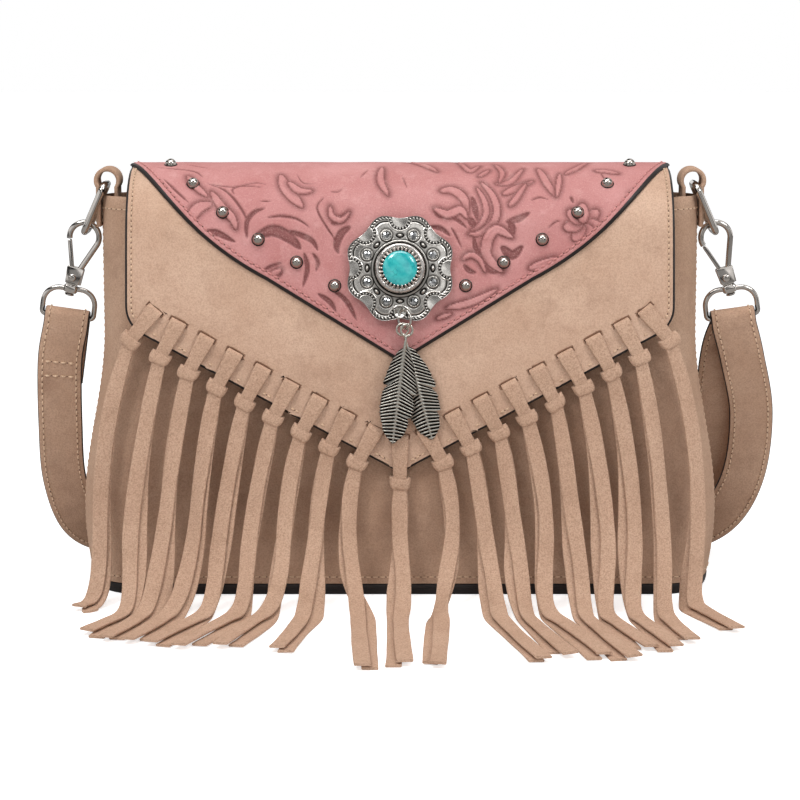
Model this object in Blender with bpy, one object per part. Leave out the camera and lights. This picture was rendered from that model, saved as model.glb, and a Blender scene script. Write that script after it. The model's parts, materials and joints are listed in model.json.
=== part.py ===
"""A fringed suede shoulder bag with a tooled overlay, a concho and a feather charm.

Metres, +Z up. The origin is the middle of the base on the floor, and the front faces -Y.
The flap and what is sewn to it are laid out flat, as they are cut from leather, and bent afterwards:
u runs across the flap, v along the leather from the hinge line, and w out of its face.
"""

import math

import bmesh
import bpy
import numpy as np
from mathutils import Matrix, Vector

# Clearances
GAP = 0.0003
SLIDE_GAP = 0.0004
FLOOR_GAP = 0.0003

# Body
BODY_HEIGHT = 0.187
TOP_HALF_WIDTH = 0.1415
BELLY_HALF_WIDTH = 0.1525
BELLY_HEIGHT = 0.035
SHOULDER_DROP = 0.062
SHOULDER_HEIGHT = BODY_HEIGHT - SHOULDER_DROP
FOOT_TUCK = 0.0045
BASE_HALF_DEPTH = 0.035
TOP_HALF_DEPTH = 0.0175
DEPTH_BELLY = 0.007
CORNER_RUN = 0.024
PANEL_THICKNESS = 0.0018
LINING_THICKNESS = 0.001
LINING_DROP = 0.002
BASE_THICKNESS = 0.005
BASE_EDGE_ROUND = 0.0008
BASE_LIP = 0.0006
CORNER_STEPS = 4
FLAT_STEPS = 6
PANEL_ROWS = 6

# Flap
FLAP_THICKNESS = 0.0024
FLAP_SIDE_INSET = 0.013
FLAP_HALF_WIDTH = TOP_HALF_WIDTH - FLAP_SIDE_INSET
FLAP_CREST_Y = 0.003
FLAP_CREST_RISE = 0.013
FLAP_CREST_Z = BODY_HEIGHT + FLAP_CREST_RISE
FLAP_ROLL_RADIUS = 0.034
FLAP_ROLL_TURN = math.radians(78)
FLAP_TIP_Y = -0.041
FLAP_DROP = 0.128
FLAP_TIP_Z = BODY_HEIGHT - FLAP_DROP
FLAP_FRONT_POWER = 2.2
FLAP_EDGE_SLOPE = 0.54
FLAP_CORNER_RADIUS = 0.016
FLAP_TIP_RADIUS = 0.006
FLAP_BAND_DROP = 0.027
FLAP_BAND_FOOT_Z = BODY_HEIGHT - FLAP_BAND_DROP

# Tooled overlay
OVERLAY_THICKNESS = 0.0014
OVERLAY_RELIEF = 0.0006
OVERLAY_START = 0.009
OVERLAY_DROP = 0.075
OVERLAY_TIP_Z = BODY_HEIGHT - OVERLAY_DROP
OVERLAY_STRAIGHT_U = 0.062
OVERLAY_STRAIGHT_RISE = 0.038
OVERLAY_CURVE_PULL = 0.0165

# Studs
STUDS_A_SIDE = 6
STUD_RADIUS = 0.0027
STUD_HEIGHT = 0.0022
STUD_INSET = 0.0145
STUD_FIRST = 0.0445
STUD_PITCH = 0.0207

# Concho
CONCHO_DROP = 0.032
CONCHO_Z = BODY_HEIGHT - CONCHO_DROP
CONCHO_RADIUS = 0.0243
CONCHO_LOBES = 8
CONCHO_NOTCH_RADIUS = 0.003
CONCHO_NOTCH_INSET = 0.0012
CONCHO_THICKNESS = 0.0011
CONCHO_CROWN = 0.0016
CONCHO_STAND = 0.0016
CONCHO_BOSS_RADIUS = 0.005
CRYSTAL_RING = 0.0165
CRYSTAL_RADIUS = 0.0026
CRYSTAL_HEIGHT = 0.0012
BEZEL_RADIUS = 0.0115
BEZEL_HEIGHT = 0.0022
BEZEL_WALL = 0.0012
BEZEL_TEETH = 16
STONE_RADIUS = 0.0080
STONE_CROWN = 0.0030

# Charm
CHARM_HOLE_RADIUS = 0.0022
CHARM_HOLE_OFFSET = 0.0203
JUMP_WIRE = 0.0012
JUMP_RADIUS = 0.0044
JUMP_REACH = 0.0029
JUMP_TURN = math.radians(40)
FEATHER_LENGTH = 0.052
FEATHER_HALF_WIDTH = 0.0077
FEATHER_THICKNESS = 0.0011
FEATHER_RIB = 0.0006
FEATHER_EYE_RADIUS = 0.0027
FEATHER_EYE_WIRE = 0.0012
FEATHER_STEM = 0.008
FEATHER_ROWS = 16
FEATHER_LEFT_LEAN = math.radians(-7)
FEATHER_RIGHT_LEAN = math.radians(15)

# Fringe
TASSELS_A_SIDE = 9
TASSEL_WIDTH = 0.008
TASSEL_THICKNESS = 0.0012
TASSEL_FIRST_U = 0.018
TASSEL_LAST_INSET = 0.0190
TASSEL_CORNER_TURN = math.radians(11)
SLOT_INSET = 0.0142
CENTRE_SLOT_INSET = 0.0175
KNOT_DROP = 0.0046
KNOT_HALF_WIDTH = 0.0049
KNOT_HALF_HEIGHT = 0.0022
KNOT_ROUND = 0.0008
TAIL_LAYER = 0.0020
TAIL_SPREAD = 0.0045
TAIL_BEND = 0.042
TAIL_CORNER_BEND = 0.028
TAIL_HANG_STEPS = 6
LEFT_TAIL_REACHES = (0.126, 0.100, 0.098, 0.101, 0.096, 0.092, 0.088, 0.077, 0.038)
RIGHT_TAIL_REACHES = (0.123, 0.118, 0.111, 0.112, 0.116, 0.100, 0.099, 0.088, 0.073)
CENTRE_TAIL_REACH = 0.120
LEFT_TAIL_HEADINGS = (-2, 12, 19, 21, 22, 22, 21, 20, 36)
RIGHT_TAIL_HEADINGS = (-2, 14, 14, 14, 14, 13, 12, 11, 20)
CENTRE_TAIL_HEADING = 1

# Magnetic snap
SNAP_DROP = 0.095
SNAP_Z = BODY_HEIGHT - SNAP_DROP
SNAP_RADIUS = 0.0070
SNAP_PLATE = 0.0011

# Tabs and oval rings
TAB_THICKNESS = 0.0020
TAB_HALF_WIDTH = 0.007
TAB_LEG_OUT = 0.0014
TAB_LEG_IN = 0.0073
TAB_LOOP_RADIUS = 0.0053
TAB_LOOP_RISE = 0.0068
TAB_LEG_LENGTH = 0.0150
RING_WIRE = 0.0033
RING_LENGTH = 0.0245
RING_HALF_WIDTH = 0.009
RING_CORNER = 0.004
RING_LEAN = math.radians(24)
RING_SEAT_LEAN = math.radians(33)

# Snap hooks
HOOK_WIRE = 0.0028
HOOK_SLACK = 0.0008
HOOK_LEAN = math.radians(16)
HOOK_EYE_RADIUS = 0.007
HOOK_TAPER = math.radians(19.1)
HOOK_BODY_TOP = 0.0220
HOOK_BODY_HEIGHT = 0.0085
HOOK_BODY_TOP_HALF_WIDTH = 0.0042
HOOK_BODY_FOOT_HALF_WIDTH = 0.0031
HOOK_BODY_THICKNESS = 0.0052
GATE_THICKNESS = 0.0020
GATE_HALF_WIDTH = 0.0010
GATE_PIVOT_RADIUS = 0.0020
GATE_PIVOT_DROP = 0.0052
RIVET_RADIUS = 0.0008
RIVET_HEAD_RADIUS = 0.0018
RIVET_HEAD = 0.0005
SWIVEL_POST_RADIUS = 0.0013
SWIVEL_HEAD_RADIUS = 0.0023
SWIVEL_HEAD = 0.0012

# Strap D-rings
EYE_BLOCK_HALF_WIDTH = 0.0033
EYE_BLOCK_HEIGHT = 0.0036
EYE_BLOCK_DEPTH = 0.0052
D_RING_WIRE = 0.0025
D_RING_DROP = 0.0134
D_RING_LEAN = math.radians(8)
D_RING_TOP_CORNER = 0.0075
D_RING_FOOT_CORNER = 0.0018

# Strap
STRAP_WIDTH = 0.0215
STRAP_THICKNESS = 0.0024
STRAP_TAIL = 0.032
STRAP_RUN_GAP = 0.018
STRAP_STEPS = 3

SUEDE = ("suede", (0.50, 0.33, 0.22), 0.9, 0.0)
PINK = ("tooled_leather", (0.46, 0.15, 0.16), 0.55, 0.0)
NICKEL = ("polished_nickel", (0.72, 0.70, 0.67), 0.2, 1.0)
SILVER = ("antique_silver", (0.45, 0.43, 0.41), 0.35, 1.0)
TURQUOISE = ("turquoise", (0.03, 0.48, 0.52), 0.3, 0.0)
CLOTH = ("lining_cloth", (0.24, 0.18, 0.14), 0.9, 0.0)


# Scene and mesh helpers
def clear_scene():
    for obj in list(bpy.data.objects):
        bpy.data.objects.remove(obj)


def material_of(finish):
    name, colour, roughness, metallic = finish
    found = bpy.data.materials.get(name)
    if found:
        return found
    made = bpy.data.materials.new(name)
    made.use_nodes = True
    shader = made.node_tree.nodes["Principled BSDF"]
    shader.inputs["Base Color"].default_value = (*colour, 1)
    shader.inputs["Roughness"].default_value = roughness
    shader.inputs["Metallic"].default_value = metallic
    return made


def add_object(name, bm, finish, frame=None):
    """Makes a closed object of the bmesh; frame is its own place, in which the bmesh was drawn."""
    bmesh.ops.recalc_face_normals(bm, faces=bm.faces)
    if bm.calc_volume(signed=True) < 0:
        bmesh.ops.reverse_faces(bm, faces=bm.faces)
    mesh = bpy.data.meshes.new(name)
    bm.to_mesh(mesh)
    bm.free()
    mesh.shade_smooth()
    mesh.set_sharp_from_angle(angle=math.radians(35))
    obj = bpy.data.objects.new(name, mesh)
    bpy.context.scene.collection.objects.link(obj)
    mesh.materials.append(material_of(finish))
    if frame is not None:
        obj.matrix_world = frame
    return obj


def set_origin(obj, place):
    """Moves an object's origin to a joint's axis, and leaves its mesh where it is."""
    obj.data.transform(Matrix.Translation(-place))
    obj.matrix_world = Matrix.Translation(place)


def boolean(target, other, operation):
    """Joins or cuts target with other, and deletes other."""
    modifier = target.modifiers.new(operation.lower(), "BOOLEAN")
    modifier.operation = operation
    modifier.solver = "EXACT"
    modifier.object = other
    bpy.context.view_layer.update()
    graph = bpy.context.evaluated_depsgraph_get()
    made = bpy.data.meshes.new_from_object(target.evaluated_get(graph))
    old = target.data
    target.modifiers.clear()
    target.data = made
    made.name = old.name
    bpy.data.meshes.remove(old)
    bpy.data.objects.remove(other)
    return target


def loft(rings, closed=False):
    """A solid skin through rings of equal length: capped at its ends, or closed into a loop."""
    bm = bmesh.new()
    rows = [[bm.verts.new(point) for point in ring] for ring in rings]
    count = len(rows[0])
    pairs = list(zip(rows, rows[1:]))
    if closed:
        pairs.append((rows[-1], rows[0]))
    for lower, upper in pairs:
        for index in range(count):
            after = (index + 1) % count
            bm.faces.new((lower[index], lower[after], upper[after], upper[index]))
    if not closed:
        bm.faces.new(rows[0])
        bm.faces.new(rows[-1])
    return bm


def sheet(outer, inner):
    """A solid sheet between two grids of points with the same rows and columns."""
    bm = bmesh.new()
    faces = [[[bm.verts.new(point) for point in row] for row in grid] for grid in (outer, inner)]
    for grid in faces:
        for lower, upper in zip(grid, grid[1:]):
            for left in range(len(lower) - 1):
                bm.faces.new((lower[left], lower[left + 1], upper[left + 1], upper[left]))
    front, back = faces
    rims = [(front[0], back[0]), (front[-1], back[-1])]
    rims.append(([row[0] for row in front], [row[0] for row in back]))
    rims.append(([row[-1] for row in front], [row[-1] for row in back]))
    for near, far in rims:
        for index in range(len(near) - 1):
            bm.faces.new((near[index], near[index + 1], far[index + 1], far[index]))
    return bm


def halved(bm):
    """Cuts every quad along its shorter diagonal, so that two skins that lie together bend alike."""
    quads = [face for face in bm.faces if len(face.verts) == 4]
    bmesh.ops.triangulate(bm, faces=quads, quad_method="SHORT_EDGE")
    return bm


def prism(outline, low, high):
    """An outline in X and Y raised from low to high along Z."""
    return loft([[(x, y, level) for x, y in outline] for level in (low, high)])


def rectangle(half_x, half_y):
    return [(-half_x, -half_y), (half_x, -half_y), (half_x, half_y), (-half_x, half_y)]


def circle(radius, level, steps, centre=(0, 0)):
    turns = [math.tau * step / steps for step in range(steps)]
    x, y = centre
    return [(x + radius * math.cos(turn), y + radius * math.sin(turn), level) for turn in turns]


def disc(radius, low, high, steps, centre=(0, 0)):
    return loft([circle(radius, level, steps, centre) for level in (low, high)])


def rounded(corners, radii, steps, closed=True):
    """An outline through the corners, each turned by an arc of its own radius."""
    points = []
    last = len(corners) - 1
    for index, (corner, radius) in enumerate(zip(corners, radii)):
        here = Vector(corner)
        if radius == 0 or (not closed and index in (0, last)):
            points.append(tuple(here))
            continue
        before = (Vector(corners[index - 1]) - here).normalized()
        after = (Vector(corners[(index + 1) % len(corners)]) - here).normalized()
        half = before.angle(after) / 2
        centre = here + (before + after).normalized() * radius / math.sin(half)
        reach = radius / math.tan(half)
        start = here + before * reach - centre
        end = here + after * reach - centre
        turn = start.angle(end)
        for step in range(steps + 1):
            part = step / steps
            arm = (start * math.sin((1 - part) * turn) + end * math.sin(part * turn)) / math.sin(turn)
            points.append(tuple(centre + arm))
    return points


def wire(path, normal, radius, sides, closed):
    """A round wire along a path that lies in the plane across normal."""
    path = [Vector(point) for point in path]
    normal = Vector(normal).normalized()
    last = len(path) - 1
    rings = []
    for index, point in enumerate(path):
        before = path[index - 1] if closed or index else path[0]
        after = path[(index + 1) % len(path)] if closed or index < last else path[-1]
        across = (after - before).normalized().cross(normal)
        rings.append([
            point + radius * (math.cos(turn) * across + math.sin(turn) * normal)
            for turn in (math.tau * (side + 0.5) / sides for side in range(sides))
        ])
    return loft(rings, closed)


def ribbon(stations, width, thickness):
    """A flat strip through stations, each a place and the direction of the strip's width there."""
    places = [Vector(place) for place, _ in stations]
    rings = []
    for index, (_, direction) in enumerate(stations):
        before = places[max(index - 1, 0)]
        after = places[min(index + 1, len(places) - 1)]
        into = (places[index] - before).normalized()
        out = (after - places[index]).normalized()
        along = (into + out).normalized()
        side = Vector(direction)
        side = (side - along * side.dot(along)).normalized()
        face = side.cross(along)
        turn = into.angle(out) if into.length and out.length else 0
        mitre = 1 / max(math.cos(turn / 2), 0.5)
        half_side = side * width / 2
        half_face = face * thickness / 2 * mitre
        rings.append([
            places[index] - half_side - half_face,
            places[index] + half_side - half_face,
            places[index] + half_side + half_face,
            places[index] - half_side + half_face,
        ])
    return loft(rings)


def curve_through(points, steps):
    """Catmull-Rom points through the given ones, with so many steps to each stretch."""
    points = [np.array(point, float) for point in points]
    ends = [2 * points[0] - points[1], *points, 2 * points[-1] - points[-2]]
    made = []
    for index in range(1, len(ends) - 2):
        a, b, c, d = ends[index - 1 : index + 3]
        for step in range(steps):
            t = step / steps
            square = (2 * a - 5 * b + 4 * c - d) * t**2
            cube = (3 * b - a - 3 * c + d) * t**3
            made.append(0.5 * (2 * b + (c - a) * t + square + cube))
    made.append(points[-1])
    return [Vector(point) for point in made]


# Body
def half_depth(z):
    part = z / BODY_HEIGHT
    straight = BASE_HALF_DEPTH + (TOP_HALF_DEPTH - BASE_HALF_DEPTH) * part
    return straight + DEPTH_BELLY * math.sin(math.pi * part)


def half_width(z):
    if z < BELLY_HEIGHT:
        return BELLY_HALF_WIDTH - FOOT_TUCK * (1 - z / BELLY_HEIGHT) ** 2
    part = min(1, (z - BELLY_HEIGHT) / (SHOULDER_HEIGHT - BELLY_HEIGHT))
    return TOP_HALF_WIDTH + (BELLY_HALF_WIDTH - TOP_HALF_WIDTH) * (1 + math.cos(math.pi * part)) / 2


def half_plan(z, inset, facing, seam=0.0):
    """Points round half of the body at height z, from the left seam to the right; facing is -1 in front."""
    flat = half_width(z) - CORNER_RUN
    run = CORNER_RUN - inset
    depth = half_depth(z) - inset - seam
    corner = []
    for step in range(CORNER_STEPS + 1):
        angle = math.pi / 2 * step / CORNER_STEPS
        corner.append((flat + run * math.cos(angle), facing * (seam + depth * math.sin(angle))))
    left = [(-x, y, z) for x, y in corner]
    middle = [
        (-flat + 2 * flat * step / FLAT_STEPS, facing * (seam + depth), z) for step in range(1, FLAT_STEPS)
    ]
    right = [(x, y, z) for x, y in reversed(corner)]
    return left + middle + right


def whole_plan(z, inset):
    front = half_plan(z, inset, -1)
    back = half_plan(z, inset, 1)
    return front + back[-2:0:-1]


def heights(low, high, rows):
    return [low + (high - low) * row / rows for row in range(rows + 1)]


def make_body_panel(name, facing):
    levels = heights(BASE_THICKNESS + GAP, BODY_HEIGHT - LINING_DROP, PANEL_ROWS) + [BODY_HEIGHT]
    outer = [half_plan(z, 0, facing, GAP / 2) for z in levels]
    inner = [half_plan(z, PANEL_THICKNESS, facing, GAP / 2) for z in levels]
    return add_object(name, halved(sheet(outer, inner)), SUEDE)


def make_lining():
    outside = PANEL_THICKNESS + GAP
    inside = outside + LINING_THICKNESS
    floor = BASE_THICKNESS + GAP
    levels = heights(floor, BODY_HEIGHT - LINING_DROP, PANEL_ROWS)
    rings = [whole_plan(z, outside) for z in levels]
    rings += [whole_plan(z, inside) for z in reversed(levels[1:])]
    rings.append([(x, y, floor + LINING_THICKNESS) for x, y, _ in whole_plan(floor, inside)])
    return add_object("lining", halved(loft(rings)), CLOTH)


def make_base():
    levels = (
        (0, BASE_EDGE_ROUND - BASE_LIP),
        (BASE_EDGE_ROUND, -BASE_LIP),
        (BASE_THICKNESS - BASE_EDGE_ROUND, -BASE_LIP),
        (BASE_THICKNESS, BASE_EDGE_ROUND - BASE_LIP),
    )
    rings = [whole_plan(z, inset) for z, inset in levels]
    return add_object("base_panel", loft(rings), SUEDE)


# Flap profile
def front_face_y(z):
    roll_foot_z = FLAP_CREST_Z - FLAP_ROLL_RADIUS * (1 - math.cos(FLAP_ROLL_TURN))
    roll_foot_y = FLAP_CREST_Y - FLAP_ROLL_RADIUS * math.sin(FLAP_ROLL_TURN)
    part = max(0, (z - FLAP_TIP_Z) / (roll_foot_z - FLAP_TIP_Z))
    return FLAP_TIP_Y + (roll_foot_y - FLAP_TIP_Y) * part**FLAP_FRONT_POWER


def flap_section():
    """Fine points (y, z) along the flap's face, from the hinge line over the top and down the front."""
    hinge_y = TOP_HALF_DEPTH + GAP + FLAP_THICKNESS
    points = []
    for step in range(40):
        angle = math.pi / 2 * step / 40
        points.append((
            FLAP_CREST_Y + (hinge_y - FLAP_CREST_Y) * math.cos(angle),
            BODY_HEIGHT + (FLAP_CREST_Z - BODY_HEIGHT) * math.sin(angle),
        ))
    for step in range(60):
        angle = FLAP_ROLL_TURN * step / 60
        points.append((
            FLAP_CREST_Y - FLAP_ROLL_RADIUS * math.sin(angle),
            FLAP_CREST_Z - FLAP_ROLL_RADIUS * (1 - math.cos(angle)),
        ))
    roll_foot_z = FLAP_CREST_Z - FLAP_ROLL_RADIUS * (1 - math.cos(FLAP_ROLL_TURN))
    for step in range(81):
        z = roll_foot_z + (FLAP_TIP_Z - roll_foot_z) * step / 80
        points.append((front_face_y(z), z))
    points.append((FLAP_TIP_Y, FLAP_TIP_Z - 2 * KNOT_DROP))
    return np.array(points)


SECTION = flap_section()
SECTION_V = np.concatenate([[0], np.cumsum(np.linalg.norm(np.diff(SECTION, axis=0), axis=1))])
SECTION_ALONG = np.gradient(SECTION, SECTION_V, axis=0)
SECTION_OUT = np.stack([SECTION_ALONG[:, 1], -SECTION_ALONG[:, 0]], axis=1)
SECTION_OUT /= np.linalg.norm(SECTION_OUT, axis=1)[:, None]
HINGE = Vector((0, SECTION[0][0], BODY_HEIGHT))


def flap_v(z):
    """How far along the leather the front of the flap is at height z."""
    front = slice(40, None)
    return float(np.interp(-z, -SECTION[front, 1], SECTION_V[front]))


def flap_out(v):
    normal = [np.interp(v, SECTION_V, SECTION_OUT[:, axis]) for axis in (0, 1)]
    return Vector((0, *normal)).normalized()


def on_flap(u, v, w):
    place = [np.interp(v, SECTION_V, SECTION[:, axis]) for axis in (0, 1)]
    return Vector((u, *place)) + flap_out(v) * w


def bend(bm, low_v, high_v):
    """Cuts flat leather across its bends and wraps it on the flap's section."""
    roll_end = float(SECTION_V[100])
    cuts = list(np.arange(low_v + 0.005, roll_end, 0.0056))
    cuts += list(np.arange(roll_end, high_v, 0.021))
    for v in cuts:
        geometry = bm.verts[:] + bm.edges[:] + bm.faces[:]
        bmesh.ops.bisect_plane(bm, geom=geometry, dist=1e-7, plane_co=(0, v, 0), plane_no=(0, 1, 0))
    for vert in bm.verts:
        vert.co = on_flap(*vert.co)


def bent_object(name, flat, finish, low_v, high_v):
    """Replaces a flat object's mesh by the same leather bent round the bag."""
    bm = bmesh.new()
    bm.from_mesh(flat.data)
    bend(bm, low_v, high_v)
    bpy.data.objects.remove(flat)
    obj = add_object(name, bm, finish)
    set_origin(obj, HINGE)
    return obj


def flap_outline():
    """The flap's flat outline from its left hinge end round the tip to the right one."""
    corner_z = FLAP_TIP_Z + FLAP_EDGE_SLOPE * FLAP_HALF_WIDTH
    corners = [
        (-FLAP_HALF_WIDTH, GAP),
        (-FLAP_HALF_WIDTH, flap_v(corner_z)),
        (0, flap_v(FLAP_TIP_Z)),
        (FLAP_HALF_WIDTH, flap_v(corner_z)),
        (FLAP_HALF_WIDTH, GAP),
    ]
    radii = (0, FLAP_CORNER_RADIUS, FLAP_TIP_RADIUS, FLAP_CORNER_RADIUS, 0)
    return rounded(corners, radii, 5)


def make_flap():
    flat = add_object("flat_flap", prism(flap_outline(), -FLAP_THICKNESS, 0), SUEDE)
    cutters = bmesh.new()
    for tassel in tassels():
        made = bmesh.ops.create_cube(cutters, size=1)["verts"]
        width = TASSEL_WIDTH + 2 * SLIDE_GAP
        height = TASSEL_THICKNESS + 2 * SLIDE_GAP
        shape = Matrix.Diagonal((width, height, 3 * FLAP_THICKNESS, 1))
        turn = Matrix.Rotation(-tassel["turn"], 4, "Z")
        place = Matrix.Translation((*tassel["slot"], -FLAP_THICKNESS / 2))
        bmesh.ops.transform(cutters, matrix=place @ turn @ shape, verts=made)
    boolean(flat, add_object("flap_slots", cutters, SUEDE), "DIFFERENCE")
    return bent_object("flap", flat, SUEDE, GAP, flap_v(FLAP_TIP_Z))


def make_flap_band():
    """The part of the flap's leather that is sewn down on the back panel."""
    levels = heights(FLAP_BAND_FOOT_Z, BODY_HEIGHT - GAP, 4)
    sides = (FLAP_THICKNESS + GAP, GAP)
    flat_end = TOP_HALF_WIDTH - CORNER_RUN
    grids = []
    for rise in sides:
        grids.append([
            [(x, half_depth(z) + rise, z) for x in (-flat_end, 0, flat_end)] for z in levels
        ])
    return add_object("flap_back_band", sheet(*grids), SUEDE)


# Tooled overlay
def overlay_edge():
    """The right half of the overlay's free edge, from its tip up to the crest, in u and v."""
    tip = Vector((0, flap_v(OVERLAY_TIP_Z)))
    bend_start = Vector((OVERLAY_STRAIGHT_U, tip.y - OVERLAY_STRAIGHT_RISE))
    crest = Vector((FLAP_HALF_WIDTH, float(SECTION_V[40])))
    middle = (bend_start + crest) / 2
    across = (crest - bend_start).orthogonal().normalized()
    pull = middle - across * OVERLAY_CURVE_PULL if across.x < 0 else middle + across * OVERLAY_CURVE_PULL
    points = [tip]
    for step in range(9):
        part = step / 8
        points.append(bend_start * (1 - part) ** 2 + pull * 2 * part * (1 - part) + crest * part**2)
    return points


def walk(points, distance):
    """The place at a distance along a line of points."""
    for start, end in zip(points, points[1:]):
        length = (end - start).length
        if distance <= length or end == points[-1]:
            return start + (end - start) * distance / length
        distance -= length


def shifted(points, inset):
    """The line moved to its left by the inset."""
    moved = []
    for index, point in enumerate(points):
        along = (points[min(index + 1, len(points) - 1)] - points[max(index - 1, 0)]).normalized()
        moved.append(point + Vector((along.y, -along.x)) * inset)
    return moved


def leaf(base, angle, length, width, curl):
    """A curved pointed leaf; angle 0 points along u, and curl turns its spine over its length."""
    spine = []
    place = Vector(base)
    steps = 5
    for step in range(steps + 1):
        spine.append((place.copy(), angle + curl * step / steps))
        heading = angle + curl * (step + 0.5) / steps
        place += Vector((math.cos(heading), math.sin(heading))) * length / steps
    left = []
    right = []
    for step, (point, heading) in enumerate(spine[1:-1], start=1):
        swell = width / 2 * math.sin(math.pi * (step / steps) ** 0.8) ** 0.8
        side = Vector((-math.sin(heading), math.cos(heading))) * swell
        left.append(point + side)
        right.append(point - side)
    return [tuple(spine[0][0]), *map(tuple, right), tuple(spine[-1][0]), *map(tuple, reversed(left))]


def ornament():
    """Leaves of the right half as base u and v, angle, length, width and curl; the left half mirrors it."""
    degrees = math.radians
    return [
        ((0.034, 0.062), degrees(-75), 0.026, 0.012, degrees(60)),
        ((0.040, 0.070), degrees(-10), 0.024, 0.009, degrees(70)),
        ((0.036, 0.084), degrees(25), 0.020, 0.008, degrees(-80)),
        ((0.060, 0.044), degrees(-30), 0.026, 0.011, degrees(80)),
        ((0.062, 0.066), degrees(-15), 0.022, 0.010, degrees(-70)),
        ((0.070, 0.058), degrees(-60), 0.024, 0.009, degrees(75)),
        ((0.092, 0.030), degrees(20), 0.022, 0.011, degrees(60)),
        ((0.088, 0.048), degrees(-40), 0.022, 0.009, degrees(-80)),
        ((0.104, 0.044), degrees(-70), 0.020, 0.008, degrees(70)),
        ((0.070, 0.024), degrees(-20), 0.024, 0.009, degrees(40)),
        ((0.028, 0.040), degrees(-60), 0.024, 0.010, degrees(70)),
        ((0.014, 0.030), degrees(-10), 0.024, 0.010, degrees(-60)),
        ((0.016, 0.112), degrees(-150), 0.018, 0.008, degrees(-60)),
    ]


def make_overlay():
    edge = [tuple(point) for point in overlay_edge()]
    start = [(FLAP_HALF_WIDTH, OVERLAY_START), (-FLAP_HALF_WIDTH, OVERLAY_START)]
    left = [(-u, v) for u, v in reversed(edge[1:])]
    top = GAP + OVERLAY_THICKNESS
    outline = edge + start + left
    overlay = add_object("flat_overlay", prism(outline, GAP, top), PINK)
    for side in (1, -1):
        for base, angle, length, width, curl in ornament():
            outline = [(side * u, v) for u, v in leaf(base, angle, length, width, curl)]
            raised = prism(outline, top - OVERLAY_RELIEF, top + OVERLAY_RELIEF)
            boolean(overlay, add_object("raised_leaf", raised, PINK), "UNION")
    return bent_object("flap_overlay", overlay, PINK, OVERLAY_START, flap_v(OVERLAY_TIP_Z))


def seat_on_flap(u, v, w):
    """A frame on the flap: its X runs across, its Y up the leather and its Z out of the face."""
    out = flap_out(v)
    across = Vector((1, 0, 0))
    up = out.cross(across)
    turn = Matrix((across, up, out)).transposed().to_4x4()
    return Matrix.Translation(on_flap(u, v, w)) @ turn


# Studs
def stud_seats():
    line = shifted(overlay_edge(), STUD_INSET)
    return [walk(line, STUD_FIRST + STUD_PITCH * index) for index in range(STUDS_A_SIDE)]


def make_studs():
    seat_w = GAP + OVERLAY_THICKNESS + OVERLAY_RELIEF + GAP
    levels = ((0, 1.0), (0.25, 1.0), (0.75, 0.72), (1.0, 0.3))
    for side, label in ((-1, "left"), (1, "right")):
        for index, seat in enumerate(stud_seats()):
            rings = [circle(STUD_RADIUS * share, STUD_HEIGHT * height, 9) for height, share in levels]
            frame = seat_on_flap(side * seat.x, seat.y, seat_w)
            add_object(f"stud_{label}_{index + 1}", loft(rings), SILVER, frame)


# Concho
def concho_frame():
    lift = GAP + OVERLAY_THICKNESS + OVERLAY_RELIEF + GAP
    return seat_on_flap(0, flap_v(CONCHO_Z), lift)


def concho_outline():
    """A round plate with a bitten notch between its lobes, apart from the lowest, which has a hole."""
    points = []
    pitch = math.tau / CONCHO_LOBES
    bite_centre = CONCHO_RADIUS - CONCHO_NOTCH_INSET
    reach = math.acos(1 - CONCHO_NOTCH_RADIUS**2 / (2 * CONCHO_RADIUS**2))
    for lobe in range(CONCHO_LOBES):
        middle = -math.pi / 2 + pitch * lobe
        if lobe:
            for step in range(1, 5):
                turn = middle + math.pi + math.pi / 2 * (1 - step / 2.5)
                centre = Vector((math.cos(middle), math.sin(middle))) * bite_centre
                points.append(tuple(centre + Vector((math.cos(turn), math.sin(turn))) * CONCHO_NOTCH_RADIUS))
        for step in range(6):
            turn = middle + reach + (pitch - 2 * reach) * step / 5
            points.append((CONCHO_RADIUS * math.cos(turn), CONCHO_RADIUS * math.sin(turn)))
    return points


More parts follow.
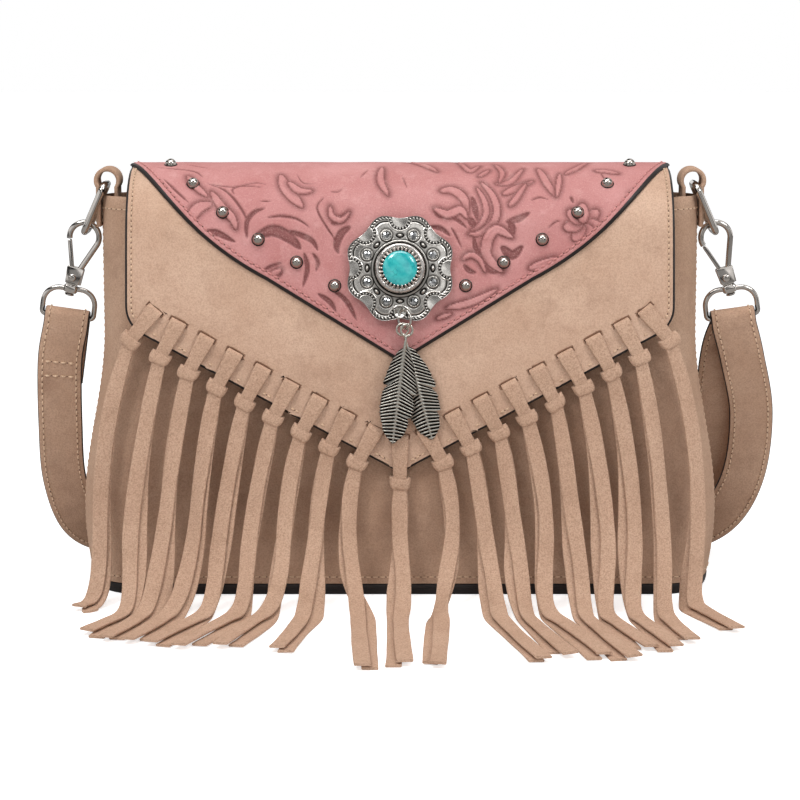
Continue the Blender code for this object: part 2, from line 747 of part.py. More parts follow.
def make_concho():
    frame = concho_frame()
    outline = concho_outline()
    levels = ((1, CONCHO_STAND), (1, CONCHO_STAND + CONCHO_THICKNESS))
    levels += ((0.55, CONCHO_STAND + CONCHO_THICKNESS + CONCHO_CROWN),)
    rings = [[(x * share, y * share, z) for x, y in outline] for share, z in levels]
    plate = add_object("concho_plate", loft(rings), SILVER)
    boss = disc(CONCHO_BOSS_RADIUS, 0, CONCHO_STAND + CONCHO_THICKNESS / 2, 12)
    boolean(plate, add_object("boss", boss, SILVER), "UNION")
    rise = CONCHO_STAND + CONCHO_THICKNESS
    for index in range(CONCHO_LOBES):
        turn = math.tau * (index + 0.5) / CONCHO_LOBES
        centre = (CRYSTAL_RING * math.cos(turn), CRYSTAL_RING * math.sin(turn))
        crystal = disc(CRYSTAL_RADIUS, rise, rise + CONCHO_CROWN / 2 + CRYSTAL_HEIGHT, 8, centre)
        boolean(plate, add_object("crystal", crystal, SILVER), "UNION")
    hole = disc(CHARM_HOLE_RADIUS, 0, 2 * rise + CONCHO_CROWN, 10, (0, -CHARM_HOLE_OFFSET))
    boolean(plate, add_object("charm_hole", hole, SILVER), "DIFFERENCE")
    plate.matrix_world = frame
    top = rise + CONCHO_CROWN + GAP
    rings = []
    for radius, level, teeth in (
        (BEZEL_RADIUS, 0, 0),
        (BEZEL_RADIUS, BEZEL_HEIGHT * 0.55, 0),
        (BEZEL_RADIUS - BEZEL_WALL, BEZEL_HEIGHT, 0),
        (STONE_RADIUS + GAP + BEZEL_WALL * 0.5, BEZEL_HEIGHT * 0.8, 1),
        (STONE_RADIUS + GAP, BEZEL_HEIGHT, 0),
        (STONE_RADIUS + GAP, BEZEL_HEIGHT * 0.4, 0),
    ):
        rings.append([
            (
                (radius + teeth * BEZEL_WALL * 0.3 * (-1) ** step) * math.cos(math.tau * step / 32),
                (radius + teeth * BEZEL_WALL * 0.3 * (-1) ** step) * math.sin(math.tau * step / 32),
                top + level,
            )
            for step in range(2 * BEZEL_TEETH)
        ])
    add_object("concho_bezel", loft(rings), SILVER, frame)
    floor = top + BEZEL_HEIGHT * 0.4 + GAP
    profile = ((1, 0), (1, 0.45), (0.8, 0.8), (0.4, 1))
    dome = [circle(STONE_RADIUS * share, floor + STONE_CROWN * lift, 20) for share, lift in profile]
    add_object("turquoise_stone", loft(dome), TURQUOISE, frame)


# Charm
def charm_hole():
    """The middle of the concho's lowest hole, half way through the plate."""
    return concho_frame() @ Vector((0, -CHARM_HOLE_OFFSET, CONCHO_STAND + CONCHO_THICKNESS / 2))


def jump_centre():
    """The jump ring's middle: it leans on the hole's lower lip and stands out in front of the rim."""
    out = math.sqrt(JUMP_RADIUS**2 - JUMP_REACH**2)
    heading = Vector((math.sin(JUMP_TURN), -math.cos(JUMP_TURN), 0))
    return charm_hole() + heading * out - Vector((0, 0, JUMP_REACH))


def make_jump_ring():
    heading = Vector((math.sin(JUMP_TURN), -math.cos(JUMP_TURN), 0))
    centre = jump_centre()
    path = [
        centre + JUMP_RADIUS * (math.cos(turn) * heading + math.sin(turn) * Vector((0, 0, 1)))
        for turn in (math.tau * step / 18 for step in range(18))
    ]
    across = heading.cross(Vector((0, 0, 1)))
    ring = add_object("jump_ring", wire(path, across, JUMP_WIRE / 2, 6, True), SILVER)
    set_origin(ring, charm_hole())


def feather_half_width(part):
    return FEATHER_HALF_WIDTH * math.sin(math.pi * min(1, part**0.72)) ** 0.7


def make_feather(name, lean, layer):
    """A cast feather in the XZ plane below its own eye; the layer sets it before or behind its fellow."""
    hang = (FEATHER_EYE_RADIUS - FEATHER_EYE_WIRE / 2 - JUMP_WIRE / 2) / 2
    along = layer / math.cos(JUMP_TURN)
    drop = math.sqrt(JUMP_RADIUS**2 - along**2) + hang
    eye = jump_centre() + Vector((-layer * math.tan(JUMP_TURN), layer, -drop))
    blade = FEATHER_LENGTH - FEATHER_STEM
    front = []
    back = []
    for row in range(FEATHER_ROWS + 1):
        part = row / FEATHER_ROWS
        reach = feather_half_width(part) * (0.88 if row % 2 else 1) + FEATHER_RIB
        drop = FEATHER_STEM + blade * part
        shares = (-1, -0.12, 0, 0.12, 1)
        swell = (0, FEATHER_RIB * 0.3, FEATHER_RIB, FEATHER_RIB * 0.3, 0)
        sag = blade / FEATHER_ROWS
        front.append([
            (reach * share, drop + abs(share) * sag, FEATHER_THICKNESS / 2 + rise * (1 - part))
            for share, rise in zip(shares, swell)
        ])
        back.append([(x, y, -FEATHER_THICKNESS / 2) for x, y, _ in front[-1]])
    feather = add_object(name, sheet(front, back), SILVER)
    stem_half = FEATHER_THICKNESS * 0.7
    stem = prism(
        [(-stem_half, FEATHER_EYE_RADIUS), (stem_half, FEATHER_EYE_RADIUS),
         (stem_half, FEATHER_STEM + sag), (-stem_half, FEATHER_STEM + sag)],
        -FEATHER_THICKNESS / 2 * 0.9, FEATHER_THICKNESS / 2 * 1.05,
    )
    boolean(feather, add_object("stem", stem, SILVER), "UNION")
    path = [
        (FEATHER_EYE_RADIUS * math.cos(turn), FEATHER_EYE_RADIUS * math.sin(turn), 0)
        for turn in (math.tau * step / 12 for step in range(12))
    ]
    boolean(feather, add_object("eye", wire(path, (0, 0, 1), FEATHER_EYE_WIRE / 2, 6, True), SILVER), "UNION")
    drawn = Matrix(((1, 0, 0, 0), (0, 0, -1, 0), (0, -1, 0, 0), (0, 0, 0, 1)))
    feather.data.transform(Matrix.Rotation(-lean, 4, "Y") @ drawn)
    feather.data.flip_normals()
    feather.matrix_world = Matrix.Translation(eye)


# Fringe
def edge_lean():
    """The angle between the flap's lower edge and the horizontal, measured on the flat leather."""
    corner_z = FLAP_TIP_Z + FLAP_EDGE_SLOPE * FLAP_HALF_WIDTH
    return math.atan2(flap_v(FLAP_TIP_Z) - flap_v(corner_z), FLAP_HALF_WIDTH)


def tassel_on_edge(name, side, edge, turn, inset, heading, reach, bend):
    out = Vector((side * math.sin(turn), math.cos(turn)))
    edge = Vector((side * edge[0], edge[1]))
    return {
        "name": name,
        "side": side,
        "turn": side * turn,
        "slot": edge - out * inset,
        "edge": edge,
        "out": out,
        "knot": edge + out * KNOT_DROP,
        "heading": math.radians(heading) * side,
        "reach": reach,
        "bend": bend,
    }


def tassels():
    """Where each strip leaves its slot, crosses the flap's edge and is banded, and how its tails lie."""
    tip_v = flap_v(FLAP_TIP_Z)
    lean = edge_lean()
    last_u = FLAP_HALF_WIDTH - TASSEL_LAST_INSET
    pitch = (last_u - TASSEL_FIRST_U) / (TASSELS_A_SIDE - 2)
    tip_drop = FLAP_TIP_RADIUS * (1 / math.cos(lean) - 1)
    made = [tassel_on_edge(
        "tassel_centre", 1, (0, tip_v - tip_drop), 0, CENTRE_SLOT_INSET,
        CENTRE_TAIL_HEADING, CENTRE_TAIL_REACH, TAIL_BEND,
    )]
    arc_u = FLAP_HALF_WIDTH - FLAP_CORNER_RADIUS
    arc_v = tip_v - (FLAP_CORNER_RADIUS + math.sin(lean) * arc_u) / math.cos(lean)
    for side, label, headings, reaches in (
        (-1, "left", LEFT_TAIL_HEADINGS, LEFT_TAIL_REACHES),
        (1, "right", RIGHT_TAIL_HEADINGS, RIGHT_TAIL_REACHES),
    ):
        for index, (heading, reach) in enumerate(zip(headings, reaches)):
            name = f"tassel_{label}_{index + 1}"
            if index < TASSELS_A_SIDE - 1:
                u = TASSEL_FIRST_U + pitch * index
                edge = (u, tip_v - u * math.tan(lean))
                made.append(tassel_on_edge(name, side, edge, lean, SLOT_INSET, heading, reach, TAIL_BEND))
            else:
                turn = lean + TASSEL_CORNER_TURN
                arm = Vector((math.sin(turn), math.cos(turn))) * FLAP_CORNER_RADIUS
                edge = (arc_u + arm.x, arc_v + arm.y)
                made.append(
                    tassel_on_edge(name, side, edge, turn, SLOT_INSET, heading, reach, TAIL_CORNER_BEND)
                )
    return made


def tail_route(tassel, knot, fall):
    """The shared middle line of both tails: it hangs from the band, lands and runs out over the floor."""
    heading = Vector((math.sin(tassel["heading"]), -math.cos(tassel["heading"]), 0))
    lie_z = FLOOR_GAP + TASSEL_THICKNESS / 2 + TAIL_LAYER / 2
    landing = knot + heading * tassel["bend"]
    landing.z = lie_z
    pull_down = knot + fall * (knot.z * 0.5)
    pull_back = landing - heading * tassel["bend"] * 0.75
    points = []
    for step in range(TAIL_HANG_STEPS + 1):
        t = step / TAIL_HANG_STEPS
        near = knot * (1 - t) ** 3 + pull_down * 3 * t * (1 - t) ** 2
        points.append(near + pull_back * 3 * t**2 * (1 - t) + landing * t**3)
    end = knot + heading * tassel["reach"]
    end.z = lie_z
    points.append((landing + end) / 2)
    points.append(end)
    return points


def tail_stations(route, layer, spread):
    """One tail: the shared line moved by half a layer to its own side, drifting sideways as it goes."""
    stations = []
    last = len(route) - 1
    for index, point in enumerate(route):
        along = (route[min(index + 1, last)] - route[max(index - 1, 0)]).normalized()
        face = Vector((0, along.z, -along.y)).normalized()
        side = face.cross(along).normalized()
        drift = spread * (index / last) ** 1.5
        stations.append((point + face * layer + side * drift, side))
    return stations


def make_tassel(tassel):
    """A strip looped through the flap's slot and over its edge, a band round it, and its two tails."""
    out = tassel["out"]
    front_w = GAP + TASSEL_THICKNESS / 2
    back_w = -FLAP_THICKNESS - GAP - TASSEL_THICKNESS / 2
    middle_w = -FLAP_THICKNESS / 2
    over = tassel["edge"] + out * TASSEL_THICKNESS / 2
    down = (on_flap(*tassel["knot"], 0) - on_flap(*tassel["edge"], 0)).normalized()
    across = flap_out(tassel["edge"].y).cross(down).normalized()
    knot = on_flap(*tassel["knot"], middle_w)
    fall = (down + Vector((0, 0, -1))).normalized()
    route = tail_route(tassel, knot, fall)
    inward = -tassel["side"] * TAIL_SPREAD
    front_tail = tail_stations(route, TAIL_LAYER / 2, 0)
    back_tail = tail_stations(route, -TAIL_LAYER / 2, inward)
    loop = [
        (on_flap(*over, front_w), across),
        (on_flap(*tassel["slot"], front_w), across),
        (on_flap(*tassel["slot"], back_w), across),
        (on_flap(*over, back_w), across),
    ]
    stations = list(reversed(front_tail)) + loop + back_tail
    strip = add_object(tassel["name"], ribbon(stations, TASSEL_WIDTH, TASSEL_THICKNESS), SUEDE)
    half = TAIL_LAYER / 2 + TASSEL_THICKNESS
    outline = rounded(rectangle(KNOT_HALF_HEIGHT, half), [KNOT_ROUND] * 4, 1)
    face = across.cross(down)
    frame = Matrix((down, face, across)).transposed().to_4x4()
    band = prism(outline, -KNOT_HALF_WIDTH, KNOT_HALF_WIDTH)
    bmesh.ops.transform(band, matrix=Matrix.Translation(knot) @ frame, verts=band.verts)
    boolean(strip, add_object("band", band, SUEDE), "UNION")
    set_origin(strip, HINGE)


# Magnetic snap
def make_snap():
    low = SNAP_Z - SNAP_RADIUS
    high = SNAP_Z + SNAP_RADIUS
    panel = max(half_depth(low), half_depth(high)) + GAP
    under_flap = -front_face_y(high) - FLAP_THICKNESS - GAP
    meet = under_flap - SNAP_PLATE
    upright = Matrix.Translation((0, 0, SNAP_Z)) @ Matrix.Rotation(math.pi / 2, 4, "X")
    add_object("snap_socket", disc(SNAP_RADIUS, panel, meet - GAP, 14), NICKEL, upright)
    stud = add_object("snap_stud", disc(SNAP_RADIUS * 0.9, meet, under_flap, 14), NICKEL)
    stud.data.transform(upright)
    set_origin(stud, HINGE)


# Tabs and oval rings
def lean_direction(side, lean):
    return Vector((side * math.sin(lean), 0, -math.cos(lean)))


def tab_loop_centre(side):
    out_x = TOP_HALF_WIDTH + TAB_LEG_OUT
    in_x = TOP_HALF_WIDTH - TAB_LEG_IN
    return Vector((side * (out_x + in_x) / 2, 0, BODY_HEIGHT + TAB_LOOP_RISE))


def make_tab(side, label):
    centre = tab_loop_centre(side)
    half = (TAB_LEG_OUT + TAB_LEG_IN) / 2
    foot_z = BODY_HEIGHT - TAB_LEG_LENGTH
    neck_z = BODY_HEIGHT + TAB_THICKNESS / 4
    path = [(half, foot_z), (half, neck_z)]
    for step in range(11):
        turn = math.radians(-35 + 250 * step / 10)
        path.append((TAB_LOOP_RADIUS * math.cos(turn), centre.z + TAB_LOOP_RADIUS * math.sin(turn)))
    path += [(-half, neck_z), (-half, foot_z)]
    stations = [(Vector((centre.x + side * x, 0, z)), (0, 1, 0)) for x, z in path]
    add_object(f"tab_{label}", ribbon(stations, 2 * TAB_HALF_WIDTH, TAB_THICKNESS), SUEDE)


def ring_pivot(side):
    seat = TAB_LOOP_RADIUS - TAB_THICKNESS / 2 - RING_WIRE / 2 - SLIDE_GAP
    return tab_loop_centre(side) + lean_direction(side, RING_SEAT_LEAN) * seat


def ring_bar(side):
    return ring_pivot(side) + lean_direction(side, RING_LEAN) * RING_LENGTH


def make_ring(side, label):
    down = lean_direction(side, RING_LEAN)
    corners = [
        (-RING_HALF_WIDTH, 0), (-RING_HALF_WIDTH, RING_LENGTH),
        (RING_HALF_WIDTH, RING_LENGTH), (RING_HALF_WIDTH, 0),
    ]
    flat = rounded(corners, [RING_CORNER] * 4, 4)
    path = [Vector((0, y, 0)) + down * q for y, q in flat]
    ring = wire(path, down.cross(Vector((0, 1, 0))), RING_WIRE / 2, 8, True)
    add_object(f"ring_{label}", ring, NICKEL, Matrix.Translation(ring_pivot(side)))


# Snap hooks
def hook_frame(side):
    """The hook's own frame: X to the viewer's right, Y down its shank and Z to the back."""
    down = lean_direction(side, HOOK_LEAN)
    right = Vector((math.cos(HOOK_LEAN), 0, side * math.sin(HOOK_LEAN)))
    turn = Matrix((right, down, Vector((0, 1, 0)))).transposed().to_4x4()
    rise = RING_WIRE / 2 + HOOK_WIRE / 2 + HOOK_SLACK
    return Matrix.Translation(ring_bar(side) - down * rise) @ turn


def hook_nose():
    return Vector((
        -HOOK_EYE_RADIUS * math.cos(HOOK_TAPER), HOOK_EYE_RADIUS * (1 + math.sin(HOOK_TAPER)),
    ))


def gate_pivot():
    nose = hook_nose()
    drop = HOOK_BODY_TOP + GATE_PIVOT_DROP - nose.y
    return nose + Vector((math.tan(HOOK_TAPER) * drop, drop))


def hook_foot():
    return HOOK_BODY_TOP + HOOK_BODY_HEIGHT


def make_hook(side, label):
    foot = hook_foot()
    outline = [
        (-HOOK_BODY_TOP_HALF_WIDTH, HOOK_BODY_TOP), (HOOK_BODY_TOP_HALF_WIDTH, HOOK_BODY_TOP),
        (HOOK_BODY_FOOT_HALF_WIDTH, foot), (-HOOK_BODY_FOOT_HALF_WIDTH, foot),
    ]
    half = HOOK_BODY_THICKNESS / 2
    hook = add_object(f"hook_{label}", prism(outline, -half, half), NICKEL)
    pivot = gate_pivot()
    slot_right = pivot.x + GATE_PIVOT_RADIUS + SLIDE_GAP
    slot_foot = pivot.y + GATE_PIVOT_RADIUS + SLIDE_GAP
    left = -2 * HOOK_BODY_TOP_HALF_WIDTH
    slot_half = GATE_THICKNESS / 2 + SLIDE_GAP
    slot = prism(
        [(left, HOOK_BODY_TOP - HOOK_WIRE), (slot_right, HOOK_BODY_TOP - HOOK_WIRE),
         (slot_right, slot_foot), (left, slot_foot)],
        -slot_half, slot_half,
    )
    boolean(hook, add_object("gate_slot", slot, NICKEL), "DIFFERENCE")
    path = []
    for step in range(13):
        turn = math.pi - (math.pi + 2 * HOOK_TAPER) * step / 12 + HOOK_TAPER
        path.append((
            HOOK_EYE_RADIUS * math.cos(turn), HOOK_EYE_RADIUS * (1 - math.sin(turn)), 0,
        ))
    start_x, start_y, _ = path[-1]
    root_y = HOOK_BODY_TOP + HOOK_WIRE * 0.4
    path.append((start_x - math.tan(HOOK_TAPER) * (root_y - start_y), root_y, 0))
    boolean(hook, add_object("eye", wire(path, (0, 0, 1), HOOK_WIRE / 2, 8, False), NICKEL), "UNION")
    rivet_at = Matrix.Translation((*pivot, 0))
    rivet = disc(RIVET_RADIUS, -half * 1.05, half * 1.05, 8)
    bmesh.ops.transform(rivet, matrix=rivet_at, verts=rivet.verts)
    boolean(hook, add_object("rivet", rivet, NICKEL), "UNION")
    for face in (-1, 1):
        ends = sorted((face * (half - RIVET_HEAD / 2), face * (half + RIVET_HEAD)))
        head = disc(RIVET_HEAD_RADIUS, *ends, 10)
        bmesh.ops.transform(head, matrix=rivet_at, verts=head.verts)
        boolean(hook, add_object("rivet_head", head, NICKEL), "UNION")
    head_y = foot + 2 * SLIDE_GAP + EYE_BLOCK_HEIGHT
    for name, low, high, radius in (
        ("post", foot - SLIDE_GAP, head_y + SWIVEL_HEAD / 2, SWIVEL_POST_RADIUS),
        ("post_head", head_y, head_y + SWIVEL_HEAD, SWIVEL_HEAD_RADIUS),
    ):
        round_bar = wire([(0, low, 0), (0, high, 0)], (0, 0, 1), radius, 10, False)
        boolean(hook, add_object(name, round_bar, NICKEL), "UNION")
    hook.matrix_world = hook_frame(side)


def make_gate(side, label):
    pivot = gate_pivot()
    length = (pivot - hook_nose()).length - SLIDE_GAP
    outline = [(-GATE_HALF_WIDTH, length), (GATE_HALF_WIDTH, length)]
    for step in range(9):
        turn = math.radians(60 - 300 * step / 8)
        outline.append((GATE_PIVOT_RADIUS * math.cos(turn), GATE_PIVOT_RADIUS * math.sin(turn)))
    half = GATE_THICKNESS / 2
    gate = add_object(f"hook_gate_{label}", prism(outline, -half, half), NICKEL)
    hole = disc(RIVET_RADIUS + GAP, -2 * half, 2 * half, 8)
    boolean(gate, add_object("rivet_hole", hole, NICKEL), "DIFFERENCE")
    turn = Matrix.Rotation(math.pi - HOOK_TAPER, 4, "Z")
    gate.matrix_world = hook_frame(side) @ Matrix.Translation((*pivot, 0)) @ turn


# Strap D-rings
def eye_block_centre(side):
    return hook_frame(side) @ Vector((0, hook_foot() + SLIDE_GAP + EYE_BLOCK_HEIGHT / 2, 0))


def d_ring_bar(side):
    return eye_block_centre(side) + lean_direction(side, D_RING_LEAN) * D_RING_DROP


def d_ring_across(side):
    return Vector((math.cos(D_RING_LEAN), 0, side * math.sin(D_RING_LEAN)))


def make_d_ring(side, label):
    half = STRAP_WIDTH / 2 + SLIDE_GAP + D_RING_WIRE / 2
    corners = [(-half, -D_RING_DROP), (-half, 0), (half, 0), (half, -D_RING_DROP)]
    radii = [D_RING_TOP_CORNER, D_RING_FOOT_CORNER, D_RING_FOOT_CORNER, D_RING_TOP_CORNER]
    down = lean_direction(side, D_RING_LEAN)
    path = [d_ring_across(side) * x + down * y for x, y in rounded(corners, radii, 4)]
    ring = add_object(f"strap_d_ring_{label}", wire(path, (0, 1, 0), D_RING_WIRE / 2, 8, True), NICKEL)
    outline = rectangle(EYE_BLOCK_HALF_WIDTH, EYE_BLOCK_HEIGHT / 2)
    block = prism(outline, -EYE_BLOCK_DEPTH / 2, EYE_BLOCK_DEPTH / 2)
    bar = d_ring_bar(side)
    own = hook_frame(side).to_3x3().to_4x4()
    place = Matrix.Translation(eye_block_centre(side) - bar) @ own
    bmesh.ops.transform(block, matrix=place, verts=block.verts)
    boolean(ring, add_object("eye_block", block, NICKEL), "UNION")
    reach = 2 * EYE_BLOCK_HEIGHT
    hole = wire([(0, -reach, 0), (0, reach, 0)], (0, 0, 1), SWIVEL_POST_RADIUS + SLIDE_GAP, 10, False)
    bmesh.ops.transform(hole, matrix=place, verts=hole.verts)
    boolean(ring, add_object("swivel_hole", hole, NICKEL), "DIFFERENCE")
    ring.matrix_world = Matrix.Translation(bar)


# Strap
def fold_round_bar(side, width_sign):
    """Stations over the D-ring's bar, from the front of the strap to the back."""
    radius = D_RING_WIRE / 2 + GAP + STRAP_THICKNESS / 2
    up = -lean_direction(side, D_RING_LEAN)
    bar = d_ring_bar(side)
    stations = []
    for step in range(7):
        turn = math.pi - math.pi * step / 6
        place = bar + radius * (math.cos(turn) * Vector((0, 1, 0)) + math.sin(turn) * up)
        stations.append((place, width_sign * d_ring_across(side)))
    return stations


def hanging(points, facing):
    """Stations through the points, with the strap's width kept square to a face that looks along facing."""
    line = curve_through(points, STRAP_STEPS)
    stations = []
    for index, point in enumerate(line):
        along = line[min(index + 1, len(line) - 1)] - line[max(index - 1, 0)]
        stations.append((point, Vector((0, facing, 0)).cross(along).normalized()))
    return stations


def strap_stations():
    stand_z = FLOOR_GAP + STRAP_WIDTH / 2
    run_y = BASE_HALF_DEPTH + STRAP_RUN_GAP
    left_bar = d_ring_bar(-1)
    right_bar = d_ring_bar(1)
    left_fold = list(reversed(fold_round_bar(-1, 1)))
    right_fold = fold_round_bar(1, -1)
    tail_down = lean_direction(-1, D_RING_LEAN) * STRAP_TAIL
    tail = [(left_fold[0][0] + tail_down, left_fold[0][1])]
    edge = BELLY_HALF_WIDTH + STRAP_WIDTH / 2
    main = [
        left_fold[-1][0] + lean_direction(-1, D_RING_LEAN) * 0.004,
        (left_bar.x - 0.004, -0.001, left_bar.z - 0.022),
        (-edge - 0.0015, 0.004, left_bar.z - 0.053),
        (-edge - 0.0015, 0.014, left_bar.z * 0.36),
        (-edge + 0.004, 0.030, stand_z * 2),
        (-edge + 0.018, run_y - 0.008, stand_z + 0.0012),
        (-edge + 0.044, run_y - 0.001, stand_z),
        (-edge / 2, run_y, stand_z),
        (0, run_y, stand_z),
        (edge / 2, run_y, stand_z),
        (edge - 0.044, run_y, stand_z),
        (edge - 0.018, run_y - 0.002, stand_z + 0.0012),
        (edge - 0.001, run_y - 0.011, stand_z * 2.1),
        (edge + 0.008, 0.030, left_bar.z * 0.36),
        (edge + 0.009, 0.018, right_bar.z - 0.050),
        (right_bar.x + 0.0055, 0.002, right_bar.z - 0.021),
        right_fold[0][0] + lean_direction(1, D_RING_LEAN) * 0.004,
    ]
    join_y = run_y + STRAP_THICKNESS + GAP
    rear = [
        right_fold[-1][0] + lean_direction(1, D_RING_LEAN) * 0.004,
        (right_bar.x - 0.003, 0.010, right_bar.z - 0.019),
        (edge - 0.0075, 0.024, right_bar.z - 0.048),
        (edge - 0.0075, 0.042, right_bar.z * 0.38),
        (edge - 0.015, run_y + 0.008, stand_z * 2.1),
        (edge - 0.032, join_y + 0.010, stand_z + 0.0012),
        (edge - 0.058, join_y + 0.003, stand_z),
        (edge / 2, join_y, stand_z),
        (edge / 2 - 0.02, join_y, stand_z),
    ]
    return tail + left_fold + hanging(main, -1) + right_fold + hanging(rear, 1)


def make_strap():
    add_object("strap", ribbon(strap_stations(), STRAP_WIDTH, STRAP_THICKNESS), SUEDE)


def main():
    clear_scene()
    make_body_panel("front_panel", -1)
    make_body_panel("back_panel", 1)
    make_base()
    make_lining()
    make_flap_band()
    make_flap()
    make_overlay()
    make_studs()
    make_concho()
    make_jump_ring()
    layer = FEATHER_THICKNESS / 2 + FEATHER_RIB / 2 + GAP
    make_feather("feather_left", FEATHER_LEFT_LEAN, -layer)
    make_feather("feather_right", FEATHER_RIGHT_LEAN, layer)
    for tassel in tassels():
        make_tassel(tassel)
    make_snap()
    for side, label in ((-1, "left"), (1, "right")):
        make_tab(side, label)
        make_ring(side, label)
        make_hook(side, label)
        make_gate(side, label)
        make_d_ring(side, label)
    make_strap()


main()
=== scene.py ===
"""The looks of the fringed suede bag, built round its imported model.

Metres, +Z up, in the model's own frame. The flap's leather is laid out flat, as u across, v down the
leather from the hinge line and w out of its face, and wrapped on the same section as the solids.
"""

import json
import math
import random

import bmesh
import bpy
import numpy as np
from mathutils import Matrix, Vector

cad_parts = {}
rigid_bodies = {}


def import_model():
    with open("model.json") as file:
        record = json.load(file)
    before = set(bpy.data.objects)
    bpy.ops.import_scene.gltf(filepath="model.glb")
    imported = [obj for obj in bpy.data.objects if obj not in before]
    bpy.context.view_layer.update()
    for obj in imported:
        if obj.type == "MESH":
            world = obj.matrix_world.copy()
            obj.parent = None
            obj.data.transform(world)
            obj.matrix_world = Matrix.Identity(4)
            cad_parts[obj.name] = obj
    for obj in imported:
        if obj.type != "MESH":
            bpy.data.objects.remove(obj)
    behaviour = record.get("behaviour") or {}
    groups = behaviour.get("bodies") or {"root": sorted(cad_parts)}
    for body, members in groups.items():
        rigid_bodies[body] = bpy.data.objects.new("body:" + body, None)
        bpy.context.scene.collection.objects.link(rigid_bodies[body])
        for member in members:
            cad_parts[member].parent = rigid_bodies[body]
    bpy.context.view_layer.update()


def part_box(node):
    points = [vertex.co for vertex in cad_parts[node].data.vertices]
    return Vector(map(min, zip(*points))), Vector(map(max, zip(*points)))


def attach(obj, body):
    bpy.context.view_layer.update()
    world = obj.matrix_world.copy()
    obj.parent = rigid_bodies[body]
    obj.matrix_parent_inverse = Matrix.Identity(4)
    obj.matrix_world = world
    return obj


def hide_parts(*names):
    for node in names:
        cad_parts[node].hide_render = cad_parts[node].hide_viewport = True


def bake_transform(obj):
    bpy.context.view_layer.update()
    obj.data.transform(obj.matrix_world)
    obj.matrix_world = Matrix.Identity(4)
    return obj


for obj in list(bpy.data.objects):
    bpy.data.objects.remove(obj)
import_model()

# Camera, as the photograph was taken
CAMERA_PLACE = (0.0, -1.135, 0.280)
CAMERA_PITCH = math.radians(9.62)
CAMERA_LENS = 107.3
SENSOR = 36.0

# Sizes shared with the solids
GAP = 0.0003
BODY_HEIGHT = 0.187
TOP_HALF_WIDTH = 0.1415
BELLY_HALF_WIDTH = 0.1525
BELLY_HEIGHT = 0.035
SHOULDER_HEIGHT = 0.125
FOOT_TUCK = 0.0045
BASE_HALF_DEPTH = 0.035
TOP_HALF_DEPTH = 0.0175
DEPTH_BELLY = 0.007
CORNER_RUN = 0.024
PANEL_THICKNESS = 0.0018
LINING_DROP = 0.002
BASE_THICKNESS = 0.005
FLAP_THICKNESS = 0.0024
FLAP_HALF_WIDTH = 0.1285
FLAP_CREST_Y = 0.003
FLAP_CREST_Z = 0.200
FLAP_ROLL_RADIUS = 0.034
FLAP_ROLL_TURN = math.radians(78)
FLAP_TIP_Y = -0.041
FLAP_TIP_Z = 0.059
FLAP_FRONT_POWER = 2.2
FLAP_EDGE_SLOPE = 0.54
FLAP_CORNER_RADIUS = 0.016
FLAP_TIP_RADIUS = 0.006
FLAP_BAND_FOOT_Z = 0.160
OVERLAY_THICKNESS = 0.0014
OVERLAY_RELIEF = 0.0006
OVERLAY_START = 0.009
OVERLAY_TIP_Z = 0.112
OVERLAY_STRAIGHT_U = 0.062
OVERLAY_STRAIGHT_RISE = 0.038
OVERLAY_CURVE_PULL = 0.0165
KNOT_DROP = 0.0046


# Meshes
def smoothstep(low, high, value):
    part = np.clip((value - low) / (high - low), 0, 1)
    return part * part * (3 - 2 * part)


def in_scene(name, data):
    """An object of this mesh, camera or light, put in the scene."""
    obj = bpy.data.objects.new(name, data)
    bpy.context.scene.collection.objects.link(obj)
    return obj


def dressed(mesh, materials):
    """An object of this mesh with its materials, put in the scene."""
    for material in materials:
        mesh.materials.append(material)
    return in_scene(mesh.name, mesh)


def mesh_object(name, points, faces, materials, sharp=None):
    mesh = bpy.data.meshes.new(name)
    mesh.from_pydata([tuple(point) for point in points], [], [tuple(face) for face in faces])
    mesh.validate()
    bm = bmesh.new()
    bm.from_mesh(mesh)
    bmesh.ops.recalc_face_normals(bm, faces=bm.faces)
    bm.to_mesh(mesh)
    bm.free()
    mesh.shade_smooth()
    if sharp:
        mesh.set_sharp_from_angle(angle=math.radians(sharp))
    return dressed(mesh, materials)


def float_attribute(mesh, name, values):
    """A number for each point, which a material reads by this name."""
    mesh.attributes.new(name, "FLOAT", "POINT").data.foreach_set("value", np.asarray(values, np.float32))


def bump_of(distance, width):
    """A smooth rise of 1 where the distance is nought, falling away within about this width."""
    return np.exp(-((distance / width) ** 2))


def circle(radius, steps):
    turns = [math.tau * step / steps for step in range(steps)]
    return [(radius * math.cos(turn), radius * math.sin(turn)) for turn in turns]


def box_corners(half_x, half_y):
    return [(-half_x, -half_y), (half_x, -half_y), (half_x, half_y), (-half_x, half_y)]


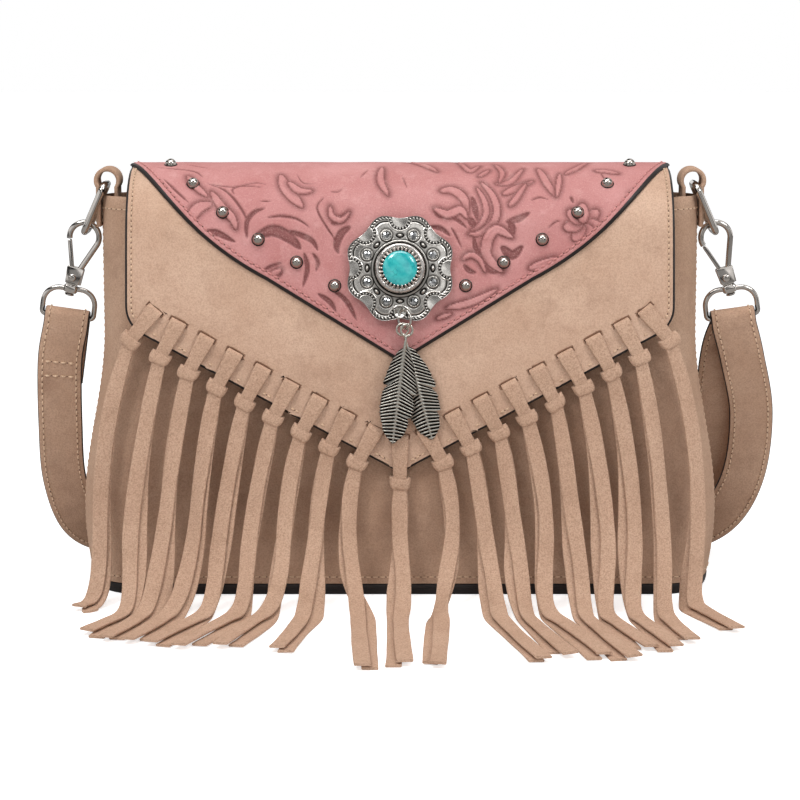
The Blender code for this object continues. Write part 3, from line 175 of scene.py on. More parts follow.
class Build:
    """Points and faces gathered from many small shapes, to be made into one object."""

    def __init__(self):
        self.points = []
        self.faces = []
        self.slots = []

    def add(self, points, faces, slot=0):
        first = len(self.points)
        self.points.extend(Vector(point) for point in points)
        self.faces.extend(tuple(first + index for index in face) for face in faces)
        self.slots.extend([slot] * len(faces))

    def loft(self, rings, slot=0, closed=False, caps=True):
        count = len(rings[0])
        points = [point for ring in rings for point in ring]
        faces = []
        last = len(rings) if closed else len(rings) - 1
        for row in range(last):
            lower = row * count
            upper = (row + 1) % len(rings) * count
            for index in range(count):
                after = (index + 1) % count
                faces.append((lower + index, lower + after, upper + after, upper + index))
        if caps and not closed:
            faces.append(tuple(range(count)))
            faces.append(tuple(range(len(points) - count, len(points))))
        self.add(points, faces, slot)

    def dome(self, frame_matrix, profile, steps, slot=0):
        """A turned solid: profile gives (radius, height) from its foot to its top."""
        rings = []
        for radius, height in profile:
            rings.append([frame_matrix @ Vector((x, y, height)) for x, y in circle(radius, steps)])
        self.loft(rings, slot)

    def make(self, name, materials, sharp=None):
        obj = mesh_object(name, self.points, self.faces, materials, sharp)
        if len(obj.data.polygons) == len(self.slots):
            obj.data.polygons.foreach_set("material_index", self.slots)
        return obj


def curve_through(points, steps):
    """Catmull-Rom points through the given ones, with so many steps to each stretch."""
    points = [np.array(point, float) for point in points]
    ends = [2 * points[0] - points[1], *points, 2 * points[-1] - points[-2]]
    made = []
    for index in range(1, len(ends) - 2):
        a, b, c, d = ends[index - 1 : index + 3]
        for step in range(steps):
            t = step / steps
            square = (2 * a - 5 * b + 4 * c - d) * t**2
            cube = (3 * b - a - 3 * c + d) * t**3
            made.append(0.5 * (2 * b + (c - a) * t + square + cube))
    made.append(points[-1])
    return [Vector(point) for point in made]


def wire_rings(path, normal, radius, sides, closed):
    """Rings of a round wire along a path in one plane; the radius may be a function of the share of its length."""
    path = [Vector(point) for point in path]
    normal = Vector(normal).normalized()
    last = len(path) - 1
    rings = []
    for index, point in enumerate(path):
        before = path[index - 1] if closed or index else path[0]
        after = path[(index + 1) % len(path)] if closed or index < last else path[-1]
        across = (after - before).normalized().cross(normal)
        size = radius(index / last) if callable(radius) else radius
        rings.append([
            point + size * (math.cos(turn) * across + math.sin(turn) * normal)
            for turn in (math.tau * side / sides for side in range(sides))
        ])
    return rings


def rounded(corners, radii, steps, closed=True):
    """An outline through the corners, each turned by an arc of its own radius."""
    points = []
    last = len(corners) - 1
    for index, (corner, radius) in enumerate(zip(corners, radii)):
        here = Vector(corner)
        if radius == 0 or (not closed and index in (0, last)):
            points.append(here)
            continue
        before = (Vector(corners[index - 1]) - here).normalized()
        after = (Vector(corners[(index + 1) % len(corners)]) - here).normalized()
        half = before.angle(after) / 2
        centre = here + (before + after).normalized() * radius / math.sin(half)
        reach = radius / math.tan(half)
        start = here + before * reach - centre
        end = here + after * reach - centre
        turn = start.angle(end)
        for step in range(steps + 1):
            part = step / steps
            arm = (start * math.sin((1 - part) * turn) + end * math.sin(part * turn)) / math.sin(turn)
            points.append(centre + arm)
    return points


def even(points, pitch, closed=False):
    """The same line with points at an even pitch."""
    points = [Vector(point) for point in points]
    if closed:
        points.append(points[0])
    lengths = np.concatenate([[0], np.cumsum([(b - a).length for a, b in zip(points, points[1:])])])
    count = max(2, round(lengths[-1] / pitch))
    wanted = np.linspace(0, lengths[-1], count + 1)
    axes = [np.interp(wanted, lengths, [point[axis] for point in points]) for axis in range(len(points[0]))]
    made = [Vector(values) for values in zip(*axes)]
    return made[:-1] if closed else made


# Materials
class Nodes:
    """A short way to write a material's node tree."""

    def __init__(self, name):
        self.material = bpy.data.materials.new(name)
        self.material.use_nodes = True
        self.tree = self.material.node_tree
        self.shader = self.tree.nodes["Principled BSDF"]
        self.place = self.node("ShaderNodeTexCoord").outputs["Object"]

    def node(self, kind, **settings):
        made = self.tree.nodes.new(kind)
        for key, value in settings.items():
            setattr(made, key, value)
        return made

    def put(self, socket, value):
        if isinstance(value, bpy.types.NodeSocket):
            self.tree.links.new(value, socket)
        elif hasattr(value, "__len__") and len(value) == 3 and socket.type == "RGBA":
            socket.default_value = (*value, 1)
        else:
            socket.default_value = value

    def set(self, **inputs):
        for key, value in inputs.items():
            self.put(self.shader.inputs[key.replace("_", " ")], value)

    def noise(self, scale, detail=3.0, roughness=0.5, stretch=None, offset=0.0):
        made = self.node("ShaderNodeTexNoise")
        place = self.place
        if stretch or offset:
            mapping = self.node("ShaderNodeMapping")
            self.put(mapping.inputs["Vector"], place)
            mapping.inputs["Scale"].default_value = stretch or (1, 1, 1)
            mapping.inputs["Location"].default_value = (offset, offset, offset)
            place = mapping.outputs["Vector"]
        self.put(made.inputs["Vector"], place)
        made.inputs["Scale"].default_value = scale
        made.inputs["Detail"].default_value = detail
        made.inputs["Roughness"].default_value = roughness
        return made.outputs["Fac"]

    def voronoi(self, scale, feature="F1"):
        made = self.node("ShaderNodeTexVoronoi", feature=feature)
        self.put(made.inputs["Vector"], self.place)
        made.inputs["Scale"].default_value = scale
        return made.outputs["Distance"]

    def attribute(self, name):
        return self.node("ShaderNodeAttribute", attribute_name=name).outputs["Fac"]

    def span(self, value, low, high, to_low=0.0, to_high=1.0):
        made = self.node("ShaderNodeMapRange", clamp=True)
        sockets = ("Value", "From Min", "From Max", "To Min", "To Max")
        for socket, item in zip(sockets, (value, low, high, to_low, to_high)):
            self.put(made.inputs[socket], item)
        return made.outputs["Result"]

    def math(self, operation, first, second=0.0):
        made = self.node("ShaderNodeMath", operation=operation)
        self.put(made.inputs[0], first)
        self.put(made.inputs[1], second)
        return made.outputs["Value"]

    def mix(self, factor, first, second):
        made = self.node("ShaderNodeMix", data_type="RGBA")
        self.put(made.inputs["Factor"], factor)
        self.put(made.inputs[6], first)
        self.put(made.inputs[7], second)
        return made.outputs[2]

    def bump(self, height, distance, strength=1.0, under=None):
        made = self.node("ShaderNodeBump")
        self.put(made.inputs["Height"], height)
        made.inputs["Distance"].default_value = distance
        made.inputs["Strength"].default_value = strength
        if under is not None:
            self.put(made.inputs["Normal"], under)
        return made.outputs["Normal"]


def linear(hex_code):
    """A colour from its display code to the shader's linear values."""
    values = [int(hex_code[start : start + 2], 16) / 255 for start in (0, 2, 4)]
    return tuple(value / 12.92 if value <= 0.04045 else ((value + 0.055) / 1.055) ** 2.4 for value in values)


def dimmed(colour, share):
    """The colour of this display code, darkened to a share of itself."""
    return tuple(channel * share for channel in linear(colour))


def suede(name, base, light, dark, nap=1.0, mottle=1.0):
    """Brushed leather: cloudy patches, a fine speckled nap and a soft sheen."""
    n = Nodes(name)
    cloud = n.span(n.noise(30, 5, 0.65), 0.36, 0.66)
    colour = n.mix(n.math("MULTIPLY", cloud, 0.62 * mottle), linear(base), linear(light))
    shade = n.span(n.noise(55, 6, 0.7, offset=3.7), 0.50, 0.74)
    colour = n.mix(n.math("MULTIPLY", shade, 0.50 * mottle), colour, linear(dark))
    grain = n.noise(1300, 3, 0.65)
    colour = n.mix(n.span(grain, 0.42, 0.66, 0.0, 0.46 * nap), colour, linear(dark))
    tips = n.noise(1900, 2, 0.6, offset=1.3)
    colour = n.mix(n.span(tips, 0.50, 0.72, 0.0, 0.42 * nap), colour, linear(light))
    fine = n.bump(grain, 0.00030 * nap, 0.85)
    n.set(
        Base_Color=colour,
        Roughness=n.span(cloud, 0, 1, 0.86, 0.95),
        Normal=n.bump(n.noise(210, 4, 0.6), 0.0005, 0.35, fine),
        Specular_IOR_Level=0.22,
        Sheen_Weight=0.28,
        Sheen_Roughness=0.55,
        Sheen_Tint=linear(light),
    )
    return n.material


def plain(name, colour, roughness):
    """Edge paint and thread: one colour that the grain breaks up a little."""
    n = Nodes(name)
    speck = n.noise(900, 3, 0.6)
    tone = n.mix(n.span(speck, 0.35, 0.7, 0.0, 0.45), linear(colour), dimmed(colour, 0.55))
    n.set(Base_Color=tone, Roughness=roughness, Normal=n.bump(speck, 0.00008, 0.6), Specular_IOR_Level=0.4)
    return n.material


def thread(name, colour):
    """Twisted sewing thread."""
    n = Nodes(name)
    twist = n.node("ShaderNodeTexWave", wave_type="BANDS", bands_direction="DIAGONAL")
    n.put(twist.inputs["Vector"], n.place)
    twist.inputs["Scale"].default_value = 900
    ply = twist.outputs["Fac"]
    tone = n.mix(n.span(ply, 0, 1, 0, 0.4), linear(colour), dimmed(colour, 0.5))
    n.set(Base_Color=tone, Roughness=0.6, Normal=n.bump(ply, 0.00012, 0.8), Specular_IOR_Level=0.35)
    return n.material


def tooled():
    """Antiqued pink leather: its pressed ground and its grooves are darkened, partly by dark wax and partly by painted
    shade, and what stands proud is rubbed pale.
    """
    n = Nodes("tooled_pink_leather")
    low = n.attribute("groove_shade")
    ground_wax_and_shade = n.attribute("ground_wax_and_shade")
    cloud = n.span(n.noise(38, 4, 0.6), 0.34, 0.68)
    colour = n.mix(n.math("MULTIPLY", cloud, 0.75), linear("B47572"), linear("C8918E"))
    # The pressed ground is darkened: dark wax, and painted shade round what stands proud.
    colour = n.mix(n.math("MULTIPLY", ground_wax_and_shade, 0.62), colour, linear("8F5453"))
    # The grooves are darkened the deeper they lie: dark wax together with painted shade.
    colour = n.mix(n.math("MULTIPLY", low, 0.88), colour, linear("6E3B39"))
    wear = n.span(n.noise(120, 4, 0.7, offset=2.1), 0.55, 0.78, 0.0, 0.35)
    colour = n.mix(wear, colour, linear("DBAFA9"))
    pore = n.noise(1300, 3, 0.65)
    colour = n.mix(n.span(pore, 0.5, 0.75, 0.0, 0.32), colour, linear("8A504E"))
    speck = n.noise(1900, 2, 0.6, offset=5.1)
    colour = n.mix(n.span(speck, 0.54, 0.76, 0.0, 0.34), colour, linear("E0B9B3"))
    pebble = n.bump(n.voronoi(1100), 0.00010, 0.6, n.bump(pore, 0.00014, 0.6))
    n.set(
        Base_Color=colour, Roughness=n.span(cloud, 0, 1, 0.58, 0.74), Normal=pebble,
        Specular_IOR_Level=0.35, Sheen_Weight=0.12, Sheen_Roughness=0.5, Sheen_Tint=linear("D9ABA6"),
    )
    return n.material


def polished(name, colour, roughness):
    """Plated metal that fingers have smeared a little."""
    n = Nodes(name)
    smear = n.noise(240, 3, 0.6)
    n.set(
        Base_Color=n.mix(n.span(smear, 0.4, 0.7, 0, 0.3), linear(colour), dimmed(colour, 0.82)),
        Metallic=1.0,
        Roughness=n.span(smear, 0.3, 0.75, roughness, roughness + 0.09),
        Normal=n.bump(n.noise(700, 2, 0.5), 0.00003, 0.3),
    )
    return n.material


def antique(name, bright, dark, attribute=None):
    """Cast white metal: blackened in its hollows, rubbed bright on what stands proud."""
    n = Nodes(name)
    speck = n.noise(520, 4, 0.7)
    tarnish = n.span(speck, 0.46, 0.68, 0.0, 0.55)
    if attribute:
        tarnish = n.math("MAXIMUM", n.attribute(attribute), n.math("MULTIPLY", tarnish, 0.4))
    n.set(
        Base_Color=n.mix(tarnish, linear(bright), linear(dark)), Metallic=1.0,
        Roughness=n.span(tarnish, 0, 1, 0.2, 0.62), Normal=n.bump(speck, 0.00006, 0.5),
    )
    return n.material


def turquoise():
    """Polished stone with a darker web of matrix and paler clouds."""
    n = Nodes("turquoise_stone")
    colour = n.mix(n.span(n.noise(240, 4, 0.6), 0.35, 0.68), linear("1A9DA2"), linear("45BFBC"))
    crack = n.voronoi(330, feature="DISTANCE_TO_EDGE")
    veined = n.span(n.noise(180, 3, 0.5, offset=2.0), 0.48, 0.6)
    vein = n.math("MULTIPLY", n.span(crack, 0.0, 0.045, 1.0, 0.0), veined)
    colour = n.mix(n.math("MULTIPLY", vein, 0.65), colour, linear("11676E"))
    n.set(
        Base_Color=colour, Roughness=0.16, Specular_IOR_Level=0.6, Coat_Weight=0.7, Coat_Roughness=0.05,
        Normal=n.bump(n.noise(600, 2, 0.5), 0.00002, 0.3),
    )
    return n.material


def crystal():
    """Foil-backed glass, shown as a mirror of mixed greys."""
    n = Nodes("clear_crystal")
    n.set(
        Base_Color=n.mix(n.span(n.noise(700, 2, 0.5), 0.35, 0.65), (0.22, 0.23, 0.24), (0.86, 0.87, 0.88)),
        Metallic=1.0, Roughness=0.05, Coat_Weight=0.5,
    )
    return n.material


def cloth():
    """A brown plain weave with slubs."""
    n = Nodes("lining_weave")
    weave = n.node("ShaderNodeTexChecker")
    n.put(weave.inputs["Vector"], n.place)
    weave.inputs["Scale"].default_value = 1900
    slub = n.noise(420, 3, 0.6, stretch=(1, 1, 6))
    tone = n.mix(n.span(slub, 0.35, 0.7), linear("5C4A3F"), linear("77614F"))
    n.set(
        Base_Color=n.mix(n.math("MULTIPLY", weave.outputs["Fac"], 0.35), tone, linear("43342B")),
        Roughness=0.9, Normal=n.bump(weave.outputs["Fac"], 0.0001, 0.6), Sheen_Weight=0.2,
    )
    return n.material


SUEDE = suede("beige_suede", "B08E76", "C3A48D", "866654")
SUEDE_FLAP = suede("flap_suede", "C09E87", "D3B49E", "92725E", nap=0.9)
SUEDE_FRINGE = suede("fringe_suede", "BD9B84", "D2B29B", "87664F", nap=1.25, mottle=0.6)
FLESH_SIDE = suede("flesh_side", "9C7B66", "B2917A", "745543", nap=1.5, mottle=0.6)
EDGE = plain("edge_paint", "1F1817", 0.42)
# Painted shade for the needle holes: a dark colour on small patches that lie on the leather.
NEEDLE_HOLE_SHADE = plain("needle_hole_shade", "5A4033", 0.9)
THREAD = thread("beige_thread", "E2C2A4")
PINK_THREAD = thread("pink_thread", "D08E8A")
TOOLED = tooled()
NICKEL = polished("polished_nickel", "C9C3BD", 0.07)
STUD_METAL = polished("stud_metal", "B5ADA6", 0.12)
STUD_DARK = antique("stud_collar", "4A4541", "221F1D")
SILVER = antique("antique_silver", "DEDAD4", "171513", "hollow")
FEATHER_SILVER = antique("feather_silver", "DAD6CC", "0E0E0C", "hollow")
BEZEL_METAL = antique("bezel_silver", "DAD4CF", "5A514D")
JUMP_SILVER = antique("jump_ring_silver", "CFCCC6", "4A4642")
STONE = turquoise()
CRYSTAL = crystal()
LINING_CLOTH = cloth()


# The flap's section, as in the solids
BACK_ARC_STEPS = 40
ROLL_STEPS = 60
FRONT_STEPS = 80
ROLL_FOOT_Y = FLAP_CREST_Y - FLAP_ROLL_RADIUS * math.sin(FLAP_ROLL_TURN)
ROLL_FOOT_Z = FLAP_CREST_Z - FLAP_ROLL_RADIUS * (1 - math.cos(FLAP_ROLL_TURN))


def front_face_y(z):
    part = max(0, (z - FLAP_TIP_Z) / (ROLL_FOOT_Z - FLAP_TIP_Z))
    return FLAP_TIP_Y + (ROLL_FOOT_Y - FLAP_TIP_Y) * part**FLAP_FRONT_POWER


def flap_section():
    """The outer face in y and z, from the hinge over the crest and down the front to below the tip."""
    hinge_y = TOP_HALF_DEPTH + GAP + FLAP_THICKNESS
    points = []
    for step in range(BACK_ARC_STEPS):
        angle = math.pi / 2 * step / BACK_ARC_STEPS
        points.append((
            FLAP_CREST_Y + (hinge_y - FLAP_CREST_Y) * math.cos(angle),
            BODY_HEIGHT + (FLAP_CREST_Z - BODY_HEIGHT) * math.sin(angle),
        ))
    for step in range(ROLL_STEPS):
        angle = FLAP_ROLL_TURN * step / ROLL_STEPS
        points.append((
            FLAP_CREST_Y - FLAP_ROLL_RADIUS * math.sin(angle),
            FLAP_CREST_Z - FLAP_ROLL_RADIUS * (1 - math.cos(angle)),
        ))
    for step in range(FRONT_STEPS + 1):
        z = ROLL_FOOT_Z + (FLAP_TIP_Z - ROLL_FOOT_Z) * step / FRONT_STEPS
        points.append((front_face_y(z), z))
    points.append((FLAP_TIP_Y, FLAP_TIP_Z - 2 * KNOT_DROP))
    return np.array(points)


SECTION = flap_section()
SECTION_V = np.concatenate([[0], np.cumsum(np.linalg.norm(np.diff(SECTION, axis=0), axis=1))])
SECTION_ALONG = np.gradient(SECTION, SECTION_V, axis=0)
SECTION_OUT = np.stack([SECTION_ALONG[:, 1], -SECTION_ALONG[:, 0]], axis=1)
SECTION_OUT /= np.linalg.norm(SECTION_OUT, axis=1)[:, None]


def flap_v(z):
    """How far along the leather the front of the flap is at height z."""
    front = slice(BACK_ARC_STEPS, None)
    return float(np.interp(-z, -SECTION[front, 1], SECTION_V[front]))


def flap_out(v):
    """The leather's outward normal."""
    normal = [np.interp(v, SECTION_V, SECTION_OUT[:, axis]) for axis in (0, 1)]
    return Vector((0, *normal)).normalized()


def on_flap(u, v, w):
    """Where a flat point of the leather comes to lie."""
    place = [np.interp(v, SECTION_V, SECTION[:, axis]) for axis in (0, 1)]
    return Vector((u, *place)) + flap_out(v) * w


def wrap(points):
    """Many flat points (u, v, w) wrapped on the section at once."""
    u, v, w = np.asarray(points, float).T
    place = np.stack([np.interp(v, SECTION_V, SECTION[:, axis]) for axis in (0, 1)], axis=1)
    out = np.stack([np.interp(v, SECTION_V, SECTION_OUT[:, axis]) for axis in (0, 1)], axis=1)
    out /= np.linalg.norm(out, axis=1)[:, None]
    place += out * w[:, None]
    return np.column_stack([u, place])


def seat_on_flap(u, v, w):
    """A frame on the flap: its X runs across, its Y up the leather and its Z out of the face."""
    out = flap_out(v)
    across = Vector((1, 0, 0))
    turn = Matrix((across, out.cross(across), out)).transposed().to_4x4()
    return Matrix.Translation(on_flap(u, v, w)) @ turn


def edge_lean():
    """How far the flap's fringed edge slopes on the flat leather."""
    corner_z = FLAP_TIP_Z + FLAP_EDGE_SLOPE * FLAP_HALF_WIDTH
    return math.atan2(flap_v(FLAP_TIP_Z) - flap_v(corner_z), FLAP_HALF_WIDTH)


def flap_outline(inset=0.0, steps=12):
    """The flap's flat outline from its left hinge end round the tip to the right one, moved in by inset."""
    lean = edge_lean()
    tip_v = flap_v(FLAP_TIP_Z)
    side = FLAP_HALF_WIDTH - inset
    drop = inset / math.cos(lean)
    corners = [
        (-side, GAP),
        (-side, tip_v - math.tan(lean) * side - drop),
        (0, tip_v - drop),
        (side, tip_v - math.tan(lean) * side - drop),
        (side, GAP),
    ]
    corner = FLAP_CORNER_RADIUS - inset
    return rounded(corners, (0, corner, max(FLAP_TIP_RADIUS - inset, 0.001), corner, 0), steps)


SLOT_REACH = 0.0062
SHEET_COLUMN_PITCHES = 3
EDGE_PROFILE = ((0.35, 0.10), (0.75, 0.35), (1.0, 0.75))
BACK_EDGE_PROFILE = ((1.0, 0.75), (0.75, 0.35))
BACK_EDGE_SHARE = 0.65
PAINTED_SHARE = 0.95
CUT_TOLERANCE = 1e-7


def flat_face_with_slots(bm, outline, slots):
    """The sheet's flat face, filled between its outline and its slots."""
    whole = bm.faces.new([bm.verts.new((*point, 0)) for point in outline])
    for slot in slots:
        ring = [bm.verts.new((*point, 0)) for point in slot]
        for first, second in zip(ring, ring[1:] + ring[:1]):
            bm.edges.new((first, second))
    bm.faces.remove(whole)
    bmesh.ops.triangle_fill(bm, use_beauty=True, use_dissolve=False, edges=bm.edges)


def cut_in_grid(bm, outline, pitch, start_v, end_v):
    """Cuts the flat face across and along, so that it can bend."""
    low = min(point[0] for point in outline)
    high = max(point[0] for point in outline)
    wide = pitch * SHEET_COLUMN_PITCHES
    lines = [((x, 0, 0), (1, 0, 0)) for x in np.arange(low + wide, high, wide)]
    lines += [((0, y, 0), (0, 1, 0)) for y in np.arange(start_v + pitch, end_v, pitch)]
    for place, normal in lines:
        geometry = bm.verts[:] + bm.edges[:] + bm.faces[:]
        bmesh.ops.bisect_plane(bm, geom=geometry, dist=CUT_TOLERANCE, plane_co=place, plane_no=normal)


def inward_of(rim):
    """Which way the leather lies from each point of its rim."""
    inward = {}
    for edge in rim:
        face = edge.link_faces[0]
        along = (edge.verts[1].co - edge.verts[0].co).normalized()
        across = along.cross(Vector((0, 0, 1)))
        if across.dot(face.calc_center_median() - edge.verts[0].co) < 0:
            across = -across
        for vert in edge.verts:
            inward[vert] = inward.get(vert, Vector((0, 0, 0))) + across
    return {vert: across.normalized() for vert, across in inward.items()}


def leather_sheet(name, outline, slots, low_w, high_w, materials, pitch, round_edge, start_v, end_v):
    """Flat leather with its outline and slots, gridded, given round painted edges and wrapped on the section.

    Its faces take slot 0 on the front, 1 on the back and in the slits, and 2 round the outline."""
    bm = bmesh.new()
    flat_face_with_slots(bm, outline, slots)
    cut_in_grid(bm, outline, pitch, start_v, end_v)
    bmesh.ops.recalc_face_normals(bm, faces=bm.faces)
    if sum(face.normal.z for face in bm.faces) < 0:
        bmesh.ops.reverse_faces(bm, faces=bm.faces)
    faces = list(bm.faces)
    for vert in bm.verts:
        vert.co.z = high_w
    rim = [edge for edge in bm.edges if edge.is_boundary]
    inward = inward_of(rim)
    chains = {vert: [vert] for vert in inward}
    deepest = (high_w - low_w) / round_edge
    for share, drop in [*EDGE_PROFILE, *((share, deepest - rise) for share, rise in BACK_EDGE_PROFILE)]:
        for vert, chain in chains.items():
            away = -inward[vert] * round_edge * (share - 1)
            chain.append(bm.verts.new((vert.co.x + away.x, vert.co.y + away.y, high_w - round_edge * drop)))
    back = {}
    for vert in dict.fromkeys(vert for face in faces for vert in face.verts):
        back[vert] = bm.verts.new((vert.co.x, vert.co.y, low_w))
    for vert, across in inward.items():
        back[vert].co += across * round_edge * BACK_EDGE_SHARE
        chains[vert].append(back[vert])
    middles = [sum(slot, Vector((0, 0))) / len(slot) for slot in slots]
    for edge in rim:
        first, second = edge.verts
        in_slot = any((first.co.xy - middle).length < SLOT_REACH for middle in middles)
        links = zip(chains[first], chains[second], chains[second][1:], chains[first][1:])
        for corners in links:
            bm.faces.new(corners).material_index = 1 if in_slot else 2
    for face in faces:
        bm.faces.new([back[vert] for vert in reversed(face.verts)]).material_index = 1
    for vert, across in inward.items():
        vert.co += across * round_edge * PAINTED_SHARE
    bmesh.ops.recalc_face_normals(bm, faces=bm.faces)
    bm.verts.ensure_lookup_table()
    for vert, point in zip(bm.verts, wrap([vert.co for vert in bm.verts])):
        vert.co = point
    bmesh.ops.reverse_faces(bm, faces=bm.faces)
    mesh = bpy.data.meshes.new(name)
    bm.to_mesh(mesh)
    bm.free()
    mesh.shade_smooth()
    mesh.set_sharp_from_angle(angle=math.radians(50))
    return dressed(mesh, materials)


# Body
DENT_DEPTH = 0.0011
DENT_WAVE = 0.0010
DENT_HALF_WIDTH = 0.152
PANEL_ROWS = 44
LIP_DROP = 0.0006
LIP_RISE = 0.0005
LIP_TURN = 0.0016
LIP_TURN_END = 0.0004
BASE_ROWS = 8
BASE_EDGE_INSET = 0.0004
BASE_EDGE_SWELL = 0.0010
LINING_ROWS = 36
LINING_THICKNESS = 0.001
BASE_STITCH_Z = 0.0085
MOUTH_STITCH_DROP = 0.006
SEAM_STITCH_OFFSET = 0.0032
SEAM_STITCH_LOW_Z = 0.010
SEAM_STITCH_HIGH_Z = 0.180


def half_depth(z):
    part = z / BODY_HEIGHT
    straight = BASE_HALF_DEPTH + (TOP_HALF_DEPTH - BASE_HALF_DEPTH) * part
    return straight + DEPTH_BELLY * math.sin(math.pi * part)


def half_width(z):
    if z < BELLY_HEIGHT:
        return BELLY_HALF_WIDTH - FOOT_TUCK * (1 - z / BELLY_HEIGHT) ** 2
    part = min(1, (z - BELLY_HEIGHT) / (SHOULDER_HEIGHT - BELLY_HEIGHT))
    return TOP_HALF_WIDTH + (BELLY_HALF_WIDTH - TOP_HALF_WIDTH) * (1 + math.cos(math.pi * part)) / 2


def soft_dent(x, z, facing):
    """How far the soft panel hangs in from its full form: broad shallow waves, none at its seams."""
    calm = math.sin(math.pi * min(1, max(0, z / BODY_HEIGHT))) * max(0, 1 - (abs(x) / DENT_HALF_WIDTH) ** 4)
    wave = math.sin(x * 41 + facing * 1.3) * math.sin(z * 33 + 0.6) + 0.6 * math.sin(x * 87 - z * 52)
    return calm * (DENT_DEPTH + DENT_WAVE * wave)


def plan_half(z, inset, facing, seam, corner_steps=10, flat_steps=54):
    """Points round half of the body at height z, from the left seam to the right; facing is -1 in front."""
    flat = half_width(z) - CORNER_RUN
    run = CORNER_RUN - inset
    depth = half_depth(z) - inset - seam
    points = []
    for step in range(corner_steps + 1):
        angle = math.pi / 2 * step / corner_steps
        points.append((-flat - run * math.cos(angle), seam + depth * math.sin(angle)))
    for step in range(1, flat_steps):
        points.append((-flat + 2 * flat * step / flat_steps, seam + depth))
    points += [(-x, y) for x, y in reversed(points[: corner_steps + 1])]
    made = []
    for x, y in points:
        dent = soft_dent(x, z, facing) * smoothstep(0.3, 0.9, y / (seam + depth))
        made.append(Vector((x, facing * (y - dent), z)))
    return made


def plan_whole(z, inset):
    """Points all the way round the body at height z."""
    return plan_half(z, inset, -1, 0.0) + plan_half(z, inset, 1, 0.0)[-2:0:-1]


def levels_between(low, high, rows):
    return [low + (high - low) * row / rows for row in range(rows + 1)]


def make_body_panel(name, facing):
    """A soft suede panel, turned in at its mouth and rolled in at the side seams."""
    outer = []
    inner = []
    for z in levels_between(BASE_THICKNESS + GAP, BODY_HEIGHT - LIP_DROP, PANEL_ROWS):
        turned = smoothstep(BODY_HEIGHT - LIP_TURN, BODY_HEIGHT - LIP_TURN_END, z) * LIP_DROP
        outer.append(plan_half(z, turned, facing, GAP / 2))
        inner.append(plan_half(z, PANEL_THICKNESS - turned, facing, GAP / 2))
    lip = [(a + b) / 2 + Vector((0, 0, LIP_RISE)) for a, b in zip(outer[-1], inner[-1])]
    profile = outer + [lip] + inner[::-1]
    rows = len(profile)
    count = len(lip)
    faces = []
    for row in range(rows):
        first = row * count
        above = (row + 1) % rows * count
        for index in range(count - 1):
            faces.append((first + index, first + index + 1, above + index + 1, above + index))
    faces.append(tuple(row * count for row in range(rows)))
    faces.append(tuple(row * count + count - 1 for row in range(rows)))
    build = Build()
    build.add([point for row in profile for point in row], faces)
    outside = (len(outer) + 1) * (count - 1)
    build.slots = [0] * outside + [1] * (len(faces) - outside)
    obj = build.make(name, [SUEDE, FLESH_SIDE], 40)
    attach(obj, "bag")
    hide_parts("front_panel" if facing < 0 else "back_panel")


# Stitches, as (length, pitch, thread radius)
FINE_STITCH = (0.0026, 0.0033, 0.00032)
SEAM_STITCH = (0.0026, 0.0033, 0.0002)
FLAP_STITCH = (0.0019, 0.0025, 0.00044)
OVERLAY_STITCH = (0.0026, 0.0033, 0.00045)
STRAP_STITCH = (0.0023, 0.0030, 0.00042)
CROSS_STITCH = (0.0026, 0.0031, 0.00055)
STITCH_SINK = 0.0002
SEAM_STITCH_SINK = 0.0003
STITCH_SIDES = 6
STITCH_STEPS = 4
# Size of the dark patch of painted shade at each needle hole, how far it stands over the leather, and how deep it
# reaches.
HOLE_HALF_LENGTH = 0.00034
HOLE_HALF_WIDTH = 0.00030
HOLE_LIFT = 0.00004
HOLE_DEPTH = 0.0002


class StitchLine:
    """A path of (place, outward normal) that can be read at any distance along it."""

    def __init__(self, path):
        self.path = path
        places = [place for place, _ in path]
        steps = [(b - a).length for a, b in zip(places, places[1:])]
        self.lengths = np.concatenate([[0], np.cumsum(steps)])
        self.total = self.lengths[-1]

    def at(self, distance):
        index = min(max(int(np.searchsorted(self.lengths, distance)) - 1, 0), len(self.path) - 2)
        span = max(self.lengths[index + 1] - self.lengths[index], 1e-9)
        part = (distance - self.lengths[index]) / span
        (place, out), (next_place, next_out) = self.path[index : index + 2]
        return place.lerp(next_place, part), out.lerp(next_out, part).normalized()


def one_stitch(line, start, length, radius, sink, lean):
    """The rings of one stitch: a small arch of thread whose ends go down into the leather."""
    rings = []
    for step in range(STITCH_STEPS + 1):
        share = step / STITCH_STEPS
        place, out = line.at(start + length * share)
        ahead, _ = line.at(start + length * share + 0.0004)
        across = (ahead - place).normalized().cross(out).normalized()
        arch = math.sin(math.pi * share)
        centre = place + out * (radius * 0.75 * arch - sink * (1 - arch))
        centre += across * lean * length * (share - 0.5)
        section = circle(radius * (0.45 + 0.55 * arch**0.5), STITCH_SIDES)
        rings.append([centre + x * across + y * out for x, y in section])
    return rings


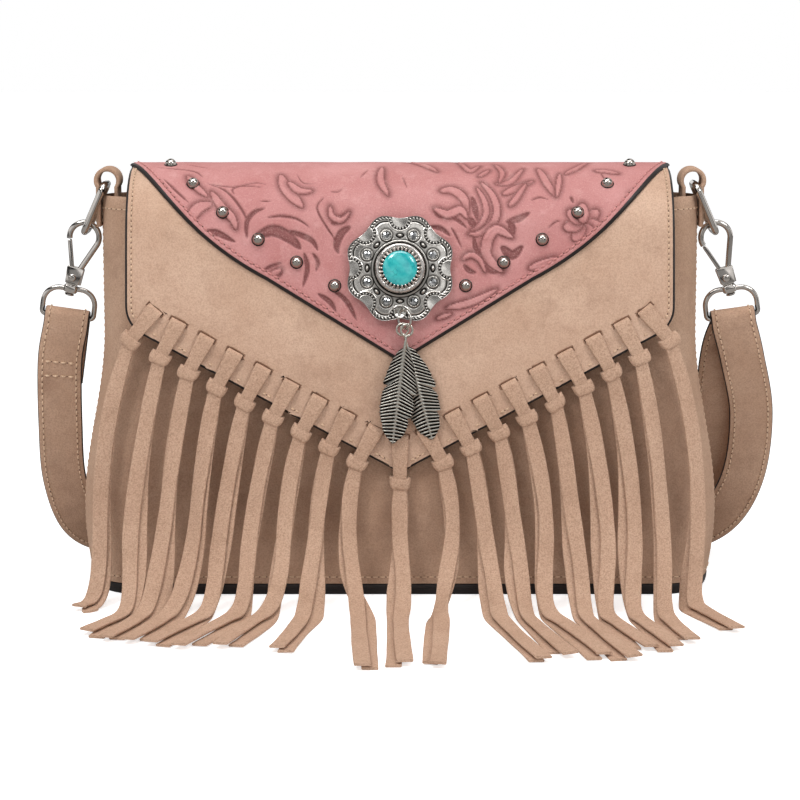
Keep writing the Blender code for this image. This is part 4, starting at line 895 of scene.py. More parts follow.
def stitches(name, path, body, material, style=FINE_STITCH, sink=STITCH_SINK):
    """A row of stitches along a path, each a small sunk loop of thread, with a dark patch of painted shade for a needle
    hole between each two.
    """
    length, pitch, radius = style
    line = StitchLine(path)
    count = int(line.total / pitch)
    random.seed(name)
    build = Build()
    for index in range(count):
        start = (index + 0.5) * line.total / count - length / 2 + random.uniform(-0.0001, 0.0001)
        build.loft(one_stitch(line, start, length, radius, sink, random.uniform(-0.06, 0.06)))
        place, out = line.at((index + 0.98) * line.total / count)
        ahead, _ = line.at((index + 1) * line.total / count + 0.0003)
        along = ahead - place
        if along.length < 1e-7 or index == count - 1:
            continue
        along.normalize()
        across = along.cross(out).normalized()
        # A dark patch just over the leather: painted shade where the needle hole is.
        hole = [
            place + out * HOLE_LIFT + HOLE_HALF_LENGTH * x * along + HOLE_HALF_WIDTH * y * across
            for x, y in circle(1, STITCH_SIDES)
        ]
        build.loft([[point - out * HOLE_DEPTH for point in hole], hole], 1)
    obj = build.make(name, [material, NEEDLE_HOLE_SHADE])
    if body:
        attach(obj, body)
    return obj


def panel_path(facing, height):
    """A level line on the outside of a body panel, with its outward normals."""
    row = plan_half(height, 0.0, facing, GAP / 2)
    path = []
    for index, point in enumerate(row):
        along = row[min(index + 1, len(row) - 1)] - row[max(index - 1, 0)]
        out = Vector((along.y, -along.x, 0)).normalized()
        path.append((point, out if out.y * facing > 0 or abs(out.y) < 0.2 else -out))
    return path


def seam_path(side, facing):
    """A line beside the side seam, from the base up to the mouth."""
    path = []
    for z in levels_between(SEAM_STITCH_LOW_Z, SEAM_STITCH_HIGH_Z, 60):
        flat = half_width(z) - CORNER_RUN
        depth = half_depth(z)
        angle = SEAM_STITCH_OFFSET / depth
        x = side * (flat + CORNER_RUN * math.cos(angle))
        path.append((Vector((x, facing * depth * math.sin(angle), z)), Vector((side, 0, 0))))
    return path


def make_base():
    """The base panel with its dark painted edge, rounded out between its two faces."""
    rings = []
    for row in range(BASE_ROWS + 1):
        turn = math.pi * row / BASE_ROWS
        inset = BASE_EDGE_INSET - BASE_EDGE_SWELL * math.sin(turn) ** 0.6
        rings.append(plan_whole(BASE_THICKNESS * (1 - math.cos(turn)) / 2, inset))
    build = Build()
    build.loft(rings)
    obj = build.make("base_edge", [EDGE], 40)
    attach(obj, "bag")
    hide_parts("base_panel")


def make_lining():
    """The cloth lining: a loose skin with its own floor, sewn in under the mouth."""
    outside = PANEL_THICKNESS + GAP
    floor = BASE_THICKNESS + GAP
    top = BODY_HEIGHT - LINING_DROP
    inner = reversed(levels_between(floor + LINING_THICKNESS, top, LINING_ROWS))
    rings = [plan_whole(z, outside) for z in levels_between(floor, top, LINING_ROWS)]
    rings += [plan_whole(z, outside + LINING_THICKNESS) for z in inner]
    build = Build()
    build.loft(rings)
    obj = build.make("cloth_lining", [LINING_CLOTH], 45)
    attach(obj, "bag")
    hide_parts("lining")


def make_body():
    make_body_panel("front_suede", -1)
    make_body_panel("back_suede", 1)
    make_base()
    make_lining()
    for facing, label in ((-1, "front"), (1, "back")):
        stitches(f"base_stitches_{label}", panel_path(facing, BASE_STITCH_Z), "bag", THREAD)
        for side, hand in ((-1, "left"), (1, "right")):
            path = seam_path(side, facing)
            stitches(f"seam_stitches_{label}_{hand}", path, "bag", THREAD, SEAM_STITCH, SEAM_STITCH_SINK)
    for facing, label in ((1, "back"), (-1, "front")):
        stitches(f"mouth_stitches_{label}", panel_path(facing, BODY_HEIGHT - MOUTH_STITCH_DROP), "bag", THREAD)


# Flap
TASSEL_WIDTH = 0.008
TASSEL_THICKNESS = 0.0012
TASSEL_SLOT_ROOM = 0.00005
EDGE_ROUND = 0.00115
FLAP_ROW_PITCH = 0.0042
FLAP_STITCH_INSET = 0.0037
PATH_PITCH = 0.0006
SHORTEST_RUN = 5
STRIP_CLEAR_HALF = TASSEL_WIDTH / 2 + 0.0006
STRIP_CLEAR_DEPTH = 0.008
BAND_COLUMNS = 60
BAND_ROWS = 12
BAND_STITCH_RISES = (0.003, 0.007)
BAND_STITCH_END = 0.003


def slot_outlines(tassels):
    """The slit that each strip passes through, as corners in u and v."""
    made = []
    half_x = TASSEL_WIDTH / 2 + TASSEL_SLOT_ROOM
    half_y = TASSEL_THICKNESS / 2 + TASSEL_SLOT_ROOM
    for tassel in tassels:
        turn = Matrix.Rotation(-tassel["turn"], 2)
        made.append([tassel["slot"] + turn @ Vector(corner) for corner in box_corners(half_x, half_y)])
    return made


def flat_path(points, lift):
    """A line drawn on the flap's leather, given (u, v), as places and outward normals."""
    return [(on_flap(u, v, lift), flap_out(v)) for u, v in points]


def make_flap(tassels):
    obj = leather_sheet(
        "suede_flap", flap_outline(EDGE_ROUND * BACK_EDGE_SHARE), slot_outlines(tassels), -FLAP_THICKNESS, 0.0,
        [SUEDE_FLAP, FLESH_SIDE, EDGE], FLAP_ROW_PITCH, EDGE_ROUND, GAP, flap_v(FLAP_TIP_Z),
    )
    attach(obj, "flap")
    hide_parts("flap")


def under_a_strip(point, tassels):
    """Whether a flat point near the flap's edge lies under one of the strips."""
    for tassel in tassels:
        off = point - tassel["edge"]
        across = Vector((math.cos(tassel["turn"]), -math.sin(tassel["turn"])))
        if abs(off.dot(across)) < STRIP_CLEAR_HALF and abs(off.dot(tassel["out"])) < STRIP_CLEAR_DEPTH:
            return True
    return False


def make_flap_stitches(tassels):
    """The row just inside the edge; along the fringe it shows only between the strips."""
    runs = [[]]
    for point in even(flap_outline(FLAP_STITCH_INSET, 10), PATH_PITCH):
        if under_a_strip(point, tassels):
            runs.append([])
        else:
            runs[-1].append(point)
    runs = [run for run in runs if len(run) > SHORTEST_RUN]
    made = [
        stitches(f"flap_stitches_{index}", flat_path(run, 0), None, THREAD, FLAP_STITCH)
        for index, run in enumerate(runs)
    ]
    joined = join(made, "flap_edge_stitches")
    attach(joined, "flap")


def join(objects, name):
    """One object out of many with the same materials."""
    bm = bmesh.new()
    for obj in objects:
        bm.from_mesh(obj.data)
    mesh = bpy.data.meshes.new(name)
    bm.to_mesh(mesh)
    bm.free()
    mesh.shade_smooth()
    materials = list(objects[0].data.materials)
    for obj in objects:
        bpy.data.objects.remove(obj)
    return dressed(mesh, materials)


def make_flap_back():
    """The flap's leather sewn down on the back panel, with its painted edge and two rows of stitches."""
    flat_end = TOP_HALF_WIDTH - CORNER_RUN
    far = GAP + FLAP_THICKNESS
    levels = levels_between(FLAP_BAND_FOOT_Z, BODY_HEIGHT - GAP, BAND_ROWS)
    build = Build()
    rings = []
    for column in range(BAND_COLUMNS + 1):
        x = -flat_end + 2 * flat_end * column / BAND_COLUMNS
        ring = [Vector((x, half_depth(z) + far, z)) for z in levels]
        ring[0].y -= EDGE_ROUND * 0.6
        ring += [Vector((x, half_depth(z) + GAP, z)) for z in reversed(levels)]
        rings.append(ring)
    build.loft(rings)
    obj = build.make("flap_back_leather", [SUEDE_FLAP, EDGE], 40)
    for polygon in obj.data.polygons:
        centre = polygon.center
        if abs(centre.x) > flat_end - 0.0005 or centre.z < FLAP_BAND_FOOT_Z + 0.0006:
            polygon.material_index = 1
    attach(obj, "bag")
    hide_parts("flap_back_band")
    rows = []
    for index, rise in enumerate(BAND_STITCH_RISES):
        height = FLAP_BAND_FOOT_Z + rise
        path = [
            (Vector((x, half_depth(height) + far, height)), Vector((0, 1, 0)))
            for x in np.arange(-flat_end + BAND_STITCH_END, flat_end - BAND_STITCH_END, 0.002)
        ]
        rows.append(stitches(f"band_stitches_{index}", path, None, THREAD))
    joined = join(rows, "flap_back_stitches")
    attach(joined, "bag")


# The fold at the hinge
FOLD_LOW_Z = 0.1800
FOLD_END_V = 0.0082
FOLD_OUT = 0.00030
FOLD_IN = 0.00010
FOLD_SUNK = 0.0001
FOLD_SIDE_ROOM = 0.0005
FOLD_HALF_ROWS = 18
FOLD_COLUMNS = 48


def fold_line():
    """The outer face of the fold in y and z with its normals: up the sewn band, then on along the flap."""
    line = []
    for row in range(FOLD_HALF_ROWS):
        z = FOLD_LOW_Z + (BODY_HEIGHT - FOLD_LOW_Z) * row / FOLD_HALF_ROWS
        line.append((Vector((half_depth(z) + GAP + FLAP_THICKNESS, z)), Vector((1, 0))))
    for row in range(FOLD_HALF_ROWS + 1):
        v = FOLD_END_V * row / FOLD_HALF_ROWS
        line.append((on_flap(0, v, 0).yz, flap_out(v).yz))
    return line


def make_flap_fold():
    """The flap's leather where it turns at the back edge: it bends between the sewn band and the flap."""
    band_half = TOP_HALF_WIDTH - CORNER_RUN - FOLD_SIDE_ROOM
    flap_half = FLAP_HALF_WIDTH - FOLD_SIDE_ROOM
    line = fold_line()
    rings = []
    for column in range(FOLD_COLUMNS + 1):
        share = 2 * column / FOLD_COLUMNS - 1
        outer = []
        inner = []
        for row, (place, out) in enumerate(line):
            part = row / (len(line) - 1)
            x = share * (band_half + (flap_half - band_half) * smoothstep(0.45, 0.75, part))
            rise = math.sin(math.pi * part) ** 0.35 if 0 < part < 1 else 0.0
            outer.append(Vector((x, *(place + out * (FOLD_OUT * rise - FOLD_SUNK)))))
            inner.append(Vector((x, *(place - out * (FLAP_THICKNESS + FOLD_IN * rise - FOLD_SUNK)))))
        rings.append(outer + inner[::-1])
    build = Build()
    build.loft(rings)
    obj = build.make("flap_fold_leather", [SUEDE_FLAP, FLESH_SIDE, EDGE], 50)
    count = 2 * len(line)
    strip = [1 if len(line) <= index < count - 1 else 0 for index in range(count)]
    slots = strip * FOLD_COLUMNS
    slots += [2] * (len(obj.data.polygons) - len(slots))
    obj.data.polygons.foreach_set("material_index", slots)
    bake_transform(obj)


# Overlay
def overlay_edge():
    """The right half of the overlay's free edge from its tip up to the crest, in u and v."""
    tip = Vector((0, flap_v(OVERLAY_TIP_Z)))
    bend_start = Vector((OVERLAY_STRAIGHT_U, tip.y - OVERLAY_STRAIGHT_RISE))
    crest = Vector((FLAP_HALF_WIDTH, float(SECTION_V[BACK_ARC_STEPS])))
    across = (crest - bend_start).orthogonal().normalized()
    inwards = across if across.x > 0 else -across
    pull = (bend_start + crest) / 2 + inwards * OVERLAY_CURVE_PULL
    points = [tip + (bend_start - tip) * step / 12 for step in range(12)]
    for step in range(25):
        part = step / 24
        points.append(bend_start * (1 - part) ** 2 + pull * 2 * part * (1 - part) + crest * part**2)
    return points


# Strokes of the tooled ornament, in millimetres as the camera sees them: across from the middle, and down
# from the crest. Each is its width and the points of its spine. Sunk ones are pressed ground and grooves.
SUNK_STROKES = (
    (3.0, ((15.5, 22), (18.5, 24), (25, 25), (31.5, 30))),
    (3.4, ((33.5, 15.5), (35, 21.5), (36, 26.5))),
    (4.0, ((32, 25.5), (35, 29))),
    (3.5, ((49, 27), (55, 25.5), (60.5, 22.5))),
    (4.0, ((51, 27), (52, 30), (52, 34))),
    (3.2, ((34, 32.7), (35, 38.7), (37.5, 44.5), (41, 50), (46, 51.2))),
    (4.8, ((47, 38.5), (52, 42.5), (57, 38))),
    (1.4, ((23.5, 29), (26, 33.5), (29, 40))),
    (2.6, ((14, 29), (19, 30), (23.5, 33.5))),
    (2.8, ((29.5, 47), (32, 50), (35.5, 51))),
    (1.1, ((68.5, 30), (72, 27), (75.5, 26))),
    (1.2, ((60.5, 17.5), (65, 16), (69.5, 17))),
    (1.2, ((93.5, 4.7), (97, 10.5))),
    (1.2, ((83.5, 35), (84, 41))),
    (2.0, ((87.5, 34), (92, 34.5))),
    (2.0, ((79.5, 15.5), (80.5, 18.5))),
    (1.0, ((53, 56), (51, 59))),
    (1.0, ((1, 7), (3.5, 12.5))),
    (1.6, ((-90.5, 10), (-81.5, 13), (-74.5, 20), (-71, 27), (-72, 36))),
    (1.1, ((-90.5, 10), (-78, 11.5), (-67.5, 9.8), (-62, 10.7))),
    (1.2, ((-77, 15), (-78, 12.5), (-73, 11), (-62, 12))),
    (3.6, ((-91.5, 32), (-85, 32), (-76, 36.5))),
    (2.6, ((-71, 35), (-71, 27), (-67.5, 22.5), (-62.5, 20.7))),
    (6.0, ((-66.5, 33.5), (-58.5, 31), (-51, 34.5), (-46, 39.7))),
    (3.0, ((-52, 31), (-46, 33), (-40.5, 36), (-38, 40.6))),
    (1.6, ((-61.5, 25), (-55, 24.3), (-47.5, 25.7), (-41, 30))),
    (2.0, ((-64, 50.5), (-60, 48), (-54.5, 46))),
    (1.6, ((-56.5, 53.5), (-54, 50.5))),
    (2.8, ((-44.5, 41.5), (-43, 49), (-45, 58))),
    (2.2, ((-40.5, 41.5), (-38, 46), (-39, 50.5))),
    (2.8, ((-38, 61), (-32.5, 65), (-29.5, 70))),
    (2.8, ((-31, 59), (-24.5, 65), (-20, 74))),
    (1.0, ((-65.5, 17.5), (-59, 18))),
    (1.0, ((-33, 13.4), (-29, 13.6), (-26, 11.6))),
    (1.0, ((-48.5, 6.2), (-45, 9.8), (-37.5, 10.2))),
    (1.0, ((-19, 8), (-14.5, 4))),
    (1.4, ((-35, 15.7), (-38.3, 19.5), (-37.5, 23.5), (-33.5, 30), (-30.5, 35), (-30, 41.5))),
    (4.6, ((-32, 27.5), (-26, 25), (-23, 22))),
    (4.0, ((-23, 29), (-27, 32), (-29.3, 37.5), (-28.5, 42))),
    (1.6, ((-111, 8), (-104, 13.5), (-98, 18.5))),
    (1.3, ((-117, 3.5), (-98, 4.8), (-91.5, 8))),
    (1.2, ((-101, 2.5), (-90.5, 4))),
    (1.2, ((-113, 7.5), (-107, 14), (-101, 20))),
)
RAISED_STROKES = (
    (3.8, ((19, 13), (25, 13), (30, 17), (31, 24))),
    (3.5, ((16, 21), (22, 23.5), (28, 21.5), (31, 25))),
    (2.4, ((36, 12), (39, 17), (40, 23), (37, 28.5), (33, 31))),
    (3.0, ((38, 9.5), (43, 15), (45, 21.5), (43, 27.5), (37, 32), (32, 32.5))),
    (2.5, ((45, 10), (52, 9), (58, 4))),
    (3.0, ((48, 14.5), (54, 12), (62, 9))),
    (2.6, ((51, 19.5), (54, 16.5), (59, 10))),
    (2.0, ((45, 2.5), (48, 5.5), (46.5, 9.5))),
    (1.8, ((37, 7), (42, 4.5))),
    (2.5, ((5, 1.5), (12.5, 3), (17.5, 5))),
    (2.2, ((27.5, 1.5), (32.5, 4.7), (37.5, 3))),
    (3.2, ((65, 4), (68.5, 9.5), (72.5, 15.5))),
    (2.2, ((75, 6), (74, 11), (73, 15.5))),
    (4.5, ((52, 34), (45, 30.5), (41, 34.5), (40, 42), (43.5, 47), (47.5, 50.5))),
    (2.4, ((29, 44.5), (33, 42.5), (37, 45), (39.5, 50.5))),
    (3.4, ((60, 49), (67, 46.5), (73.5, 44))),
    (3.0, ((21.5, 68), (33.5, 65), (45, 59))),
    (1.8, ((17, 73), (24, 70.5))),
    (2.4, ((107, 15), (112, 12.5))),
    (2.2, ((77.5, 6), (83.5, 3.7), (88.5, 2))),
    (2.0, ((92, 4.7), (97, 5), (102.5, 5.8))),
    (4.9, ((-56, 6.5), (-53.5, 11.5), (-49.5, 16), (-45.5, 20))),
    (3.2, ((-52, 9.5), (-47, 13), (-41, 13.2))),
    (5.0, ((-97.5, 26.5), (-94, 21), (-87.5, 18.5))),
    (3.6, ((-88, 13.5), (-83, 20), (-78, 25), (-76, 30))),
    (2.4, ((-32.5, 20), (-31.5, 24.5), (-27, 26), (-23.5, 22.5))),
    (3.2, ((-8.5, 3.5), (-9, 9), (-5.5, 15))),
    (3.0, ((-99.5, 7), (-95, 11.5), (-89.7, 15.5))),
    (2.4, ((-60, 52), (-55, 49.5))),
)
FLOWER_MIDDLE = (85, 27.7)
FLOWER_TURNS = (40, -10, -58, -118, -168, 140, 92)
FLOWER_PETAL_REACHES = (1.5, 5, 8.5)
FLOWER_PETAL_WIDTH = 5.2

OVERLAY_TOP = GAP + OVERLAY_THICKNESS + 0.00025
OVERLAY_PITCH = 0.00055
OVERLAY_LIP = 0.0026
OVERLAY_STITCH_INSET = 0.0036
OVERLAY_CORNER = 0.0045
OVERLAY_FADE = (0.0028, 0.0052)
STITCH_GROOVE_DEPTH = 0.00022
STITCH_GROOVE_WIDTH = 0.00055
# Depths at which the darkening of the grooves, dark wax with painted shade, starts and becomes full.
GROOVE_SHOWS_FROM = 0.00012
GROOVE_FULL_OVER = 0.00052
SKIN_WAVE = 0.00010
STROKE_REACH = 0.0045
LEAF_RISE = 0.00040
LEAF_SLOPE = 0.0009
LEAF_EDGE = 0.00018
LEAF_VEIN_DEPTH = 0.00030
LEAF_VEIN_WIDTH = 0.00042
LEAF_VEIN_MARGIN = 0.0006
MOAT_DEPTH = 0.00080
MOAT_WIDTH = 0.0016
# How far the darkened ground, dark wax with painted shade, reaches out from a raised leaf.
GROUND_WIDTH = 0.0018
SUNK_DEPTH = 0.00072
SUNK_CROWN = 0.00022
SUNK_LIP = 0.00018


def seen_place(across, down):
    """A place on the flap's leather, in u and v, where the camera sees it."""
    level = FLAP_CREST_Z - down / 1000
    for _ in range(4):
        forward = FLAP_CREST_Y - front_face_y(min(level, FLAP_CREST_Z - 0.0005))
        level = FLAP_CREST_Z - down / 1000 + forward * (CAMERA_PLACE[2] - level) / -CAMERA_PLACE[1]
    return across / 1000, flap_v(level)


def stroke_field(spine, width, u, v):
    """How deep each point lies inside a stroke that tapers to both ends, and how far it is from its spine."""
    line = np.array([point[:2] for point in curve_through([(*place, 0) for place in spine], 7)])
    share = np.linspace(0, 1, len(line))
    half = width / 2 * np.sqrt(np.clip(4 * share * (1 - share), 0.02, 1)) * (1.15 - 0.3 * share)
    inside = np.full(len(u), -1.0)
    away = np.full(len(u), 1.0)
    for start, end, half_start, half_end in zip(line, line[1:], half, half[1:]):
        along = end - start
        part = ((u - start[0]) * along[0] + (v - start[1]) * along[1]) / max(along @ along, 1e-12)
        part = np.clip(part, 0, 1)
        distance = np.hypot(u - start[0] - along[0] * part, v - start[1] - along[1] * part)
        inside = np.maximum(inside, half_start + (half_end - half_start) * part - distance)
        away = np.minimum(away, distance)
    return inside, away


def flower_strokes():
    """The petals of the small flower, as raised strokes."""
    x, y = FLOWER_MIDDLE
    made = []
    for angle in map(math.radians, FLOWER_TURNS):
        spine = tuple((x + far * math.cos(angle), y - far * math.sin(angle)) for far in FLOWER_PETAL_REACHES)
        made.append((FLOWER_PETAL_WIDTH, spine))
    return made


def raised_stroke(height, ground_wax_and_shade, inside, away):
    """A raised leaf: its crown with a vein along it, and the moat and ground pressed down round it."""
    vein = LEAF_VEIN_DEPTH * np.exp(-((away / LEAF_VEIN_WIDTH) ** 2)) * (inside > LEAF_VEIN_MARGIN)
    crown = LEAF_RISE * smoothstep(0, LEAF_SLOPE, inside) - vein
    outside = np.clip(-inside, 0, 1)
    moat = 0.00002 - MOAT_DEPTH * np.exp(-outside / MOAT_WIDTH)
    leaf = smoothstep(-LEAF_EDGE, LEAF_EDGE, inside)
    # The ground round the leaf is darkened, as dark wax and painted shade round what stands proud.
    pressed = np.maximum(ground_wax_and_shade, 0.8 * np.exp(-outside / GROUND_WIDTH))
    return np.minimum(height, moat) * (1 - leaf) + crown * leaf, pressed * (1 - leaf)


def sunk_stroke(height, ground_wax_and_shade, inside):
    """A groove or a patch of pressed ground, with the lip that its tool throws up."""
    floor = -SUNK_DEPTH * smoothstep(-0.0002, 0.0006, inside)
    floor += SUNK_CROWN * smoothstep(0.0007, 0.0020, inside)
    lip = SUNK_LIP * np.exp(-(((inside + 0.0007) / 0.0005) ** 2))
    # A sunk patch counts as darkened ground: dark wax with painted shade.
    return np.minimum(height, floor) + lip, np.maximum(ground_wax_and_shade, smoothstep(0, 0.0006, inside))


def overlay_relief(u, v):
    """The tooled surface over a level leather: its height, and how far it is pressed ground, darkened by dark wax and
    painted shade.
    """
    height = SKIN_WAVE * np.sin(u * 210 + 1.3) * np.sin(v * 260)
    ground_wax_and_shade = np.zeros(len(u))
    strokes = [(width, spine, False) for width, spine in SUNK_STROKES]
    strokes += [(width, spine, True) for width, spine in (*RAISED_STROKES, *flower_strokes())]
    for width, spine, raised in strokes:
        places = [seen_place(*point) for point in spine]
        reach = width / 1000 + STROKE_REACH
        low = np.min(places, axis=0) - reach
        high = np.max(places, axis=0) + reach
        near = np.nonzero((u > low[0]) & (u < high[0]) & (v > low[1]) & (v < high[1]))[0]
        inside, away = stroke_field(places, width / 1000, u[near], v[near])
        if raised:
            height[near], ground_wax_and_shade[near] = raised_stroke(height[near], ground_wax_and_shade[near], inside, away)
        else:
            height[near], ground_wax_and_shade[near] = sunk_stroke(height[near], ground_wax_and_shade[near], inside)
    return height, ground_wax_and_shade


def overlay_outline(inset):
    """The right half of the overlay's outline, from its tip round the corner to the middle of its back edge."""
    edge = overlay_edge()
    corner_points = [edge[-2], edge[-1], Vector((FLAP_HALF_WIDTH, OVERLAY_START)), Vector((0, OVERLAY_START))]
    radii = (0, OVERLAY_CORNER, OVERLAY_CORNER, 0)
    turned = rounded(corner_points, radii, 8, closed=False)
    line = even(edge[:-2] + turned[:-1] + [corner_points[-1]], 0.0008)
    tip_lean = (line[1] - line[0]).normalized()
    moved = []
    for index, point in enumerate(line):
        along = (line[min(index + 1, len(line) - 1)] - line[max(index - 1, 0)]).normalized()
        place = point + Vector((along.y, -along.x)) * inset
        if place.x < 0:
            place = Vector((0, line[0].y - inset / abs(tip_lean.x)))
        moved.append(place)
    moved[0] = Vector((0, line[0].y - inset / abs(tip_lean.x)))
    return moved


def whole_overlay_outline(inset):
    half = overlay_outline(inset)
    return half + [Vector((-point.x, point.y)) for point in reversed(half[1:-1])]


def free_edge(inset):
    """The right half of the overlay's outline as far as its widest place."""
    line = overlay_outline(inset)
    widest = max(range(len(line)), key=lambda index: line[index].x)
    return line[: widest + 1]


def distance_to_outline(u, v):
    """How far each point lies from the overlay's outline, or 1 where it is far off."""
    outline = np.array(whole_overlay_outline(0.0))
    nearest = np.full(len(u), 1.0)
    for start, end in zip(outline, np.roll(outline, -1, axis=0)):
        along = end - start
        near = np.abs(u - (start[0] + end[0]) / 2) < 0.009
        off_u = u[near] - start[0]
        off_v = v[near] - start[1]
        part = np.clip((off_u * along[0] + off_v * along[1]) / max(along @ along, 1e-12), 0, 1)
        nearest[near] = np.minimum(nearest[near], np.hypot(off_u - along[0] * part, off_v - along[1] * part))
    return nearest


def make_overlay():
    """The tooled leather: a relief grid inside its lip, and the lip with the dark edge round it, edge paint with
    painted shadow.
    """
    curve = free_edge(OVERLAY_LIP)
    half = curve[-1].x
    columns = int(2 * half / OVERLAY_PITCH)
    u_line = np.linspace(-half, half, columns + 1)
    end_v = np.interp(np.abs(u_line), [point.x for point in curve], [point.y for point in curve])
    back_v = OVERLAY_START + OVERLAY_LIP
    rows = int((end_v.max() - back_v) / OVERLAY_PITCH) + 1
    v_line = back_v + OVERLAY_PITCH * np.arange(rows + 1)
    u_grid, v_grid = np.meshgrid(u_line, v_line, indexing="ij")
    v_grid = np.minimum(v_grid, end_v[:, None])
    u = u_grid.ravel()
    v = v_grid.ravel()
    height, ground_wax_and_shade = overlay_relief(u, v)
    to_edge = distance_to_outline(u, v)
    fade = smoothstep(*OVERLAY_FADE, to_edge)
    height = height * fade - STITCH_GROOVE_DEPTH * bump_of(to_edge - OVERLAY_STITCH_INSET, STITCH_GROOVE_WIDTH)
    # How far each point is darkened in the grooves, as dark wax and painted shade: the deeper it lies, the darker.
    groove_shade = np.clip((-height - GROOVE_SHOWS_FROM) / GROOVE_FULL_OVER, 0, 1)
    faces = []
    wide = rows + 1
    for column in range(columns):
        for row in range(rows):
            if v_grid[column, row] >= end_v[column] and v_grid[column + 1, row] >= end_v[column + 1]:
                break
            first = column * wide + row
            faces.append((first, first + 1, first + wide + 1, first + wide))
    points = wrap(np.column_stack([u, v, OVERLAY_TOP + height]))
    mesh = bpy.data.meshes.new("tooled_overlay")
    mesh.from_pydata(points.tolist(), [], faces)
    float_attribute(mesh, "groove_shade", groove_shade)
    float_attribute(mesh, "ground_wax_and_shade", ground_wax_and_shade * fade)
    mesh.update()
    if mesh.polygons[len(mesh.polygons) // 2].normal.y > 0:
        mesh.flip_normals()
    mesh.shade_smooth()
    obj = dressed(mesh, [TOOLED])
    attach(obj, "flap")
    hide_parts("flap_overlay")
    make_overlay_rim()
    line = even(free_edge(OVERLAY_STITCH_INSET), PATH_PITCH)
    both = [Vector((-point.x, point.y)) for point in reversed(line)] + line[1:]
    path = flat_path(both, OVERLAY_TOP - 0.0002)
    row = stitches("overlay_stitches", path, "flap", PINK_THREAD, OVERLAY_STITCH)


def make_overlay_rim():
    """The overlay's dark bevelled edge, which is edge paint and painted shadow under the edge, and the smooth lip
    inside it, as (inset, height, material) from the foot in.
    """
    top = OVERLAY_TOP
    # The outer bands, out to 1.6 mm in, are dark: edge paint that also stands for the shadow under the overlay's edge.
    profile = (
        (0.0, GAP, 0), (0.00005, GAP + 0.00045, 0), (0.0004, top - 0.00075, 0), (0.0009, top - 0.00045, 0),
        (0.0016, top - 0.00026, 0), (0.0018, top - 0.00018, 1), (0.0020, top - 0.00002, 1),
        (0.0023, top + 0.00003, 1), (0.0030, top - 0.00003, 1), (0.0034, top - 0.0008, 1),
    )
    rings = []
    for inset, w, _ in profile:
        rings.append([Vector(point) for point in wrap([(*point, w) for point in whole_overlay_outline(inset)])])
    build = Build()
    build.loft(rings, caps=False)
    build.slots = [finish for _, _, finish in profile[1:] for _ in rings[0]]
    obj = build.make("overlay_edge", [EDGE, TOOLED])
    if obj.data.polygons[0].normal.y > 0 and obj.data.polygons[0].center.z < 0.15:
        obj.data.flip_normals()
    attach(obj, "flap")


def v_beside(y, z, w):
    """How far along the leather a piece sits whose middle is at y and z, and w out of the face."""
    places = SECTION + SECTION_OUT * w
    nearest = int(np.argmin(np.hypot(places[:, 0] - y, places[:, 1] - z)))
    spread = slice(max(nearest - 1, 0), nearest + 2)
    fine = np.linspace(SECTION_V[spread][0], SECTION_V[spread][-1], 60)
    ys = np.interp(fine, SECTION_V, places[:, 0])
    zs = np.interp(fine, SECTION_V, places[:, 1])
    return float(fine[int(np.argmin(np.hypot(ys - y, zs - z)))])


STUDS_A_SIDE = 6
STUD_RADIUS = 0.0027
STUD_FOOT = 0.0006
STUD_DOME = 0.0024
STUD_MIDDLE = 0.0015
STUD_SINK = 0.0001


def stud_profile():
    """The dome from its sunk foot up to its top."""
    dome = [(STUD_RADIUS, -0.0004), (STUD_RADIUS, STUD_FOOT)]
    for step in range(1, 12):
        turn = math.radians(7.5 * step)
        dome.append((STUD_RADIUS * 0.96 * math.cos(turn), STUD_FOOT + STUD_DOME * math.sin(turn)))
    return dome + [(STUD_RADIUS * 0.02, STUD_FOOT + STUD_DOME)]


def make_studs():
    """Polished domes, each on its own thin dark ring, pressed into the leather where its node is."""
    collar = [
        (STUD_RADIUS, -0.0002), (STUD_RADIUS * 1.16, 0.0001), (STUD_RADIUS * 1.12, 0.0004), (STUD_RADIUS, 0.0005),
    ]
    for label in ("left", "right"):
        for index in range(1, STUDS_A_SIDE + 1):
            low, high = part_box(f"stud_{label}_{index}")
            x, y, z = [(a + b) / 2 for a, b in zip(low, high)]
            seat = seat_on_flap(x, v_beside(y, z, OVERLAY_TOP + STUD_MIDDLE), OVERLAY_TOP - STUD_SINK)
            build = Build()
            build.dome(seat, stud_profile(), 28)
            build.dome(seat, collar, 28, 1)
            obj = build.make(f"dome_stud_{label}_{index}", [STUD_METAL, STUD_DARK])
            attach(obj, "flap")
            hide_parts(f"stud_{label}_{index}")


# Concho
CONCHO_Z = 0.155
CONCHO_RADIUS = 0.0243
CONCHO_LOBES = 8
CONCHO_LOBE_DEPTH = 0.0012
CONCHO_TURNS = 720
CONCHO_RINGS = 84
CONCHO_INNER_RADIUS = 0.008
CONCHO_DARK = (0.02, 0.50)
BEAD_RING = 0.0152
LINE_INSET = 0.00255
ROPE_INSET = 0.00095
ROPE_TWISTS = 96
RIM_BAND = (0.0021, 0.0017)
BESIDE_RIM = (0.0012, 0.0018)
NOTCH_SHIFT = 0.0012
NOTCH_BAND = (0.0019, 0.0016)
NOTCH_TICKS = 19
COLLAR_RADIUS = 0.0127
CONCHO_STAND = 0.0016
CONCHO_THICKNESS = 0.0011
CONCHO_CROWN = 0.0016
NOTCH_RADIUS = 0.0034
NOTCH_RING = 0.0215
CRYSTAL_RING = 0.0165
CRYSTAL_RADIUS = 0.0021
BEZEL_RADIUS = 0.0115
BEZEL_HEIGHT = 0.0022
BEZEL_FLOOR_RADIUS = 0.0096
STONE_RADIUS = 0.0080
STONE_CROWN = 0.0030
STONE_TEETH = 30
CHARM_HOLE_RADIUS = 0.0022
CHARM_HOLE_OFFSET = 0.0203


